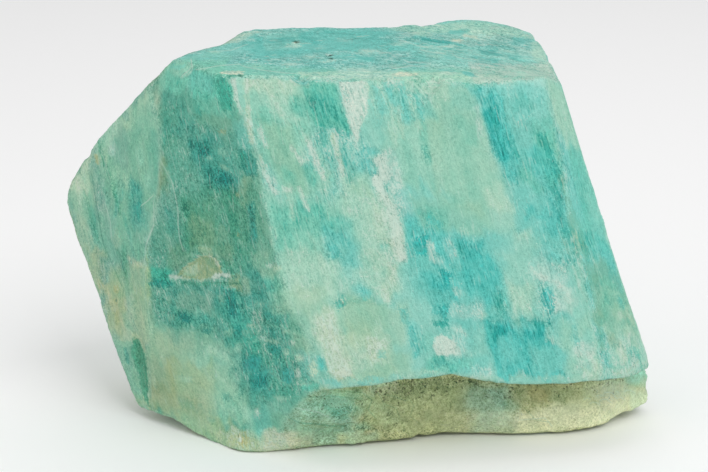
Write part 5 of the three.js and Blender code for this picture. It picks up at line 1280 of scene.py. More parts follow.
stroke(F1, "cream", 0.75, 0.9, ("g", 0.6), [(198, 257), (205, 255), (212, 257), (218, 262)], 1.1)
stroke(F1, "bone", 0.45, 0.8, ("g", 0.8), [(182, 271), (190, 263), (198, 257)], 1.2)
stroke(F1, "white", 0.85, 1.8, ("g", 1.2), [(170, 276), (175, 277.5), (181, 277)], 1.4)
stroke(F1, "cream", 0.55, 0.9, ("g", 0.8), [(181, 278), (200, 281), (212, 279)], 1.2)
stroke(F1, "white", 0.90, 2.2, ("g", 1.4), [(214, 277.5), (221, 275), (228, 276)], 1.4)
stroke(F1, "cream", 0.80, 1.4, ("g", 1.0), [(216, 262), (219, 265)], 1.2)
stroke(F1, "leaf", 0.65, 1.8, ("g", 1.0), [(182, 283), (212, 284), (240, 283)], 1.4)
stroke(F1, "dark", 0.55, 1.2, ("g", 0.8), [(172, 271), (180, 265), (190, 258)], 1.2)
loose[0] = 1.0
for sort, wd, a, pts in [
        ("pale", 0.75, 0.62, [(171, 180), (175, 195), (178, 210), (178, 225), (180, 240), (183, 250)]),
        ("pale", 0.9, 0.80, [(154, 225), (150, 235), (147, 244)]),
        ("pale", 0.8, 0.5, [(153, 195), (154, 210), (154, 222)]),
        ("pale", 0.8, 0.5, [(146, 246), (144, 262)]),
        ("pale", 0.7, 0.35, [(160, 160), (168, 175), (171, 180)]),
        ("pale", 0.6, 0.25, [(166, 128), (170, 150), (176, 172)]), ("pale", 0.6, 0.22, [(196, 120), (202, 140), (208, 156)]),
        ("dark", 0.8, 0.55, [(184, 250), (180, 236), (180, 214)]), ("dark", 0.8, 0.6, [(148, 404), (146, 372), (143, 352), (137, 340)]),
        ("dark", 0.7, 0.5, [(212, 284), (226, 283), (240, 283)]), ("dark", 0.7, 0.5, [(250, 204), (252, 224), (251, 244)]),
        ("dark", 0.8, 0.5, [(229, 292), (232, 304), (235, 320)]), ("dark", 0.7, 0.4, [(160, 286), (172, 288)]),
        ("pale", 0.8, 0.6, [(191, 62), (191, 67), (186, 72), (181, 77)]),
        ("dark", 0.8, 0.4, [(148, 405), (160, 411), (176, 418)])]:
    hair(sort, "prismLeft sideLeft", wd, a, pts)

# ---- far left
grainy(F0, 0.24, 0.28, 12, [(66, 180), (150, 84), (160, 130), (148, 260), (150, 405), (130, 400), (90, 290)])
patch(F0, "fern", 0.85, 9, m4, [(98, 140), (147, 92), (160, 128), (156, 240), (120, 236), (100, 180)])
patch(F0, "grey", 0.65, 5, g4, [(96, 146), (146, 92), (152, 104), (132, 122), (108, 150), (100, 160)])
patch(F0, "sage", 0.55, 6, g4, [(118, 118), (148, 92), (156, 130), (130, 128)])
patch(F0, "slate", 0.60, 7, m4, [(112, 130), (128, 128), (130, 164), (114, 164)])
patch(F0, "grey", 0.85, 6, g4, [(66, 184), (78, 164), (94, 160), (94, 200), (84, 216), (70, 216)])
patch(F0, "cream", 0.45, 5, g4, [(70, 180), (80, 166), (92, 164), (90, 190), (74, 206)])
patch(F0, "fern", 0.75, 7, m4, [(96, 208), (146, 214), (146, 262), (106, 262)])
patch(F0, "slate", 0.55, 7, m4, [(102, 208), (120, 210), (122, 262), (106, 262)])
patch(F0, "fern", 0.60, 6, s3, [(80, 188), (90, 188), (98, 224), (104, 244), (92, 246), (84, 216)])
patch(F0, "pool", 0.38, 5, s3, [(84, 200), (92, 204), (100, 238), (94, 242)])
patch(F0, "grey", 0.70, 5, g4, [(72, 212), (84, 218), (92, 246), (100, 290), (110, 330), (104, 336), (84, 280)])
patch(F0, "straw", 0.35, 5, g4, [(86, 242), (100, 246), (104, 290), (96, 296)])
patch(F0, "lagoon", 0.6, 5, m4, [(148, 130), (160, 132), (158, 190), (150, 190)])
patch(F0, "pool", 0.60, 4, g4, [(112, 178), (126, 178), (126, 212), (114, 212)])
loose[0] = 0.45
patch(F0, "pool", 0.75, 6, g2, [(128, 176), (141, 180), (144, 226), (130, 224)])
blob(F0, "deep", 0.65, 3, g2, 137, 209, 4.4, 9, 0)
blob(F0, "deep", 0.45, 3, g2, 134, 186, 4, 6, 0)
loose[0] = 0.2
stroke(F0, "leaf", 0.75, 1.7, ("s", 1.6), [(98, 142), (103, 158), (108, 172), (113, 188), (118, 205), (120, 215)], 2.0)
stroke(F0, "fern", 0.50, 2.6, ("s", 2.0), [(103, 142), (108, 158), (114, 176), (120, 196)], 3.0)
stroke(F0, "leaf", 0.50, 1.2, ("s", 1.6), [(84, 190), (92, 220), (98, 240)], 2.0)
stroke(F0, "pool", 0.35, 2.0, ("s", 1.2), [(124, 214), (130, 236), (134, 256)], 2.4)
stroke(F0, "straw", 0.75, 1.8, ("g", 1.0), [(96, 156), (98, 164)], 1.4)
stroke(F0, "tan", 0.60, 1.2, ("g", 1.0), [(97, 158), (99, 164)], 1.4)
loose[0] = 0.45
blob(F0, "ice", 0.45, 2.4, g2, 112, 150, 4, 7, 0)
blob(F0, "mint", 0.45, 2.4, g2, 140, 156, 4, 10, 0)
blob(F0, "mint", 0.35, 2.4, g2, 148, 176, 4, 10, 0)
blob(F0, "grey", 0.5, 3, g2, 118, 238, 5, 10, 0)
# low part
patch(F0, "grey", 0.70, 5, g4, [(104, 262), (150, 266), (154, 330), (144, 346), (122, 340), (108, 300)])
patch(F0, "fern", 0.40, 5, g4, [(140, 296), (154, 300), (156, 336), (144, 340)])
patch(F0, "bone", 0.55, 4, g4, [(131, 260), (142, 262), (142, 292), (133, 292)])
patch(F0, "straw", 0.45, 5, g4, [(100, 280), (122, 282), (128, 322), (112, 330)])
patch(F0, "khaki", 0.45, 4, g4, [(108, 306), (126, 308), (128, 334), (114, 334)])
patch(F0, "leaf", 0.50, 3.4, g2, [(117, 248), (127, 250), (128, 276), (119, 276)])
loose[0] = 0.2
blob(F0, "tan", 0.75, 2.0, g2, 116, 289, 3.0, 4.0, 0)
blob(F0, "tan", 0.75, 2.0, g2, 116, 300.5, 3.0, 3.6, 0)
blob(F0, "dark", 0.75, 0.9, ("g", 0.8), 116.5, 291, 1.3, 1.8, 0)
blob(F0, "dark", 0.85, 0.9, ("g", 0.8), 116, 300, 1.6, 1.8, 0)
blob(F0, "tan", 0.5, 3, g2, 117, 316, 3.0, 9.0, 0)
FS = "sideLeft prismLeft"
patch(FS, "fern", 0.60, 3, ("g", 1.2), [(114, 340), (132, 340), (140, 372), (145, 404), (134, 396), (122, 364)])
patch(FS, "leaf", 0.85, 2.0, ("g", 1.0), [(133, 335), (139, 339), (145, 354), (148, 382), (149, 406), (144, 400), (138, 376), (131, 352)])
patch(FS, "dark", 0.40, 2.0, ("g", 1.2), [(136, 344), (141, 350), (145, 366), (147, 392), (143, 386), (138, 362)])
stroke(FS, "deep", 0.65, 2.2, ("g", 1.2), [(125, 348), (128, 362)])
stroke(F0, "bone", 0.45, 1.2, g2, [(130, 330), (134, 338)])
loose[0] = 1.0
for sort, wd, a, pts in [
        ("dark", 0.8, 0.8, [(92, 175), (95, 195), (98, 215), (101, 232), (104, 245), (108, 255)]),
        ("dark", 0.8, 0.7, [(108, 255), (114, 268), (122, 286)]), ("dark", 0.7, 0.6, [(118, 248), (121, 262), (126, 276)]),
        ("dark", 0.7, 0.5, [(128, 260), (134, 276)]), ("pale", 0.8, 0.7, [(153, 195), (147, 201), (141, 206)]),
        ("pale", 0.6, 0.3, [(112, 134), (118, 152), (122, 168)]),
        ("pale", 0.7, 0.5, [(101, 150), (106, 166), (110, 180)]), ("dark", 0.7, 0.5, [(124, 276), (123, 296)]),
        ("pale", 0.7, 0.5, [(104, 200), (110, 220), (112, 240)]), ("dark", 0.7, 0.4, [(146, 300), (150, 330)])]:
    hair(sort, FS, wd, a, pts)

# ---- top face
f1, f2 = ("g", 1.2), ("g", 2.0)
grainy(TP, 0.30, 0.30, 3, [(160, 72), (180, 56), (240, 30), (390, 24), (530, 26), (560, 84), (230, 84)])
patch(TP, "glen", 0.7, 4, f2, [(160, 76), (172, 62), (215, 50), (232, 56), (226, 70), (226, 80)])
patch(TP, "sky", 0.7, 3, f2, [(182, 58), (224, 46), (250, 34), (262, 44), (236, 58), (214, 62)])
patch(TP, "blush", 0.5, 2.2, f1, [(222, 44), (232, 38), (246, 31), (258, 31), (250, 37), (236, 43)])
patch(TP, "sea", 0.75, 4, f2, [(246, 38), (300, 31), (368, 28), (402, 33), (380, 38), (408, 46), (372, 50), (330, 52), (262, 58), (240, 50)])
patch(TP, "tide", 0.30, 3, f1, [(262, 34), (292, 32), (296, 44), (270, 48)])
stroke(TP, "tide", 0.40, 2.0, f1, [(240, 46), (256, 42), (300, 38), (316, 42)])
stroke(TP, "sea", 0.8, 2.2, f1, [(252, 57), (280, 55), (300, 50)])
stroke(TP, "tide", 0.40, 2.0, f1, [(345, 56), (372, 60)])
stroke(TP, "sea", 0.8, 2.4, f1, [(330, 56), (352, 57), (372, 60)])
stroke(TP, "tide", 0.40, 1.6, f1, [(310, 66), (336, 64), (360, 62)])
stroke(TP, "tide", 0.35, 1.6, f1, [(300, 34), (330, 33)])
stroke(TP, "tide", 0.35, 2.0, f1, [(380, 34), (396, 44), (388, 50)])
patch(TP, "pale", 0.60, 3, f2, [(372, 25), (440, 23), (470, 20), (520, 28), (540, 40), (500, 36), (440, 33), (420, 38), (396, 30)])
patch(TP, "aqua", 0.45, 3, f2, [(392, 44), (450, 42), (530, 54), (548, 62), (500, 70), (420, 62)])
stroke(TP, "foam", 0.55, 1.6, f1, [(408, 24), (424, 23), (440, 24)])
patch(TP, "glen", 0.6, 3, f2, [(206, 68), (250, 62), (300, 68), (340, 68), (340, 79), (230, 80)])
patch(TP, "glen", 0.6, 3, f2, [(396, 68), (470, 67), (545, 64), (558, 80), (500, 84), (400, 82)])
patch(TP, "pale", 0.75, 2, f1, [(300, 73), (380, 70), (470, 73), (500, 76), (498, 83), (380, 83), (300, 81)])
patch(TP, "pale", 0.50, 3, f2, [(528, 42), (540, 42), (556, 74), (544, 76), (536, 60)])
stroke(TP, "foam", 0.60, 1.6, f1, [(236, 76), (268, 77), (300, 77), (332, 78)])
patch(TP, "foam", 0.45, 2, f1, [(336, 66), (372, 66), (384, 72), (372, 78), (340, 78)])
for u, v, ru, rv, ink, a in [
        (293, 45, 9, 2.4, "foam", 0.75), (330, 61, 7, 1.6, "foam", 0.8), (289, 65, 9, 2.2, "foam", 0.7),
        (312, 57, 5, 1.2, "foam", 0.7), (275, 55, 4, 1.2, "foam", 0.6), (367, 52, 9, 2.2, "foam", 0.75),
        (233, 73, 11, 2.2, "blush", 0.8), (402, 74.5, 12, 2.2, "blush", 0.8), (360, 70, 12, 2.0, "foam", 0.65),
        (342, 72, 7, 1.6, "foam", 0.6), (400, 44, 10, 2.2, "foam", 0.6), (442, 47, 5, 1.2, "foam", 0.6),
        (452, 46, 6, 1.5, "foam", 0.7), (428, 46, 5, 1.2, "foam", 0.6), (482, 37, 11, 2.8, "foam", 0.8),
        (460, 40, 6, 1.4, "blush", 0.7), (465, 46, 6, 1.3, "foam", 0.5), (396, 66, 7, 1.4, "pale", 0.5),
        (372, 76, 14, 1.8, "foam", 0.6), (336, 76, 9, 1.8, "foam", 0.55), (448, 73, 9, 1.8, "foam", 0.55),
        (470, 78, 14, 1.8, "pale", 0.6), (530, 74, 10, 2.0, "foam", 0.45), (258, 66, 6, 1.4, "pale", 0.5),
        (526, 33, 8, 2.0, "foam", 0.5), (434, 56, 6, 1.4, "pale", 0.5), (216, 52, 8, 1.6, "pale", 0.4),
        (345, 40, 8, 1.6, "ice", 0.35), (318, 48, 6, 1.2, "ice", 0.35), (250, 40, 7, 1.4, "ice", 0.35),
        (420, 62, 7, 1.2, "ice", 0.4), (452, 64, 8, 1.2, "ice", 0.35), (512, 66, 8, 1.4, "ice", 0.4),
        (490, 28, 10, 1.6, "ice", 0.35), (440, 28, 8, 1.4, "foam", 0.35), (410, 34, 8, 1.4, "ice", 0.4)]:
    blob(TP, ink, a, max(1.0, rv * 0.8), f1, u, v, ru, rv, 0)
for pts, w, ink, a in [
        ([(414, 37), (432, 40), (448, 42)], 1.5, "tide", 0.75), ([(420, 44), (440, 44)], 1.0, "tide", 0.5),
        ([(446, 49), (464, 53)], 0.9, "tide", 0.6), ([(474, 56), (500, 61)], 0.9, "tide", 0.6),
        ([(470, 35), (488, 39), (500, 42)], 0.8, "tide", 0.5), ([(478, 49), (494, 52)], 1.5, "tide", 0.8), ([(500, 55), (518, 58)], 0.9, "tide", 0.6),
        ([(486, 46), (500, 49)], 1.0, "tide", 0.7), ([(504, 51), (520, 54)], 0.8, "tide", 0.5), ([(504, 41), (520, 45)], 0.8, "tide", 0.45),
        ([(448, 33), (470, 30)], 1.6, "tide", 0.6), ([(462, 38), (466, 40)], 1.0, "turq", 0.5),
        ([(505, 60), (540, 64)], 1.2, "tide", 0.5), ([(478, 62), (500, 66)], 1.2, "tide", 0.55),
        ([(462, 73), (474, 75)], 1.6, "sea", 0.8), ([(438, 69), (452, 71)], 1.2, "sea", 0.7),
        ([(370, 38), (392, 40)], 1.2, "tide", 0.40), ([(398, 58), (426, 60)], 1.2, "tide", 0.40),
        ([(520, 68), (545, 72)], 1.2, "tide", 0.35), ([(505, 34), (530, 42)], 1.0, "tide", 0.40),
        ([(226, 62), (250, 60)], 1.2, "tide", 0.35), ([(196, 60), (216, 58)], 1.2, "tide", 0.35)]:
    stroke(TP, ink, a, w, ("g", 0.8), pts, max(0.9, w * 0.8))
loose[0] = 0.2
for u, v, ru, rv, a in [(330, 55.5, 2.4, 1.0, 1.0), (331, 58.4, 2.8, 1.1, 1.0), (297, 42, 2.6, 1.1, 0.9), (240, 76, 2.2, 1.4, 0.8),
                        (352, 39, 1.8, 0.7, 0.5), (318, 33, 2.0, 0.7, 0.45), (420, 52, 1.6, 0.7, 0.5), (411, 63, 1.8, 0.7, 0.6)]:
    blob("basal prismFront prismLeft", "ink", a, 0.8, ("g", 0.3), u, v, ru, rv, 0)

stroke("basal prismLeft", "leaf", 0.6, 1.6, ("g", 0.8), [(228, 76), (242, 76)])
# the chipped left corner of the top
patch("basal prismLeft", "mint", 0.55, 2.0, ("g", 0.8), [(172, 66), (182, 62), (191, 66), (191, 71), (184, 76), (174, 76)])
stroke("basal prismLeft", "foam", 0.65, 1.0, ("g", 0.5), [(188, 62), (193, 67), (190, 73), (182, 78)], 1.2)
loose[0] = 1.0

# fine scratches of the top, long ones to the right, short ones to the left
scratch = np.random.RandomState(77)
for k in range(74):
    left = k % 5 > 2
    su, sv = (scratch.uniform(246, 400), scratch.uniform(34, 62)) if left else (scratch.uniform(404, 536), scratch.uniform(34, 72))
    run_, fall = (scratch.uniform(5, 12), scratch.uniform(-0.12, 0.10)) if left else (scratch.uniform(7, 24), scratch.uniform(0.10, 0.26))
    hair("pale" if scratch.rand() < 0.55 else "dark", TP, scratch.uniform(0.40, 0.65), scratch.uniform(0.30, 0.70),
         [(su, sv), (su + 0.5 * run_, sv + 0.5 * fall * run_ + scratch.normal(0, 0.4)), (su + run_, sv + fall * run_)])

# ---- rough wall under the front face: its own tan and olive, darker under the lip as painted shadow of the ledge, paler to the foot as painted light from the floor
drop = W_TRUE - brow + 2.0 * rag_grain
grainy(WL, 0.25, 0.35, 10, [(262, 372), (650, 368), (650, 452), (262, 456)])


# lays an ink over the wall: used for its painted shadow and painted light
def paint_wall_light_and_shade(ink, amount):
    global tint
    a = amount * on(WL)
    tint = tint + a[:, None] * (INK[ink] - tint)


# paler towards the foot: painted light thrown up from the floor
paint_wall_light_and_shade("straw", 0.45 * smooth(22, 44, drop))
patch(WL, "fern", 0.60, 8, g4, [(285, 400), (345, 398), (362, 412), (352, 446), (300, 448), (284, 430)])
patch(WL, "jade", 0.30, 7, g4, [(288, 402), (330, 400), (340, 416), (300, 418)])
patch(WL, "fern", 0.5, 6, g4, [(305, 388), (360, 388), (362, 398), (345, 410), (300, 404)])
patch(WL, "khaki", 0.5, 4, g4, [(318, 387), (362, 387), (362, 398), (330, 398)])
patch(WL, "moss", 0.60, 5, g4, [(280, 414), (300, 418), (345, 424), (345, 434), (300, 432), (282, 426)])
patch(WL, "grey", 0.50, 5, g4, [(262, 432), (300, 434), (350, 434), (350, 444), (262, 456)])
blob(WL, "bone", 0.65, 4, g4, 288, 440, 12, 4, 0)
blob(WL, "straw", 0.5, 5, g4, 262, 448, 10, 4, 0)
patch(WL, "khaki", 0.45, 8, g4, [(362, 386), (402, 380), (462, 378), (470, 405), (464, 425), (400, 430), (364, 430)])
patch(WL, "straw", 0.45, 8, g4, [(400, 408), (468, 406), (472, 434), (402, 438)])
patch(WL, "slate", 0.55, 6, g4, [(330, 398), (350, 402), (358, 420), (345, 430), (330, 420)])
stroke(WL, "dark", 0.65, 2.6, g2, [(334, 414), (341, 412), (350, 409)])
blob(WL, "leaf", 0.7, 4, g4, 340, 414, 12, 7, 0)
stroke(WL, "leaf", 0.45, 3, g4, [(326, 408), (336, 414)])
stroke(WL, "dark", 0.55, 2.4, g2, [(358, 427), (366, 428), (372, 431)])
blob(WL, "leaf", 0.45, 4, g4, 364, 427, 10, 5, 0)
patch(WL, "olive", 0.35, 5, g4, [(346, 392), (368, 386), (388, 392), (372, 404), (350, 406)])
blob(WL, "dark", 0.30, 4, g4, 387, 413, 8, 5, 0)
blob(WL, "olive", 0.5, 4, g4, 410, 392, 12, 5, 0)
blob(WL, "straw", 0.5, 4, g4, 356, 418, 6, 6, 0)
patch(WL, "olive", 0.4, 5, g4, [(436, 384), (470, 384), (466, 398), (440, 400)])
patch(WL, "straw", 0.5, 5, g4, [(414, 412), (460, 412), (462, 428), (420, 430)])
stroke(WL, "khaki", 0.5, 2.0, g2, [(300, 424), (326, 426), (344, 425)])
patch(WL, "moss", 0.40, 6, g4, [(372, 402), (390, 406), (398, 420), (384, 428), (376, 416)])
patch(WL, "slate", 0.55, 13, g4, [(466, 384), (502, 384), (518, 404), (510, 426), (476, 432), (464, 410)])
patch(WL, "slate", 0.30, 6, g4, [(482, 388), (504, 390), (514, 406), (498, 410)])
blob(WL, "leaf", 0.4, 5, g4, 508, 405, 6, 4, 0)
patch(WL, "grey", 0.60, 10, g4, [(470, 414), (512, 410), (518, 436), (472, 436)])
# a darker band under the lip on the right: painted shade of the ledge
patch(WL, "khaki", 0.55, 6, g4, [(512, 386), (600, 386), (640, 378), (640, 390), (560, 402), (514, 400)])
patch(WL, "rust", 0.45, 6, g4, [(526, 386), (548, 388), (546, 402), (530, 402)])
# a paler band low on the right: painted light from the floor
patch(WL, "chalk", 0.68, 7, g4, [(512, 414), (560, 404), (606, 397), (650, 388), (650, 408), (600, 428), (520, 438)])
patch(WL, "grey", 0.5, 6, g4, [(602, 378), (650, 372), (650, 394), (606, 398)])
patch(WL, "chalk", 0.35, 4, g4, [(636, 388), (650, 386), (650, 404), (640, 404)])
patch(WL, "bone", 0.40, 6, g4, [(598, 386), (650, 382), (654, 412), (596, 420)])
patch(WL, "grey", 0.45, 4, g4, [(604, 380), (634, 376), (636, 392), (608, 396)])
patch(WL, "fern", 0.80, 6, g4, [(596, 340), (660, 330), (660, 368), (622, 376), (606, 372)])
patch(WL, "fern", 0.62, 4, g4, [(622, 376), (656, 360), (656, 388), (634, 387)])
patch(WL, "slate", 0.50, 5, g4, [(598, 340), (660, 330), (658, 381), (632, 383), (616, 374)])
patch(WL, "khaki", 0.28, 5, g4, [(580, 381), (622, 377), (622, 394), (582, 398)])
patch(WL, "straw", 0.38, 6, g4, [(626, 382), (654, 380), (654, 408), (628, 410)])
# dark under the lip: painted shadow of the ledge, olive fading down the wall and a darker line right under the lip
paint_wall_light_and_shade("olive", 0.40 * np.exp(-(np.maximum(drop, 0) / 7.0) ** 1.5) * smooth(330, 370, U_TRUE) * smooth(660, 560, U_TRUE))
paint_wall_light_and_shade("ink", 0.40 * np.exp(-(np.maximum(drop, 0) / 2.2) ** 2) * smooth(440, 490, U_TRUE) * smooth(640, 570, U_TRUE))
loose[0] = 0.3
for u, v, s, a in [(603, 392, 11, 0.6), (608, 396, 9, 0.5), (600, 399, 10, 0.5), (612, 391, 8, 0.5), (596, 395, 9, 0.45), (616, 397, 8, 0.4),
                   (624, 390, 10, 0.35), (590, 402, 9, 0.4), (606, 388, 8, 0.35), (584, 398, 8, 0.35)]:
    hair("pale", WL, 0.8, a, [(u, v + 1.6), (u + 0.30 * s, v), (u + 0.7 * s, v + 0.4), (u + s, v + 2.4)])
for u, v, r, a in [(376, 392, 1.5, 0.8), (380.5, 391.5, 1.3, 0.8), (405.5, 387.5, 1.5, 0.8), (410, 388.5, 1.2, 0.6), (408, 394, 1.3, 0.6),
                   (403, 383, 1.1, 0.6), (412, 381.5, 1.1, 0.6), (458, 381, 1.7, 0.85), (447, 394, 1.2, 0.6), (470, 380, 1.2, 0.6),
                   (463, 379.5, 1.0, 0.6), (437, 390, 1.0, 0.5), (421, 391, 1.0, 0.5), (425, 385, 1.0, 0.5), (432, 397, 1.1, 0.6),
                   (475, 384, 1.2, 0.6), (384, 400, 1.2, 0.6), (372, 402, 1.2, 0.6), (378, 406, 1.3, 0.6), (366, 400, 1.1, 0.6),
                   (608, 383.5, 1.4, 0.8), (622, 380, 1.2, 0.6), (559, 396, 1.3, 0.6), (556, 392, 1.1, 0.5), (390, 414, 1.4, 0.5),
                   (396, 425, 1.2, 0.5), (362, 404, 1.2, 0.5), (288, 421, 1.1, 0.5), (334, 421, 1.2, 0.5), (432, 424, 1.0, 0.45)]:
    blob(WL, "ink", a, 0.8, ("g", 0.5), u, v, r, r, 0)
# dark lines along the lower step, the upper step and right under the lip: painted shadow lines
hair("dark", WL, 1.1, 0.7, [(284, 411), (290, 418), (300, 423), (318, 424), (332, 426), (346, 426)])
hair("dark", WL, 0.9, 0.5, [(300, 398), (330, 396), (362, 399)])
hair("dark", WL, 0.8, 0.4, [(322, 391), (345, 391), (364, 393)])
hair("dark", WL, 0.7, 0.6, [(364, 394), (372, 400), (368, 410), (376, 418)])
hair("dark", WL, 0.7, 0.5, [(378, 392), (384, 404), (396, 408), (400, 418)])
hair("dark", WL, 0.7, 0.5, [(352, 398), (356, 408), (352, 418)])
hair("dark", WL, 0.7, 0.4, [(408, 396), (414, 406), (410, 416), (420, 424)])
hair("dark", WL, 0.9, 0.4, [(372, 392), (392, 396), (410, 402)])
hair("pale", WL, 0.9, 0.5, [(296, 408), (318, 412), (330, 418)])
hair("pale", WL, 0.8, 0.4, [(520, 420), (545, 418), (552, 426)])
hair("dark", WL, 0.8, 0.4, [(526, 410), (536, 420), (548, 422)])
loose[0] = 1.0

# thin lines on the top
for k, (sort, a, pts) in enumerate([
        ("pale", 0.9, [(191, 60), (192, 66), (188, 71), (181, 77)]), ("pale", 0.6, [(196, 70), (216, 66), (240, 64)]),
        ("pale", 0.6, [(242, 66), (262, 70), (286, 73), (312, 75)]), ("pale", 0.5, [(300, 76), (330, 77), (352, 78)]),
        ("dark", 0.4, [(416, 38), (436, 42), (452, 44)]), ("dark", 0.35, [(426, 41), (446, 45), (462, 48)]),
        ("dark", 0.35, [(446, 52), (462, 55), (480, 59)]), ("dark", 0.35, [(488, 44), (506, 48), (520, 52)]), ("dark", 0.3, [(464, 41), (478, 44)]),
        ("pale", 0.4, [(430, 38), (452, 41), (470, 45)]), ("pale", 0.4, [(470, 47), (488, 51), (508, 56)]), ("pale", 0.35, [(488, 38), (506, 43), (524, 48)]),
        ("pale", 0.35, [(452, 54), (474, 59), (492, 63)]), ("dark", 0.3, [(432, 47), (448, 50)]), ("dark", 0.3, [(494, 58), (512, 62)]),
        ("dark", 0.4, [(476, 51), (492, 54), (508, 57)]), ("dark", 0.3, [(486, 62), (508, 65), (526, 68)]),
        ("dark", 0.5, [(494, 34), (512, 39), (530, 45)]), ("pale", 0.6, [(400, 40), (416, 45), (436, 50), (452, 51)]),
        ("pale", 0.5, [(452, 58), (478, 63), (500, 68)]), ("pale", 0.5, [(500, 44), (520, 48), (534, 53)]),
        ("pale", 0.6, [(386, 70), (408, 66), (430, 66)]), ("dark", 0.5, [(366, 74), (388, 68), (404, 66)]),
        ("dark", 0.5, [(404, 70), (420, 78)]), ("dark", 0.4, [(330, 33), (352, 34)]), ("dark", 0.5, [(262, 46), (284, 44)]),
        ("dark", 0.4, [(236, 57), (262, 54)]), ("pale", 0.5, [(210, 52), (232, 50), (248, 44)])]):
    hair(sort, "basal prismFront prismLeft", 0.7, a, pts)

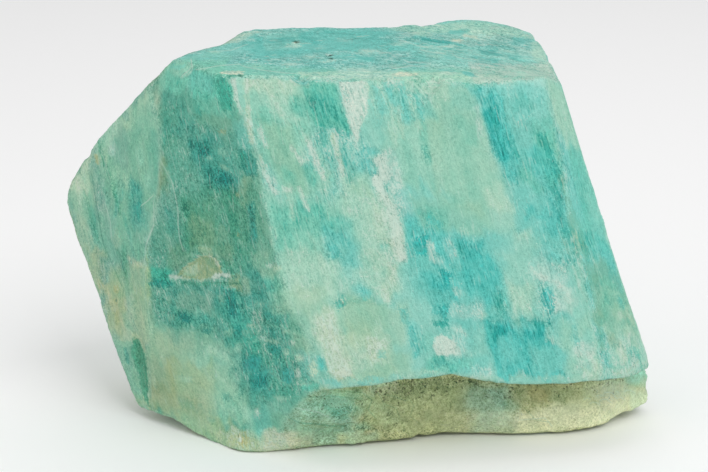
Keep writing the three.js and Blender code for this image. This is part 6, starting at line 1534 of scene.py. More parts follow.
# ---- second coat: broader turns of colour over the first
loose[0] = 0.5
for faces, ink, amount, feather, rag, pts in [
        # top
        (TP, "foam", 0.30, 5, f2, [(420, 46), (540, 50), (556, 84), (430, 82)]),
        (TP, "foam", 0.26, 5, f2, [(436, 30), (470, 24), (516, 30), (510, 44), (450, 42)]),
        (TP, "foam", 0.40, 4, f2, [(532, 48), (544, 46), (558, 76), (540, 78)]),
        (TP, "foam", 0.22, 4, f2, [(262, 32), (300, 32), (296, 50), (266, 50)]),
        # broad front
        (F2, "aqua", 0.30, 6, m4, [(500, 80), (548, 80), (560, 128), (530, 132), (508, 104)]),
        (F2, "cream", 0.28, 6, m4, [(244, 76), (300, 76), (298, 94), (250, 94)]),
        (F2, "turq", 0.32, 6, s3, [(372, 88), (392, 90), (396, 116), (376, 114)]),
        (F2, "aqua", 0.45, 6, s3, [(408, 90), (432, 92), (436, 116), (412, 118)]),
        (F2, "turq", 0.20, 6, m4, [(450, 90), (476, 92), (478, 112), (452, 110)]),
        (F2, "jade", 0.22, 6, m4, [(296, 112), (318, 112), (322, 134), (300, 134)]),
        (F2, "sage", 0.60, 8, m4, [(262, 122), (292, 128), (304, 176), (312, 194), (284, 192), (268, 160)]),
        (F2, "jade", 0.25, 7, m4, [(312, 134), (334, 136), (336, 176), (330, 214), (310, 210)]),
        (F2, "turq", 0.30, 6, s3, [(350, 150), (368, 150), (374, 176), (356, 178)]),
        (F2, "turq", 0.40, 6, s3, [(524, 150), (546, 152), (574, 176), (572, 196), (544, 190)]),
        (F2, "jade", 0.30, 5, s3, [(536, 152), (552, 152), (560, 176), (546, 176)]),
        (F2, "cream", 0.30, 7, m4, [(368, 190), (392, 190), (404, 232), (392, 252), (376, 240)]),
        (F2, "sage", 0.48, 8, m4, [(410, 198), (478, 200), (482, 234), (450, 236), (420, 226)]),
        (F2, "jade", 0.42, 7, m4, [(268, 206), (324, 206), (318, 250), (272, 250)]),
        (F2, "turq", 0.32, 6, m4, [(318, 216), (352, 218), (354, 250), (328, 250)]),
        (F2, "turq", 0.30, 5, m4, [(430, 248), (456, 250), (456, 270), (434, 270)]),
        (F2, "aqua", 0.35, 6, m4, [(412, 250), (428, 250), (432, 272), (416, 274)]),
        (F2, "mist", 0.65, 7, m4, [(488, 234), (540, 240), (540, 286), (508, 286), (494, 262)]),
        (F2, "cyan", 0.35, 5, m4, [(450, 272), (472, 272), (474, 292), (454, 292)]),
        (F2, "aqua", 0.40, 6, m4, [(548, 268), (574, 268), (578, 292), (552, 292)]),
        (F2, "cream", 0.15, 8, m4, [(288, 284), (324, 288), (330, 312), (298, 314)]),
        (F2, "sage", 0.55, 9, m4, [(332, 302), (410, 306), (404, 346), (340, 346)]),
        (F2, "aqua", 0.35, 6, m4, [(486, 314), (532, 316), (534, 334), (490, 334)]),
        (F2, "cream", 0.35, 8, m4, [(310, 328), (372, 336), (376, 372), (330, 372)]),
        (F2, "sage", 0.65, 8, m4, [(368, 346), (410, 350), (412, 374), (366, 380)]),
        (F2, "jade", 0.25, 6, m4, [(410, 332), (430, 334), (432, 352), (414, 352)]),
        (F2, "turq", 0.35, 7, m4, [(448, 352), (490, 354), (492, 374), (450, 374)]),
        (F2, "mist", 0.50, 6, m4, [(528, 348), (570, 350), (570, 376), (532, 376)]),
        (F2, "pale", 0.35, 6, m4, [(572, 362), (650, 360), (650, 386), (572, 388)]),
        (F2, "pale", 0.35, 4, g2, [(340, 374), (420, 368), (420, 378), (342, 386)]),
        (F2, "aqua", 0.35, 6, m4, [(570, 332), (594, 334), (596, 352), (574, 352)]),
        (FB, "pale", 0.45, 6, m4, [(548, 84), (566, 90), (582, 146), (566, 146), (552, 116)]),
        (FB, "mist", 0.50, 6, m4, [(584, 196), (606, 204), (612, 240), (592, 236)]),
        (FB, "mist", 0.28, 6, m4, [(566, 130), (588, 150), (600, 200), (584, 196)]),
        (FB, "sage", 0.35, 6, m4, [(592, 288), (636, 288), (640, 336), (600, 336)]),
        # left prism face
        (LM, "glen", 0.75, 6, m4, [(158, 58), (196, 60), (194, 90), (158, 92)]),
        (LM, "jade", 0.75, 6, m4, [(190, 64), (240, 72), (242, 100), (192, 98)]),
        (LM, "jade", 0.50, 6, m4, [(190, 94), (240, 96), (244, 116), (196, 114)]),
        (LM, "leaf", 0.30, 7, m4, [(152, 104), (178, 106), (178, 150), (154, 150)]),
        (LM, "pool", 0.30, 6, m4, [(206, 126), (236, 128), (236, 148), (210, 148)]),
        (LM, "leaf", 0.50, 9, m4, [(176, 194), (258, 186), (264, 222), (258, 256), (180, 258)]),
        (LM, "leaf", 0.28, 7, m4, [(150, 220), (176, 222), (176, 256), (150, 256)]),
        (LM, "fern", 0.50, 5, m4, [(254, 222), (274, 226), (278, 274), (262, 272)]),
        (LM, "leaf", 0.35, 6, g4, [(232, 248), (256, 250), (256, 272), (234, 272)]),
        (LM, "pool", 0.40, 7, m4, [(166, 286), (246, 288), (248, 326), (168, 326)]),
        (LM, "pool", 0.35, 5, m4, [(248, 290), (276, 292), (276, 310), (250, 308)]),
        (LM, "sage", 0.30, 6, m4, [(272, 268), (292, 268), (298, 310), (280, 306)]),
        (LM, "jade", 0.30, 6, m4, [(266, 308), (300, 312), (304, 336), (270, 332)]),
        (LM, "pool", 0.40, 8, g4, [(214, 322), (252, 326), (250, 352), (218, 354)]),
        (LM, "fern", 0.45, 7, m4, [(182, 328), (214, 328), (214, 356), (184, 356)]),
        (LM, "emerald", 0.30, 7, m4, [(250, 346), (292, 348), (296, 398), (254, 400)]),
        (LM, "sage", 0.60, 8, m4, [(174, 364), (236, 368), (236, 400), (178, 398)]),
        (LM, "grey", 0.45, 7, m4, [(146, 392), (200, 394), (216, 432), (170, 420)]),
        (LM, "lagoon", 0.50, 7, m4, [(250, 392), (298, 394), (296, 430), (252, 430)]),
        (LM, "bone", 0.35, 6, m4, [(204, 428), (296, 436), (296, 454), (232, 454)]),
        # far left
        (F0, "lagoon", 0.35, 6, m4, [(130, 104), (152, 100), (154, 132), (134, 134)]),
        (F0, "pale", 0.45, 5, m4, [(88, 140), (112, 116), (124, 124), (108, 148), (94, 156)]),
        (F0, "sage", 0.35, 6, m4, [(108, 168), (130, 170), (130, 190), (110, 190)]),
        (F0, "lagoon", 0.30, 6, m4, [(68, 190), (92, 192), (92, 214), (72, 214)]),
        (F0, "slate", 0.45, 6, m4, [(126, 208), (152, 208), (152, 240), (128, 240)]),
        (F0, "moss", 0.50, 6, g4, [(108, 268), (154, 268), (154, 298), (112, 296)]),
        (F0, "grey", 0.50, 6, g4, [(106, 308), (134, 312), (134, 346), (116, 346)]),
        (F0, "fern", 0.40, 5, g4, [(130, 346), (152, 350), (152, 376), (136, 374)]),
        # third round
        (LM, "jade", 0.45, 5, m4, [(168, 70), (194, 72), (194, 92), (166, 92)]),
        (F2, "mist", 0.50, 5, m4, [(392, 76), (410, 76), (410, 90), (392, 88)]),
        (F2, "mist", 0.50, 5, m4, [(446, 76), (474, 76), (474, 88), (448, 88)]),
        (F2, "ice", 0.35, 5, m4, [(492, 75), (556, 76), (556, 88), (528, 84), (494, 86)]),
        (F2, "foam", 0.35, 4, m4, [(530, 74), (556, 76), (560, 92), (536, 88)]),
        (F2, "mist", 0.35, 5, m4, [(530, 102), (556, 106), (562, 134), (536, 130)]),
        (F2, "turq", 0.45, 6, s6, [(530, 148), (552, 150), (558, 174), (536, 170)]),
        (F2, "sage", 0.35, 6, m4, [(310, 170), (332, 172), (330, 192), (310, 190)]),
        (F2, "sage", 0.45, 6, m4, [(350, 168), (370, 172), (372, 194), (352, 192)]),
        (F0, "pool", 0.40, 5, m4, [(130, 208), (150, 212), (150, 232), (132, 230)]),
        (F2, "jade", 0.40, 6, m4, [(428, 208), (450, 212), (452, 232), (430, 230)]),
        (F2, "mist", 0.50, 6, m4, [(488, 206), (512, 210), (514, 232), (490, 230)]),
        (F2, "aqua", 0.45, 6, m4, [(488, 230), (512, 232), (512, 252), (490, 250)]),
        (F2, "mist", 0.45, 6, m4, [(548, 230), (572, 232), (572, 252), (550, 250)]),
        (F2, "jade", 0.35, 6, m4, [(270, 230), (292, 232), (294, 252), (272, 250)]),
        (LM, "moss", 0.50, 5, g4, [(168, 246), (192, 250), (184, 268), (170, 270)]),
        (LM, "moss", 0.40, 5, g4, [(214, 246), (232, 250), (232, 266), (222, 270)]),
        (LM, "sage", 0.45, 6, g4, [(252, 250), (270, 250), (272, 272), (254, 272)]),
        (F2, "sage", 0.60, 8, m4, [(290, 288), (324, 290), (330, 312), (296, 312)]),
        (F2, "mist", 0.35, 6, m4, [(488, 308), (512, 312), (512, 328), (492, 328)]),
        (LM, "grey", 0.45, 7, g4, [(166, 330), (192, 334), (196, 352), (170, 352)]),
        (LM, "sage", 0.45, 7, m4, [(290, 328), (312, 332), (314, 352), (292, 350)]),
        (F2, "cream", 0.40, 6, m4, [(368, 330), (390, 334), (392, 370), (370, 366)]),
        (F2, "aqua", 0.50, 5, m4, [(452, 330), (474, 330), (474, 348), (458, 350)]),
        (F2, "jade", 0.40, 5, m4, [(448, 354), (474, 354), (472, 368), (450, 368)]),
        (LM, "pool", 0.60, 7, g4, [(230, 350), (250, 352), (250, 376), (232, 372)]),
        (LM, "pool", 0.35, 7, g4, [(232, 376), (252, 376), (252, 396), (236, 394)]),
        (F0, "moss", 0.35, 5, g4, [(134, 370), (148, 372), (150, 392), (138, 390)]),
        (F2, "sage", 0.60, 4, g2, [(340, 374), (372, 372), (400, 369), (400, 378), (342, 386)]),
        (F2, "pale", 0.45, 4, g2, [(585, 370), (648, 368), (648, 380), (588, 382)]),
        (FB, "pale", 0.40, 4, g2, [(600, 368), (648, 366), (650, 380), (600, 382)]),
        (F0, "khaki", 0.45, 5, g4, [(134, 394), (152, 394), (154, 410), (138, 408)]),
        (LM, "pool", 0.35, 6, g4, [(250, 392), (270, 394), (272, 410), (252, 408)]),
        (WL, "grey", 0.40, 5, g4, [(628, 390), (652, 388), (652, 408), (632, 410)]),
        (LM, "moss", 0.45, 6, g4, [(270, 412), (294, 414), (292, 432), (272, 430)]),
        (WL, "bone", 0.45, 5, g4, [(268, 434), (312, 434), (312, 446), (268, 450)]),
        (WL, "straw", 0.70, 5, g4, [(336, 434), (384, 432), (384, 444), (338, 446)]),
        (WL, "straw", 0.50, 6, g4, [(366, 408), (396, 410), (396, 430), (370, 428)]),
        # rough wall
        (WL, "moss", 0.40, 7, g4, [(322, 392), (376, 392), (374, 414), (326, 414)]),
        (WL, "olive", 0.30, 8, g4, [(404, 388), (462, 386), (462, 412), (408, 412)]),
        (WL, "khaki", 0.35, 7, g4, [(560, 392), (600, 388), (602, 408), (562, 412)]),
        (WL, "bone", 0.35, 6, g4, [(440, 412), (520, 414), (520, 434), (444, 434)]),
        (WL, "slate", 0.30, 7, g4, [(264, 410), (300, 412), (298, 430), (266, 430)]),
        (WL, "straw", 0.35, 6, g4, [(504, 394), (540, 394), (540, 410), (506, 410)])]:
    patch(faces, ink, amount, feather, rag, pts)
loose[0] = 1.0

# ---- small marks of the broad front, held in place
loose[0] = 0.3
for faces, ink, amount, feather, rag, pts in [
        (F2, "cyan", 0.80, 2.6, g2, [(440, 272), (450, 271), (452, 284), (447, 288), (442, 281)]),
        (F2, "teal", 0.75, 2.6, g2, [(431, 320), (449, 318), (449, 331), (444, 327), (432, 327)]),
        (F2, "turq", 0.70, 2.6, g2, [(430, 306), (447, 305), (446, 313), (432, 314)]),
        (F2, "turq", 0.70, 2.6, g2, [(408, 326), (413, 326), (418, 344), (420, 356), (414, 357), (409, 342)]),
        (F2, "turq", 0.55, 3.0, g2, [(398, 308), (408, 310), (410, 326), (402, 322)]),
        (F2, "teal", 0.65, 2.8, g2, [(333, 300), (343, 298), (346, 306), (338, 310), (334, 307)]),
        (F2, "turq", 0.55, 3.0, g2, [(360, 288), (369, 289), (371, 300), (364, 301)]),
        (F2, "cream", 0.85, 2.8, g2, [(370, 339), (376, 336), (382, 346), (378, 351), (375, 360), (369, 358), (368, 348)]),
        (F2, "white", 0.55, 2.0, g2, [(377, 341), (382, 346), (378, 348)]),
        (F2, "bone", 0.80, 2.8, g2, [(332, 372), (345, 368), (352, 375), (357, 380), (340, 380)]),
        (F2, "aqua", 0.60, 3.0, g2, [(378, 350), (386, 352), (385, 358), (378, 357)]),
        (F2, "pale", 0.55, 2.8, g2, [(420, 369), (438, 368), (438, 373), (420, 374)]),
        (F2, "tide", 0.45, 2.8, s3, [(430, 361), (452, 361), (453, 366), (432, 367)]),
        (F2, "turq", 0.60, 2.8, g2, [(328, 246), (338, 244), (342, 258), (332, 260)]),
        (F2, "teal", 0.50, 2.8, g2, [(454, 246), (462, 244), (466, 256), (458, 258)]),
        (F2, "teal", 0.55, 2.8, g2, [(496, 296), (504, 296), (506, 314), (499, 316)]),
        (F2, "cyan", 0.60, 2.8, g2, [(488, 324), (504, 325), (508, 338), (494, 338)]),
        (F2, "cyan", 0.55, 2.8, g2, [(524, 330), (535, 331), (536, 340), (527, 340)]),
        (F2, "turq", 0.55, 2.8, s3, [(426, 218), (440, 222), (442, 226), (430, 226)]),
        (F2, "cyan", 0.55, 2.8, s3, [(504, 138), (510, 138), (514, 152), (508, 152)]),
        (F2, "teal", 0.55, 2.8, s3, [(540, 138), (546, 138), (552, 152), (546, 154)]),
        (F2, "turq", 0.60, 2.8, s3, [(362, 146), (378, 148), (382, 156), (366, 156)])]:
    patch(faces, ink, amount, feather, rag, pts)
loose[0] = 1.0
patch(F2, "cream", 0.50, 6, m4, [(314, 312), (332, 314), (338, 340), (344, 354), (328, 356), (320, 334)])
patch(FE, "fern", 0.55, 9, g4, [(284, 304), (306, 312), (316, 352), (296, 356), (286, 330)])
patch(FE, "sea", 0.40, 7, g4, [(296, 350), (318, 356), (328, 384), (306, 384)])

loose[0] = 0.3
patch(F1, "straw", 0.70, 3.0, ("g", 2.0), [(238, 434), (248, 433), (250, 444), (244, 450), (239, 444)])
patch(F1, "rock", 0.50, 2.6, ("g", 1.6), [(241, 430), (248, 430), (250, 436), (243, 437)])
blob(F1, "white", 0.8, 1.0, ("g", 0.6), 239.5, 440, 1.6, 2.2, 0)
blob(F1, "ink", 0.7, 0.8, ("g", 0.5), 238.5, 437, 1.2, 1.2, 0)
blob(F1, "ink", 0.5, 0.8, ("g", 0.5), 242.5, 442, 1.0, 1.0, 0)
loose[0] = 1.0

loose[0] = 0.4
for faces, ink, amount, feather, rag, pts in [
        (TP, "ice", 0.75, 4, f2, [(470, 62), (554, 62), (562, 86), (470, 84)]),
        (F2, "frost", 0.55, 5, m4, [(478, 74), (552, 74), (560, 98), (484, 98)]),
        ("basal prismFront", "pale", 0.45, 4, f2, [(400, 72), (452, 72), (450, 89), (404, 88)]),
        ("basal prismFront", "mist", 0.25, 4, f2, [(452, 72), (474, 72), (474, 88), (450, 88)]),
        ("basal prismLeft", "aqua", 0.35, 5, f2, [(188, 70), (214, 72), (212, 90), (190, 90)]),
        (F2, "teal", 0.25, 6, m4, [(410, 92), (430, 92), (436, 116), (414, 114)]),
        (F2, "teal", 0.35, 6, m4, [(566, 228), (586, 228), (592, 254), (574, 252)]),
        (F2, "teal", 0.25, 5, m4, [(530, 308), (550, 312), (552, 332), (534, 330)]),
        (F2, "mist", 0.30, 5, m4, [(426, 288), (452, 290), (452, 306), (430, 304)]),
        (LM, "dark", 0.25, 6, g4, [(168, 248), (194, 246), (190, 262), (172, 268)]),
        (LM, "pool", 0.45, 6, m4, [(268, 330), (292, 334), (292, 354), (272, 350)]),
        (LM, "tide", 0.45, 6, g4, [(250, 368), (272, 372), (272, 394), (252, 390)]),
        ("prismLeft sideLeft", "tan", 0.26, 10, g4, [(132, 262), (146, 262), (156, 330), (204, 366), (214, 418), (150, 412), (134, 350)]),
        (F0, "tan", 0.20, 5, g4, [(104, 268), (118, 270), (124, 340), (112, 318)]),
        (WL, "bone", 0.55, 5, g4, [(268, 432), (296, 434), (294, 450), (266, 452)]),
        (WL, "grey", 0.50, 5, g4, [(346, 432), (378, 430), (378, 446), (348, 448)]),
        (WL, "grey", 0.50, 8, g4, [(584, 382), (624, 379), (626, 394), (586, 397)]),
        (F2, "cream", 0.40, 4, g2, [(582, 368), (612, 366), (614, 378), (584, 380)])]:
    patch(faces, ink, amount, feather, rag, pts)
loose[0] = 1.0

loose[0] = 0.4
for faces, ink, amount, feather, rag, pts in [
        ("basal prismFront", "aqua", 0.40, 4, f2, [(392, 74), (410, 74), (410, 88), (394, 88)]),
        (F2, "mist", 0.30, 5, m4, [(470, 92), (492, 94), (494, 110), (474, 108)]),
        (F2, "cyan", 0.25, 5, m4, [(492, 134), (510, 134), (514, 152), (498, 150)]),
        (F2, "mist", 0.25, 5, m4, [(410, 252), (430, 252), (432, 272), (414, 272)]),
        ("prismFront prismBevel", "teal", 0.35, 6, m4, [(568, 230), (590, 232), (594, 252), (574, 252)]),
        (LM, "dark", 0.22, 6, g4, [(208, 248), (232, 248), (232, 270), (212, 268)]),
        (LM, "pool", 0.35, 6, g4, [(250, 292), (270, 292), (270, 310), (252, 310)]),
        (F2, "turq", 0.35, 6, m4, [(468, 290), (492, 292), (494, 310), (472, 308)]),
        (F2, "mist", 0.40, 6, m4, [(568, 290), (592, 292), (594, 312), (572, 310)]),
        (F2, "mist", 0.25, 5, m4, [(510, 312), (532, 312), (534, 330), (512, 330)]),
        (F0, "grey", 0.30, 5, g4, [(130, 370), (150, 372), (150, 394), (134, 390)]),
        ("prismFront recessWall", "fern", 0.35, 5, g4, [(308, 372), (332, 372), (332, 392), (310, 392)]),
        ("prismFront recessWall", "sage", 0.45, 4, g4, [(366, 372), (392, 368), (396, 384), (368, 390)]),
        (WL, "grey", 0.35, 8, g4, [(586, 380), (616, 378), (616, 392), (588, 394)]),
        (WL, "tan", 0.45, 8, g4, [(574, 382), (606, 379), (604, 400), (574, 402)]),
        (WL, "bone", 0.55, 5, g4, [(264, 432), (292, 434), (290, 452), (264, 454)]),
        (LM, "bone", 0.35, 5, g4, [(262, 434), (290, 434), (288, 452), (262, 454)])]:
    patch(faces, ink, amount, feather, rag, pts)
loose[0] = 1.0

# ---- streaks and flecks of the top's right half, held in place
loose[0] = 0.2
for ink, a, w, pts in [
        ("tide", 0.80, 2.0, [(422, 38.6), (436, 40.6), (448, 42.0)]), ("tide", 0.70, 0.9, [(446, 41.6), (458, 44.6), (468, 47.0)]),
        ("tide", 0.60, 0.8, [(466, 46.8), (480, 49.4), (495, 51.2)]), ("tide", 0.75, 1.7, [(482, 52.2), (490, 53.4), (497, 54.6)]),
        ("tide", 0.60, 0.9, [(498, 53.4), (510, 55.4), (521, 57.2)]), ("tide", 0.55, 0.8, [(471, 57.2), (484, 59.2), (496, 61.2)]),
        ("tide", 0.50, 0.8, [(480, 60.0), (494, 62.6), (503, 63.6)]), ("sea", 0.75, 2.0, [(450, 31.8), (458, 33.0), (465, 33.2)]),
        ("blush", 0.70, 1.4, [(453, 39.8), (460, 40.4)]), ("blush", 0.70, 1.5, [(464, 35.4), (476, 37.2)]),
        ("foam", 0.65, 1.7, [(473, 31.0), (482, 32.0)]), ("foam", 0.65, 0.9, [(444, 46.4), (452, 47.2)]),
        ("foam", 0.60, 1.2, [(436, 51.6), (446, 54.2)]), ("foam", 0.50, 0.9, [(427, 46.8), (435, 48.6)]),
        ("foam", 0.50, 0.8, [(452, 51.2), (466, 54.0)]), ("foam", 0.45, 0.8, [(470, 52.6), (480, 55.2)]),
        ("sea", 0.70, 1.8, [(390, 48.6), (404, 49.4)]), ("sea", 0.65, 1.6, [(464, 72.4), (472, 73.6)]),
        ("sea", 0.60, 2.0, [(514, 39.0), (524, 42.2)]), ("sea", 0.55, 1.6, [(445, 57.0), (455, 58.8)]),
        ("foam", 0.60, 1.2, [(444, 78.4), (452, 79.2)]), ("foam", 0.50, 1.8, [(519, 74.0), (527, 75.0)]),
        ("tide", 0.45, 0.8, [(404, 58.0), (414, 60.0)]), ("tide", 0.40, 0.8, [(500, 46.4), (516, 49.8)]),
        ("foam", 0.45, 0.8, [(500, 49.6), (514, 52.4)]), ("foam", 0.40, 0.8, [(506, 60.0), (526, 63.4)])]:
    stroke(TP, ink, a, w, ("g", 0.8), pts, max(1.0, 0.8 * w))
loose[0] = 1.0

# ---- a last few soft turns
loose[0] = 0.4
for faces, ink, amount, feather, rag, pts in [
        (WL, "rock", 0.40, 7, g4, [(362, 396), (464, 392), (466, 432), (366, 434)]),
        (WL, "grey", 0.25, 7, g4, [(284, 404), (352, 404), (354, 436), (284, 438)]),
        (F2, "turq", 0.50, 5, m4, [(488, 126), (510, 126), (516, 154), (496, 152)]),
        (LM, "deep", 0.28, 6, g4, [(208, 288), (234, 288), (234, 312), (212, 310)]),
        (FE, "sage", 0.40, 6, m4, [(268, 288), (292, 290), (294, 312), (272, 310)]),
        (F2, "lime", 0.14, 8, m4, [(344, 322), (374, 324), (374, 352), (350, 350)]),
        (WL, "bone", 0.28, 4, g4, [(364, 380), (398, 378), (398, 394), (366, 396)]),
        (WL, "straw", 0.26, 8, g4, [(558, 384), (600, 380), (602, 398), (560, 402)]),
        (WL, "bone", 0.52, 8, g4, [(594, 381), (626, 379), (626, 402), (598, 404)]),
        (F2, "teal", 0.30, 6, m4, [(510, 92), (530, 94), (534, 112), (514, 110)]),
        (F2, "turq", 0.28, 6, m4, [(372, 110), (392, 112), (394, 130), (376, 130)]),
        (F2, "teal", 0.22, 6, m4, [(512, 152), (532, 154), (534, 170), (516, 168)]),
        (F2, "teal", 0.22, 6, m4, [(552, 170), (570, 172), (574, 190), (556, 190)]),
        (F2, "turq", 0.30, 6, m4, [(430, 232), (452, 234), (456, 272), (434, 270)]),
        (F2, "cream", 0.22, 6, m4, [(370, 250), (392, 252), (394, 270), (374, 270)]),
        (F2, "turq", 0.12, 6, m4, [(398, 80), (418, 80), (420, 102), (402, 102)]),
        (F2, "turq", 0.20, 6, m4, [(530, 250), (552, 252), (554, 268), (534, 268)]),
        (F0, "slate", 0.35, 6, g4, [(130, 268), (150, 270), (150, 290), (134, 290)]),
        (LM, "teal", 0.30, 6, g4, [(228, 310), (252, 312), (252, 330), (232, 330)]),
        (LM, "jade", 0.30, 6, g4, [(188, 310), (212, 312), (212, 328), (192, 328)]),
        (F2, "mist", 0.20, 6, m4, [(490, 312), (512, 314), (514, 330), (494, 330)]),
        (WL, "straw", 0.35, 6, g4, [(428, 412), (476, 410), (476, 430), (430, 432)]),
        ("recessWall prismLeft underside", "blush", 0.32, 5, g4, [(262, 432), (294, 432), (292, 454), (260, 456)])]:
    patch(faces, ink, amount, feather, rag, pts)
for u, v, ru, rv, ink, a in [
        (286, 176, 6, 8, "jade", 0.50), (266, 114, 4, 7, "jade", 0.40), (296, 104, 7, 9, "jade", 0.45), (312, 176, 5, 9, "jade", 0.40),
        (284, 150, 5, 7, "lagoon", 0.35), (300, 128, 6, 9, "jade", 0.40), (275, 165, 5, 8, "lagoon", 0.35), (308, 202, 6, 8, "jade", 0.40),
        (276, 108, 5, 11, "pale", 0.40), (302, 152, 4, 7, "pale", 0.35), (290, 198, 5, 8, "pale", 0.40), (330, 222, 7, 8, "jade", 0.35),
        (313, 104, 3, 4, "deep", 0.50), (352, 168, 5, 8, "teal", 0.35), (398, 176, 5, 8, "ice", 0.35), (388, 128, 5, 12, "pale", 0.35)]:
    blob(F2, ink, a, 4, g4, u, v, ru, rv)
loose[0] = 1.0

# ---- short thin dashes, pale and deep, along the prism where it is worn in streaks
strewn = np.random.RandomState(91)


def dashes(count, faces, left, top, wide_, tall, lean, pale_share, low, high):
    """Strews count dashes over a box that leans with them."""
    for _ in range(count):
        y = strewn.uniform(0, tall)
        u, v = left + strewn.uniform(0, wide_) + lean * y, top + y
        size, turn_ = strewn.uniform(4, 15), lean + strewn.normal(0, 0.06)
        hair("pale" if strewn.rand() < pale_share else "dark", faces, strewn.uniform(0.40, 0.70), strewn.uniform(low, high),
             [(u, v), (u + turn_ * size, v + size)])


dashes(80, F2, 240, 92, 84, 120, 0.22, 0.55, 0.20, 0.55)
dashes(26, F2, 352, 150, 36, 96, 0.20, 0.60, 0.20, 0.50)
dashes(24, F2, 398, 215, 66, 72, 0.24, 0.55, 0.20, 0.50)
dashes(34, F2, 480, 92, 44, 150, 0.30, 0.35, 0.20, 0.50)
dashes(34, "prismFront prismBevel", 552, 214, 30, 130, 0.30, 0.45, 0.20, 0.50)
dashes(60, F1, 166, 96, 66, 220, 0.12, 0.55, 0.20, 0.55)
dashes(26, F1, 236, 200, 24, 190, 0.20, 0.50, 0.20, 0.50)
dashes(26, F0, 84, 150, 42, 150, 0.28, 0.50, 0.20, 0.50)
dashes(20, F2, 536, 262, 30, 50, 0.20, 0.60, 0.20, 0.50)

# ---- the faces out of the chart's sight: the same inks, laid by the stone's own coordinates
def field(scale, seed, octaves=3):
    return fbm(P / np.array(scale, float), octaves, seed)


def wash(where, ink, amount, f, lo, hi):
    global tint
    a = amount * smooth(lo, hi, f) * where
    tint = tint + a[:, None] * (INK[ink] - tint)


hidden = 1 - front * facing
right, backs = w_of["prismRight"], w_of["backUpper"] + w_of["backLower"] + w_of["backStep"]
shelf, under = w_of["shoulder"] + w_of["backLeft"], w_of["underside"] + w_of["seat"] + w_of["overhang"]
streaks = 0.6 * fbm(G / np.array([1.6, 1.6, 13.0]), 3, 71) + 0.5 * fbm(G / np.array([3.6, 3.6, 9.0]), 2, 72)
clouds = field((7, 7, 7), 73)
body = np.clip(right + backs, 0, 1)
wash(body, "mint", 0.75, clouds, 0.0, 0.35)
wash(body, "pale", 0.65, field((6, 6, 8), 74), 0.15, 0.5)
wash(body, "turq", 0.75, streaks, 0.10, 0.45)
wash(body, "cyan", 0.55, streaks + 0.5 * clouds, 0.42, 0.7)
wash(body, "jade", 0.6, field((6, 6, 10), 75), 0.2, 0.5)
wash(body, "teal", 0.55, fbm(G / np.array([2.2, 2.2, 7.0]), 3, 76), 0.38, 0.62)
wash(body, "white", 0.7, fbm(G / np.array([1.3, 1.3, 9.0]), 3, 77) + 0.25 * field((5, 5, 5), 78), 0.42, 0.6)
wash(body, "ice", 0.45, fbm(G / np.array([0.7, 0.7, 5.0]), 2, 79), 0.35, 0.7)
low = smooth(14.0, 3.0, P[:, 2] + 3.0 * clouds)
wash(body, "grey", 0.75, low, 0.1, 0.9)
wash(body, "rock", 0.45, low, 0.55, 1.0)
wash(shelf, "fern", 0.8, clouds, -0.15, 0.25)
wash(shelf, "aqua", 0.5, field((5, 5, 7), 81), 0.15, 0.5)
wash(shelf, "straw", 0.5, field((3.5, 3.5, 3.5), 82), 0.15, 0.5)
wash(shelf, "bone", 0.5, field((2.2, 2.2, 2.2), 83), 0.3, 0.55)
wash(shelf, "tan", 0.35, field((3.0, 3.0, 3.0), 84), 0.4, 0.6)
wash(shelf, "lagoon", 0.6, field((4.0, 4.0, 5.0), 88), 0.10, 0.4)
wash(under, "straw", 0.5, clouds, 0.0, 0.4)
wash(under, "slate", 0.5, field((5, 5, 5), 85), 0.15, 0.45)
wash(under, "bone", 0.5, field((2.4, 2.4, 2.4), 86), 0.25, 0.55)
wash(under, "rust", 0.4, field((3.0, 3.0, 3.0), 87), 0.3, 0.6)

near_end = 0.8 * w_of["overhang"] * smooth(600, 634, U)         # the overhang takes the wall's colour at its right end
tint = tint + near_end[:, None] * (INK["fern"] - tint)

# ---- middle grain everywhere on the crystal: thin pale and deep lamellae along the prism, a faint mottle over all
lam = noise(G / np.array([0.75, 0.75, 6.0]), 91) + 0.6 * noise(G / np.array([1.5, 1.5, 12.0]), 92)
mottle = fbm(P / 1.6, 3, 94)
turn = crystal * (1 - w_of["basal"]) * 0.10 * lam + 0.09 * mottle + broken * 0.05 * fbm(P / 0.9, 2, 95)
rugged = w_of["recessWall"] * smooth(540, 450, U)               # the wall is coarser left of its middle
lumps = rugged * (0.12 * fbm(P / 0.8, 2, 101) + 0.08 * noise(P / 0.42, 102))
tint = tint * (1 + lumps[:, None])
tint = tint * (1 + turn[:, None] * np.array([1.0, 0.30, 0.33]) * (1 - 0.6 * broken[:, None])
               + (broken * 0.10 * mottle)[:, None])
# worn rims are paler and milkier
milk = np.clip(0.30 * np.exp(-(rim / 0.5) ** 2) * (0.75 + 0.5 * rag_grain) * crystal, 0, 0.6)
milk *= 1 - 0.9 * np.exp(-((U - 151) / 9.0) ** 2) * smooth(320, 350, W)
tint = tint + milk[:, None] * (INK["pale"] - tint)
tint = np.clip((tint - sheen[:, None]) / lit[:, None], 0.004, 0.9)
over = np.clip((over - sheen[:, None]) / lit[:, None], 0.004, 0.9)
over_at += 0.8 * rag_grain * smooth(0.5, -2.0, over_at)

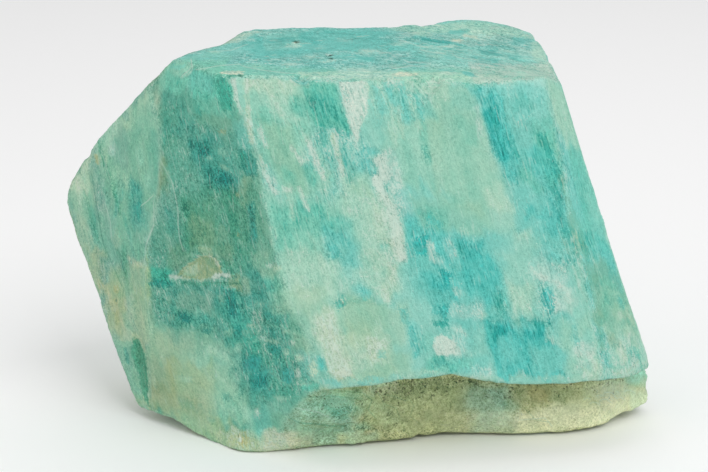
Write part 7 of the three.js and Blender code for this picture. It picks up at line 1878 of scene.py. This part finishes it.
# what the finest grain in the material does, point by point
crumbs = np.clip(crumbs + 0.14 * chip_mark + 0.25 * milk, 0, 1)
depths = np.clip(depths, 0, 1)
grit = np.clip(broken * (0.20 + 0.85 * smooth(30, 6, W_TRUE - brow + 5 * rag_grain) * smooth(650, 560, U) + 0.45 * fbm(P / 2.6, 2, 98)), 0, 1)
comb = (w_of["prismFront"] + w_of["prismBevel"] + 0.22 * w_of["prismLeft"] + 0.30 * w_of["sideLeft"] + 0.6 * w_of["prismRight"]
        + w_of["basal"] + 0.4 * backs)
kind = np.stack([np.clip(broken, 0, 1), np.clip(comb, 0, 1), w_of["basal"]], 1)
hidden_grain = np.clip(0.28 + 0.25 * fbm(P / 5.0, 2, 99), 0, 1) * hidden * (1 - broken)
crumbs = np.clip(crumbs + hidden_grain, 0, 1)
depths = np.clip(depths + hidden_grain, 0, 1)
marks = np.stack([crumbs, depths, grit], 1)
force = 0.30 + 0.88 * np.clip(crumbs * 0.35 + depths * 1.3, 0, 1.1)
force = force * (1 + 0.15 * (w_of["prismFront"] + w_of["prismBevel"]) + 0.72 * w_of["prismLeft"] + 0.85 * w_of["sideLeft"] + 1.20 * w_of["basal"]
                 + 0.75 * broken + 1.05 * rugged)
force = force * np.clip(1 + 0.35 * fbm(P / 3.0, 3, 99), 0.5, 1.6)
# the top's own grain: long flat streaks that swing forward to the right
swing = 0.10 + 0.50 * smooth(2.0, 14.0, P[:, 0])
sheet = np.stack([P[:, 0] / 3.2, (P[:, 1] + swing * (P[:, 0] - 6.0)) / 0.85, P[:, 2] / 0.85], 1)
print("paint", round(time.perf_counter() - _t0, 1), "s")


# ---------------------------------------------------------------- mesh into Blender
def lay_flat(V, T, R):
    """A flat place for each corner of each triangle: one chart a face, packed in shelves on a square."""
    dense = {"underside": 0.55, "seat": 0.55, "backUpper": 0.75, "backLower": 0.75, "backStep": 0.75, "backLeft": 0.75,
             "prismRight": 0.8, "shoulder": 0.8, "overhang": 0.7}
    flat = np.zeros((len(T), 3, 2))
    sizes = []
    for name, f in FID.items():
        k = R == f
        q = V[T[k]]
        n = np.cross(q[:, 1] - q[:, 0], q[:, 2] - q[:, 0]).sum(0)
        n /= np.linalg.norm(n)
        x = np.cross([0, 0, 1.0] if abs(n[2]) < 0.8 else [0, 1.0, 0], n)
        x /= np.linalg.norm(x)
        y = np.cross(n, x)
        uv = np.stack([q @ x, q @ y], 2)
        if np.ptp(uv[..., 1]) > np.ptp(uv[..., 0]):
            uv = np.stack([uv[..., 1], -uv[..., 0]], 2)
        uv = (uv - uv.reshape(-1, 2).min(0)) * dense.get(name, 1.0)
        flat[k] = uv
        sizes.append((f, *uv.reshape(-1, 2).max(0)))
    gap = 0.9
    best = None
    for wide in np.linspace(0.8, 1.6, 60) * math.sqrt(sum(w * h for _, w, h in sizes)):
        x = y = tall = used = 0.0
        spots = {}
        for f, w, h in sorted(sizes, key=lambda s: -s[2]):
            if x + w > wide and x > 0:
                x, y, tall = 0.0, y + tall + gap, 0.0
            spots[f] = (x, y)
            x += w + gap
            tall = max(tall, h)
            used = max(used, x)
        side = max(used, y + tall + gap)
        if best is None or side < best[0]:
            best = (side, spots)
    side, spots = best
    for f, at in spots.items():
        flat[R == f] += np.array(at) + gap / 2
    return flat / side


def put_mesh(name, V, T, fields, flat):
    me = bpy.data.meshes.new(name)
    me.vertices.add(len(V))
    me.vertices.foreach_set("co", (V * 0.001).astype(np.float32).ravel())
    me.loops.add(len(T) * 3)
    me.loops.foreach_set("vertex_index", T.astype(np.int32).ravel())
    me.polygons.add(len(T))
    me.polygons.foreach_set("loop_start", np.arange(0, len(T) * 3, 3, dtype=np.int32))
    me.polygons.foreach_set("loop_total", np.full(len(T), 3, np.int32))
    me.update(calc_edges=True)
    me.polygons.foreach_set("use_smooth", np.ones(len(T), bool))
    me.uv_layers.new(name="OFBake").data.foreach_set("uv", flat.astype(np.float32).ravel())
    for key, (sort, val) in fields.items():
        at = me.attributes.new(key, sort, "POINT")
        if sort == "FLOAT_COLOR":
            at.data.foreach_set("color", np.hstack([val, np.ones((len(val), 1))]).astype(np.float32).ravel())
        elif sort == "FLOAT":
            at.data.foreach_set("value", val.astype(np.float32))
        else:
            at.data.foreach_set("vector", val.astype(np.float32).ravel())
    me.validate()
    ob = bpy.data.objects.new(name, me)
    bpy.context.scene.collection.objects.link(ob)
    return ob


# long thin chips of stray triangles would show as creases, so the skin is checked to be closed
_e = edges_of(S.T, S.n)
assert (np.bincount(_e[2]) == 2).all()
stone = put_mesh("amazonite_stone", S.V, S.T, {
    "tint": ("FLOAT_COLOR", tint), "marks": ("FLOAT_COLOR", marks), "kind": ("FLOAT_COLOR", kind),
    "grain": ("FLOAT_VECTOR", grain_dir), "sheet": ("FLOAT_VECTOR", sheet), "force": ("FLOAT", force),
    "over": ("FLOAT_COLOR", over), "over_edge": ("FLOAT_VECTOR", np.stack([over_at, over_by, over_fray], 1)),
    "pale_line": ("FLOAT_VECTOR", strands["pale"]), "dark_line": ("FLOAT_VECTOR", strands["dark"])}, lay_flat(SKIN, S.T, S.R))
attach(stone, "root")
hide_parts("amazonite_crystal")


# ---------------------------------------------------------------- the stone's material
mat = bpy.data.materials.new("amazonite")
mat.use_nodes = True
tree = mat.node_tree
bsdf = tree.nodes["Principled BSDF"]


def node(kind_, **settings):
    n = tree.nodes.new(kind_)
    for key, val in settings.items():
        if hasattr(n, key):
            setattr(n, key, val)
        else:
            n.inputs[key.replace("_", " ")].default_value = val
    return n


def into(socket, value):
    if isinstance(value, bpy.types.NodeSocket):
        tree.links.new(value, socket)
    elif value is not None:
        socket.default_value = value


def m(op, a, b=None, c=None, clamp=False):
    n = node("ShaderNodeMath", operation=op, use_clamp=clamp)
    for s, v in zip(n.inputs, (a, b, c)):
        into(s, v)
    return n.outputs[0]


def vm(op, a, b=None, c=None, scale=None):
    n = node("ShaderNodeVectorMath", operation=op)
    for s, v in zip(n.inputs, (a, b, c)):
        into(s, v)
    if scale is not None:
        into(n.inputs["Scale"], scale)
    return n.outputs[0]


def ramp(x, lo, hi):
    n = node("ShaderNodeMapRange", interpolation_type="SMOOTHSTEP")
    into(n.inputs["Value"], x)
    n.inputs["From Min"].default_value = lo
    n.inputs["From Max"].default_value = hi
    return n.outputs["Result"]


def blend(fac, a, b):
    n = node("ShaderNodeMix", data_type="RGBA")
    into(n.inputs["Factor"], fac)
    into(n.inputs[6], a)
    into(n.inputs[7], b)
    return n.outputs[2]


def fine_noise(place, stretch, detail=2.0, rough=0.55):
    """Noise with a spread of about 1 and features of the size stretch in mm."""
    n = node("ShaderNodeTexNoise", noise_dimensions="3D")
    into(n.inputs["Vector"], vm("MULTIPLY", place, tuple(1.0 / s for s in stretch)))
    n.inputs["Scale"].default_value = 1.0
    n.inputs["Detail"].default_value = detail
    n.inputs["Roughness"].default_value = rough
    return m("MULTIPLY_ADD", n.outputs[0], 8.6, -4.3)


def flecks(place, stretch):
    """A level for each of many small blocky cells, -1 to 1."""
    n = node("ShaderNodeTexVoronoi", feature="F1")
    into(n.inputs["Vector"], vm("MULTIPLY", place, tuple(1.0 / s for s in stretch)))
    n.inputs["Scale"].default_value = 1.0
    split_ = node("ShaderNodeSeparateColor")
    into(split_.inputs[0], n.outputs["Color"])
    return m("MULTIPLY_ADD", split_.outputs[0], 2.0, -1.0)


def attribute(name):
    return node("ShaderNodeAttribute", attribute_name=name)


def parts_of(name):
    s = node("ShaderNodeSeparateColor")
    into(s.inputs[0], attribute(name).outputs["Color"])
    return s.outputs


grain_at = attribute("grain").outputs["Vector"]
sheet_at = attribute("sheet").outputs["Vector"]
crumb_at, depth_at, grit_at = parts_of("marks")
rough_at, prism_at, top_at = parts_of("kind")


def specks(place, stretch, lo, hi, few):
    """Small crisp grains, scattered: only cells past the level few hold one."""
    n = node("ShaderNodeTexVoronoi", feature="F1")
    into(n.inputs["Vector"], vm("MULTIPLY", place, tuple(1.0 / s for s in stretch)))
    n.inputs["Scale"].default_value = 1.0
    split_ = node("ShaderNodeSeparateColor")
    into(split_.inputs[0], n.outputs["Color"])
    return m("MULTIPLY", ramp(n.outputs["Distance"], hi, lo), m("GREATER_THAN", split_.outputs[1], few))


def ridge(x, wide_):
    """Thin lines where a noise passes through zero."""
    return ramp(m("ABSOLUTE", x), wide_, wide_ * 0.15)


sugar = fine_noise(grain_at, (0.135, 0.135, 0.15), 0.0, 0.6)
grain2 = fine_noise(grain_at, (0.30, 0.30, 0.36), 2.0, 0.65)
fibre = fine_noise(grain_at, (0.20, 0.20, 1.5), 1.0, 0.6)
streak = fine_noise(grain_at, (0.55, 0.55, 2.8), 3.0, 0.6)
cloud = fine_noise(grain_at, (1.4, 1.4, 2.0), 3.0, 0.6)
block = flecks(grain_at, (0.22, 0.22, 0.42))
veins = fine_noise(vm("ADD", grain_at, (3.0, 17.0, 5.0)), (0.42, 0.42, 0.60), 1.0, 0.6)
veins = m("MULTIPLY_ADD", m("MINIMUM", m("ABSOLUTE", veins), 1.3), -1.6, 1.15)
web = fine_noise(grain_at, (0.62, 0.62, 1.25), 2.0, 0.6)
web2 = fine_noise(vm("ADD", grain_at, (31.0, 7.0, 13.0)), (0.50, 0.50, 1.5), 2.0, 0.6)
flat_fine = fine_noise(sheet_at, (0.26, 0.50, 0.50), 2.0, 0.6)
flat_wide = fine_noise(sheet_at, (0.9, 1.1, 1.1), 3.0, 0.6)
flat_web = fine_noise(vm("ADD", sheet_at, (5.0, 3.0, 9.0)), (0.75, 1.0, 1.0), 2.0, 0.6)

# fine: sugar everywhere, fibres where the prism is deep in colour, flat streaks on top
on_top = lambda a, b: m("MULTIPLY_ADD", m("SUBTRACT", b, a), top_at, a)
line_fine = on_top(fibre, flat_fine)
line_wide = on_top(streak, flat_wide)
hard = m("MULTIPLY_ADD", rough_at, -1.0, 1.0)
combed = m("MULTIPLY", ramp(m("MULTIPLY_ADD", cloud, 0.16, depth_at), 0.10, 0.55), prism_at)
fine = m("ADD", m("MULTIPLY", sugar, 0.48), m("MULTIPLY", grain2, 0.42))
fine = m("MULTIPLY_ADD", block, 0.55, fine)
fine = m("MULTIPLY_ADD", veins, 0.62, fine)
fine = m("MULTIPLY", fine, m("MULTIPLY_ADD", combed, -0.35, 1.0))
fine = m("ADD", fine, m("MULTIPLY", line_fine, m("MULTIPLY_ADD", combed, 1.35, m("MULTIPLY_ADD", prism_at, 0.22, 0.12))))
wide = m("ADD", m("MULTIPLY", line_wide, m("MULTIPLY_ADD", rough_at, -0.55, 0.6)), m("MULTIPLY", cloud, 0.60))
wide = m("MULTIPLY_ADD", grain2, 0.35, wide)

gain = vm("ADD", (0.215, 0.150, 0.158), vm("SCALE", (0.11, -0.065, -0.070), scale=combed))
gain = vm("ADD", gain, vm("SCALE", (-0.040, 0.005, 0.050), scale=rough_at))
gain = vm("SCALE", gain, scale=fine)
gain = vm("ADD", gain, vm("SCALE", vm("ADD", (0.150, 0.060, 0.068), vm("SCALE", (-0.03, 0.035, 0.045), scale=rough_at)), scale=wide))
gain = vm("SCALE", gain, scale=attribute("force").outputs["Fac"])
gain = vm("MAXIMUM", vm("ADD", gain, (1.0, 1.0, 1.0)), (0.22, 0.52, 0.52))
ground = attribute("tint").outputs["Color"]

# crisp marks, their edges frayed by the grain
mark_at = node("ShaderNodeSeparateXYZ")
into(mark_at.inputs[0], attribute("over_edge").outputs["Vector"])
fray = m("ADD", m("MULTIPLY", grain2, 0.50), m("MULTIPLY", line_fine, 0.45))
fray = m("MULTIPLY_ADD", block, 0.45, fray)
fray = m("MULTIPLY_ADD", sugar, 0.30, m("MULTIPLY_ADD", streak, 0.25, fray))
over_fac = m("MULTIPLY_ADD", m("MULTIPLY", fray, mark_at.outputs[2]), 1.9, mark_at.outputs[0])
over_fac = m("MULTIPLY", ramp(over_fac, 0.9, -1.1), mark_at.outputs[1])
broken_up = m("MULTIPLY_ADD", block, 0.18, m("MULTIPLY_ADD", grain2, 0.17, m("MULTIPLY_ADD", line_fine, 0.20, -0.12)))
broken_up = m("MULTIPLY_ADD", broken_up, mark_at.outputs[2], 0.93)
over_fac = m("MULTIPLY", over_fac, broken_up, clamp=True)
ground = blend(over_fac, ground, attribute("over").outputs["Color"])
colour = vm("MULTIPLY", ground, gain)

# pale crumbs and deep grains, thick where the attribute says, with ragged ends
ragged = m("ADD", m("MULTIPLY", line_wide, 0.09), m("ADD", m("MULTIPLY", grain2, 0.16), m("MULTIPLY", block, 0.16)))
ragged = m("MULTIPLY_ADD", sugar, 0.08, ragged)
ragged = m("MULTIPLY_ADD", cloud, 0.08, ragged)
pale_fac = ramp(m("ADD", crumb_at, ragged), 0.48, 0.72)
deep_fac = ramp(m("SUBTRACT", depth_at, ragged), 0.50, 0.76)
deeper = vm("MULTIPLY", colour, vm("ADD", (0.34, 0.86, 0.89), vm("SCALE", (0.20, -0.22, -0.33), scale=rough_at)))
colour = blend(m("MULTIPLY", deep_fac, 0.52), colour, deeper)
colour = vm("MULTIPLY", colour, vm("ADD", vm("SCALE", (0.22, 0.03, 0.03), scale=depth_at), (1.0, 1.0, 1.0)))
colour = blend(m("MULTIPLY", pale_fac, m("MULTIPLY_ADD", rough_at, -0.15, 0.60)), colour, blend(rough_at, (0.54, 0.675, 0.585, 1), (0.52, 0.56, 0.37, 1)))

# webs of thin pale strands through the sugary places, thin deep ones beside them
strand = ridge(on_top(web, flat_web), 0.22)
strand2 = ridge(on_top(web2, flat_web), 0.20)
sown = ramp(m("ADD", m("ADD", crumb_at, m("MULTIPLY", cloud, 0.10)), m("MULTIPLY", sugar, 0.06)), 0.16, 0.52)
colour = blend(m("MULTIPLY", m("MULTIPLY", strand, sown), 0.40), colour, (0.54, 0.68, 0.58, 1))
sunk = ramp(m("SUBTRACT", depth_at, m("MULTIPLY", cloud, 0.10)), 0.22, 0.60)
colour = blend(m("MULTIPLY", m("MULTIPLY", strand2, sunk), 0.45), colour, vm("MULTIPLY", colour, (0.40, 0.82, 0.86)))

# short thin dashes along the prism, pale and deep, apart from one another
dash = fine_noise(vm("ADD", grain_at, (11.0, 3.0, 41.0)), (0.19, 0.19, 1.25), 1.0, 0.55)
dash2 = fine_noise(vm("ADD", grain_at, (2.0, 29.0, 7.0)), (0.21, 0.21, 1.0), 1.0, 0.55)
upright = m("MULTIPLY", m("SUBTRACT", 1.0, top_at), hard)
pale_run = m("MULTIPLY", ramp(dash, 0.60, 1.45), ramp(m("MULTIPLY_ADD", cloud, 0.12, crumb_at), -0.02, 0.36))
deep_run = m("MULTIPLY", ramp(dash2, 0.60, 1.45), ramp(m("MULTIPLY_ADD", cloud, -0.12, depth_at), 0.02, 0.42))
pale_run = m("MULTIPLY", m("MULTIPLY", pale_run, upright), 0.52)
deep_run = m("MULTIPLY", m("MULTIPLY", deep_run, upright), 0.50)
colour = blend(deep_run, colour, vm("MULTIPLY", colour, (0.34, 0.86, 0.90)))
colour = blend(pale_run, colour, (0.50, 0.70, 0.60, 1))


# single hairlines, laid from their distance
def hairline(name):
    s = node("ShaderNodeSeparateXYZ")
    into(s.inputs[0], attribute(name).outputs["Vector"])
    far = m("ADD", m("ABSOLUTE", s.outputs[0]), m("MULTIPLY", m("ABSOLUTE", grain2), 0.35))
    return m("MULTIPLY", ramp(far, 1.5, 0.4), s.outputs[1])


pale_hair, dark_hair = hairline("pale_line"), hairline("dark_line")
colour = blend(m("MULTIPLY", pale_hair, 0.80), colour, (0.50, 0.70, 0.59, 1))
colour = blend(m("MULTIPLY", dark_hair, 0.85), colour, vm("MULTIPLY", colour, (0.34, 0.62, 0.60)))

# dark pits and pale grit on the broken faces
grit_place = vm("ADD", grain_at, vm("SCALE", (0.10, 0.10, 0.10), scale=grain2))
pit_fac = m("MULTIPLY", specks(grit_place, (0.42, 0.42, 0.46), 0.12, 0.30, 0.66), ramp(m("ADD", grit_at, m("MULTIPLY", cloud, 0.16)), 0.34, 0.66))
colour = blend(m("MULTIPLY", pit_fac, 0.84), colour, (0.036, 0.052, 0.022, 1))
crumb_fac = m("MULTIPLY", specks(vm("ADD", grit_place, (9.0, 4.0, 2.0)), (0.30, 0.30, 0.33), 0.14, 0.38, 0.45), rough_at)
colour = blend(m("MULTIPLY", crumb_fac, 0.26), colour, (0.56, 0.58, 0.38, 1))
into(bsdf.inputs["Base Color"], colour)

# relief and gloss of the finest grain
height = m("ADD", m("MULTIPLY", fine, 0.55), m("MULTIPLY", line_wide, 0.5))
height = m("MULTIPLY_ADD", pale_fac, 0.5, height)
height = m("SUBTRACT", height, m("MULTIPLY", pit_fac, 2.2))
height = m("MULTIPLY_ADD", crumb_fac, 1.0, height)
height = m("SUBTRACT", height, m("MULTIPLY", m("SUBTRACT", dark_hair, pale_hair), 1.0))
bump = node("ShaderNodeBump")
bump.inputs["Strength"].default_value = 1.0
bump.inputs["Distance"].default_value = 0.000045
into(bump.inputs["Height"], m("MULTIPLY", height, m("MULTIPLY_ADD", attribute("force").outputs["Fac"], 0.7, 0.3)))
into(bsdf.inputs["Normal"], bump.outputs[0])
rough = m("MULTIPLY_ADD", fine, 0.03, 0.56)
rough = m("MULTIPLY_ADD", rough_at, 0.20, rough)
rough = m("MULTIPLY_ADD", crumb_at, 0.08, rough, clamp=True)
into(bsdf.inputs["Roughness"], rough)
bsdf.inputs["Specular IOR Level"].default_value = 0.35
stone.data.materials.append(mat)


# ---------------------------------------------------------------- floor, light, camera
scene = bpy.context.scene
scene.view_settings.view_transform = "Standard"
scene.view_settings.look = "None"
scene.view_settings.exposure = 0.0
scene.view_settings.gamma = 1.0

bpy.ops.mesh.primitive_plane_add(size=3.0, location=(0, 0, 0))
floor = bpy.context.object
floor.name = "floor"
fm = bpy.data.materials.new("floor_paper")
fm.use_nodes = True
fb = fm.node_tree.nodes["Principled BSDF"]
fb.inputs["Base Color"].default_value = (0.97, 0.97, 0.97, 1)
fb.inputs["Roughness"].default_value = 0.9
fb.inputs["Specular IOR Level"].default_value = 0.1
floor.data.materials.append(fm)

world = bpy.data.worlds.new("studio")
scene.world = world
world.use_nodes = True
bg = world.node_tree.nodes["Background"]
bg.inputs["Color"].default_value = (1.0, 1.0, 1.0, 1)
bg.inputs["Strength"].default_value = 0.56


def softbox(name, place, aim, size, power, colour=(1, 1, 1)):
    from mathutils import Vector
    data = bpy.data.lights.new(name, "AREA")
    data.shape = "RECTANGLE"
    data.size, data.size_y = size
    data.energy = power
    data.color = colour
    ob = bpy.data.objects.new(name, data)
    ob.location = place
    ob.rotation_euler = (Vector(aim) - Vector(place)).to_track_quat("-Z", "Y").to_euler()
    scene.collection.objects.link(ob)
    return ob


softbox("key", (0.34, -0.50, 0.62), (0, 0, 0.02), (0.55, 0.55), 3.1)
softbox("fill", (-0.62, -0.42, 0.34), (0, 0, 0.02), (0.6, 0.6), 0.7)
softbox("top", (0.05, 0.12, 0.75), (0, 0, 0.02), (0.7, 0.7), 1.0)

cam_data = bpy.data.cameras.new("camera")
cam_data.sensor_width = 36
cam_data.lens = 100
cam_data.clip_start = 0.005
cam = bpy.data.objects.new("camera", cam_data)
cam.location = tuple(EYE * 0.001)
cam.rotation_euler = (math.pi / 2 - EYE_EL, 0, 0)
scene.collection.objects.link(cam)
scene.camera = cam
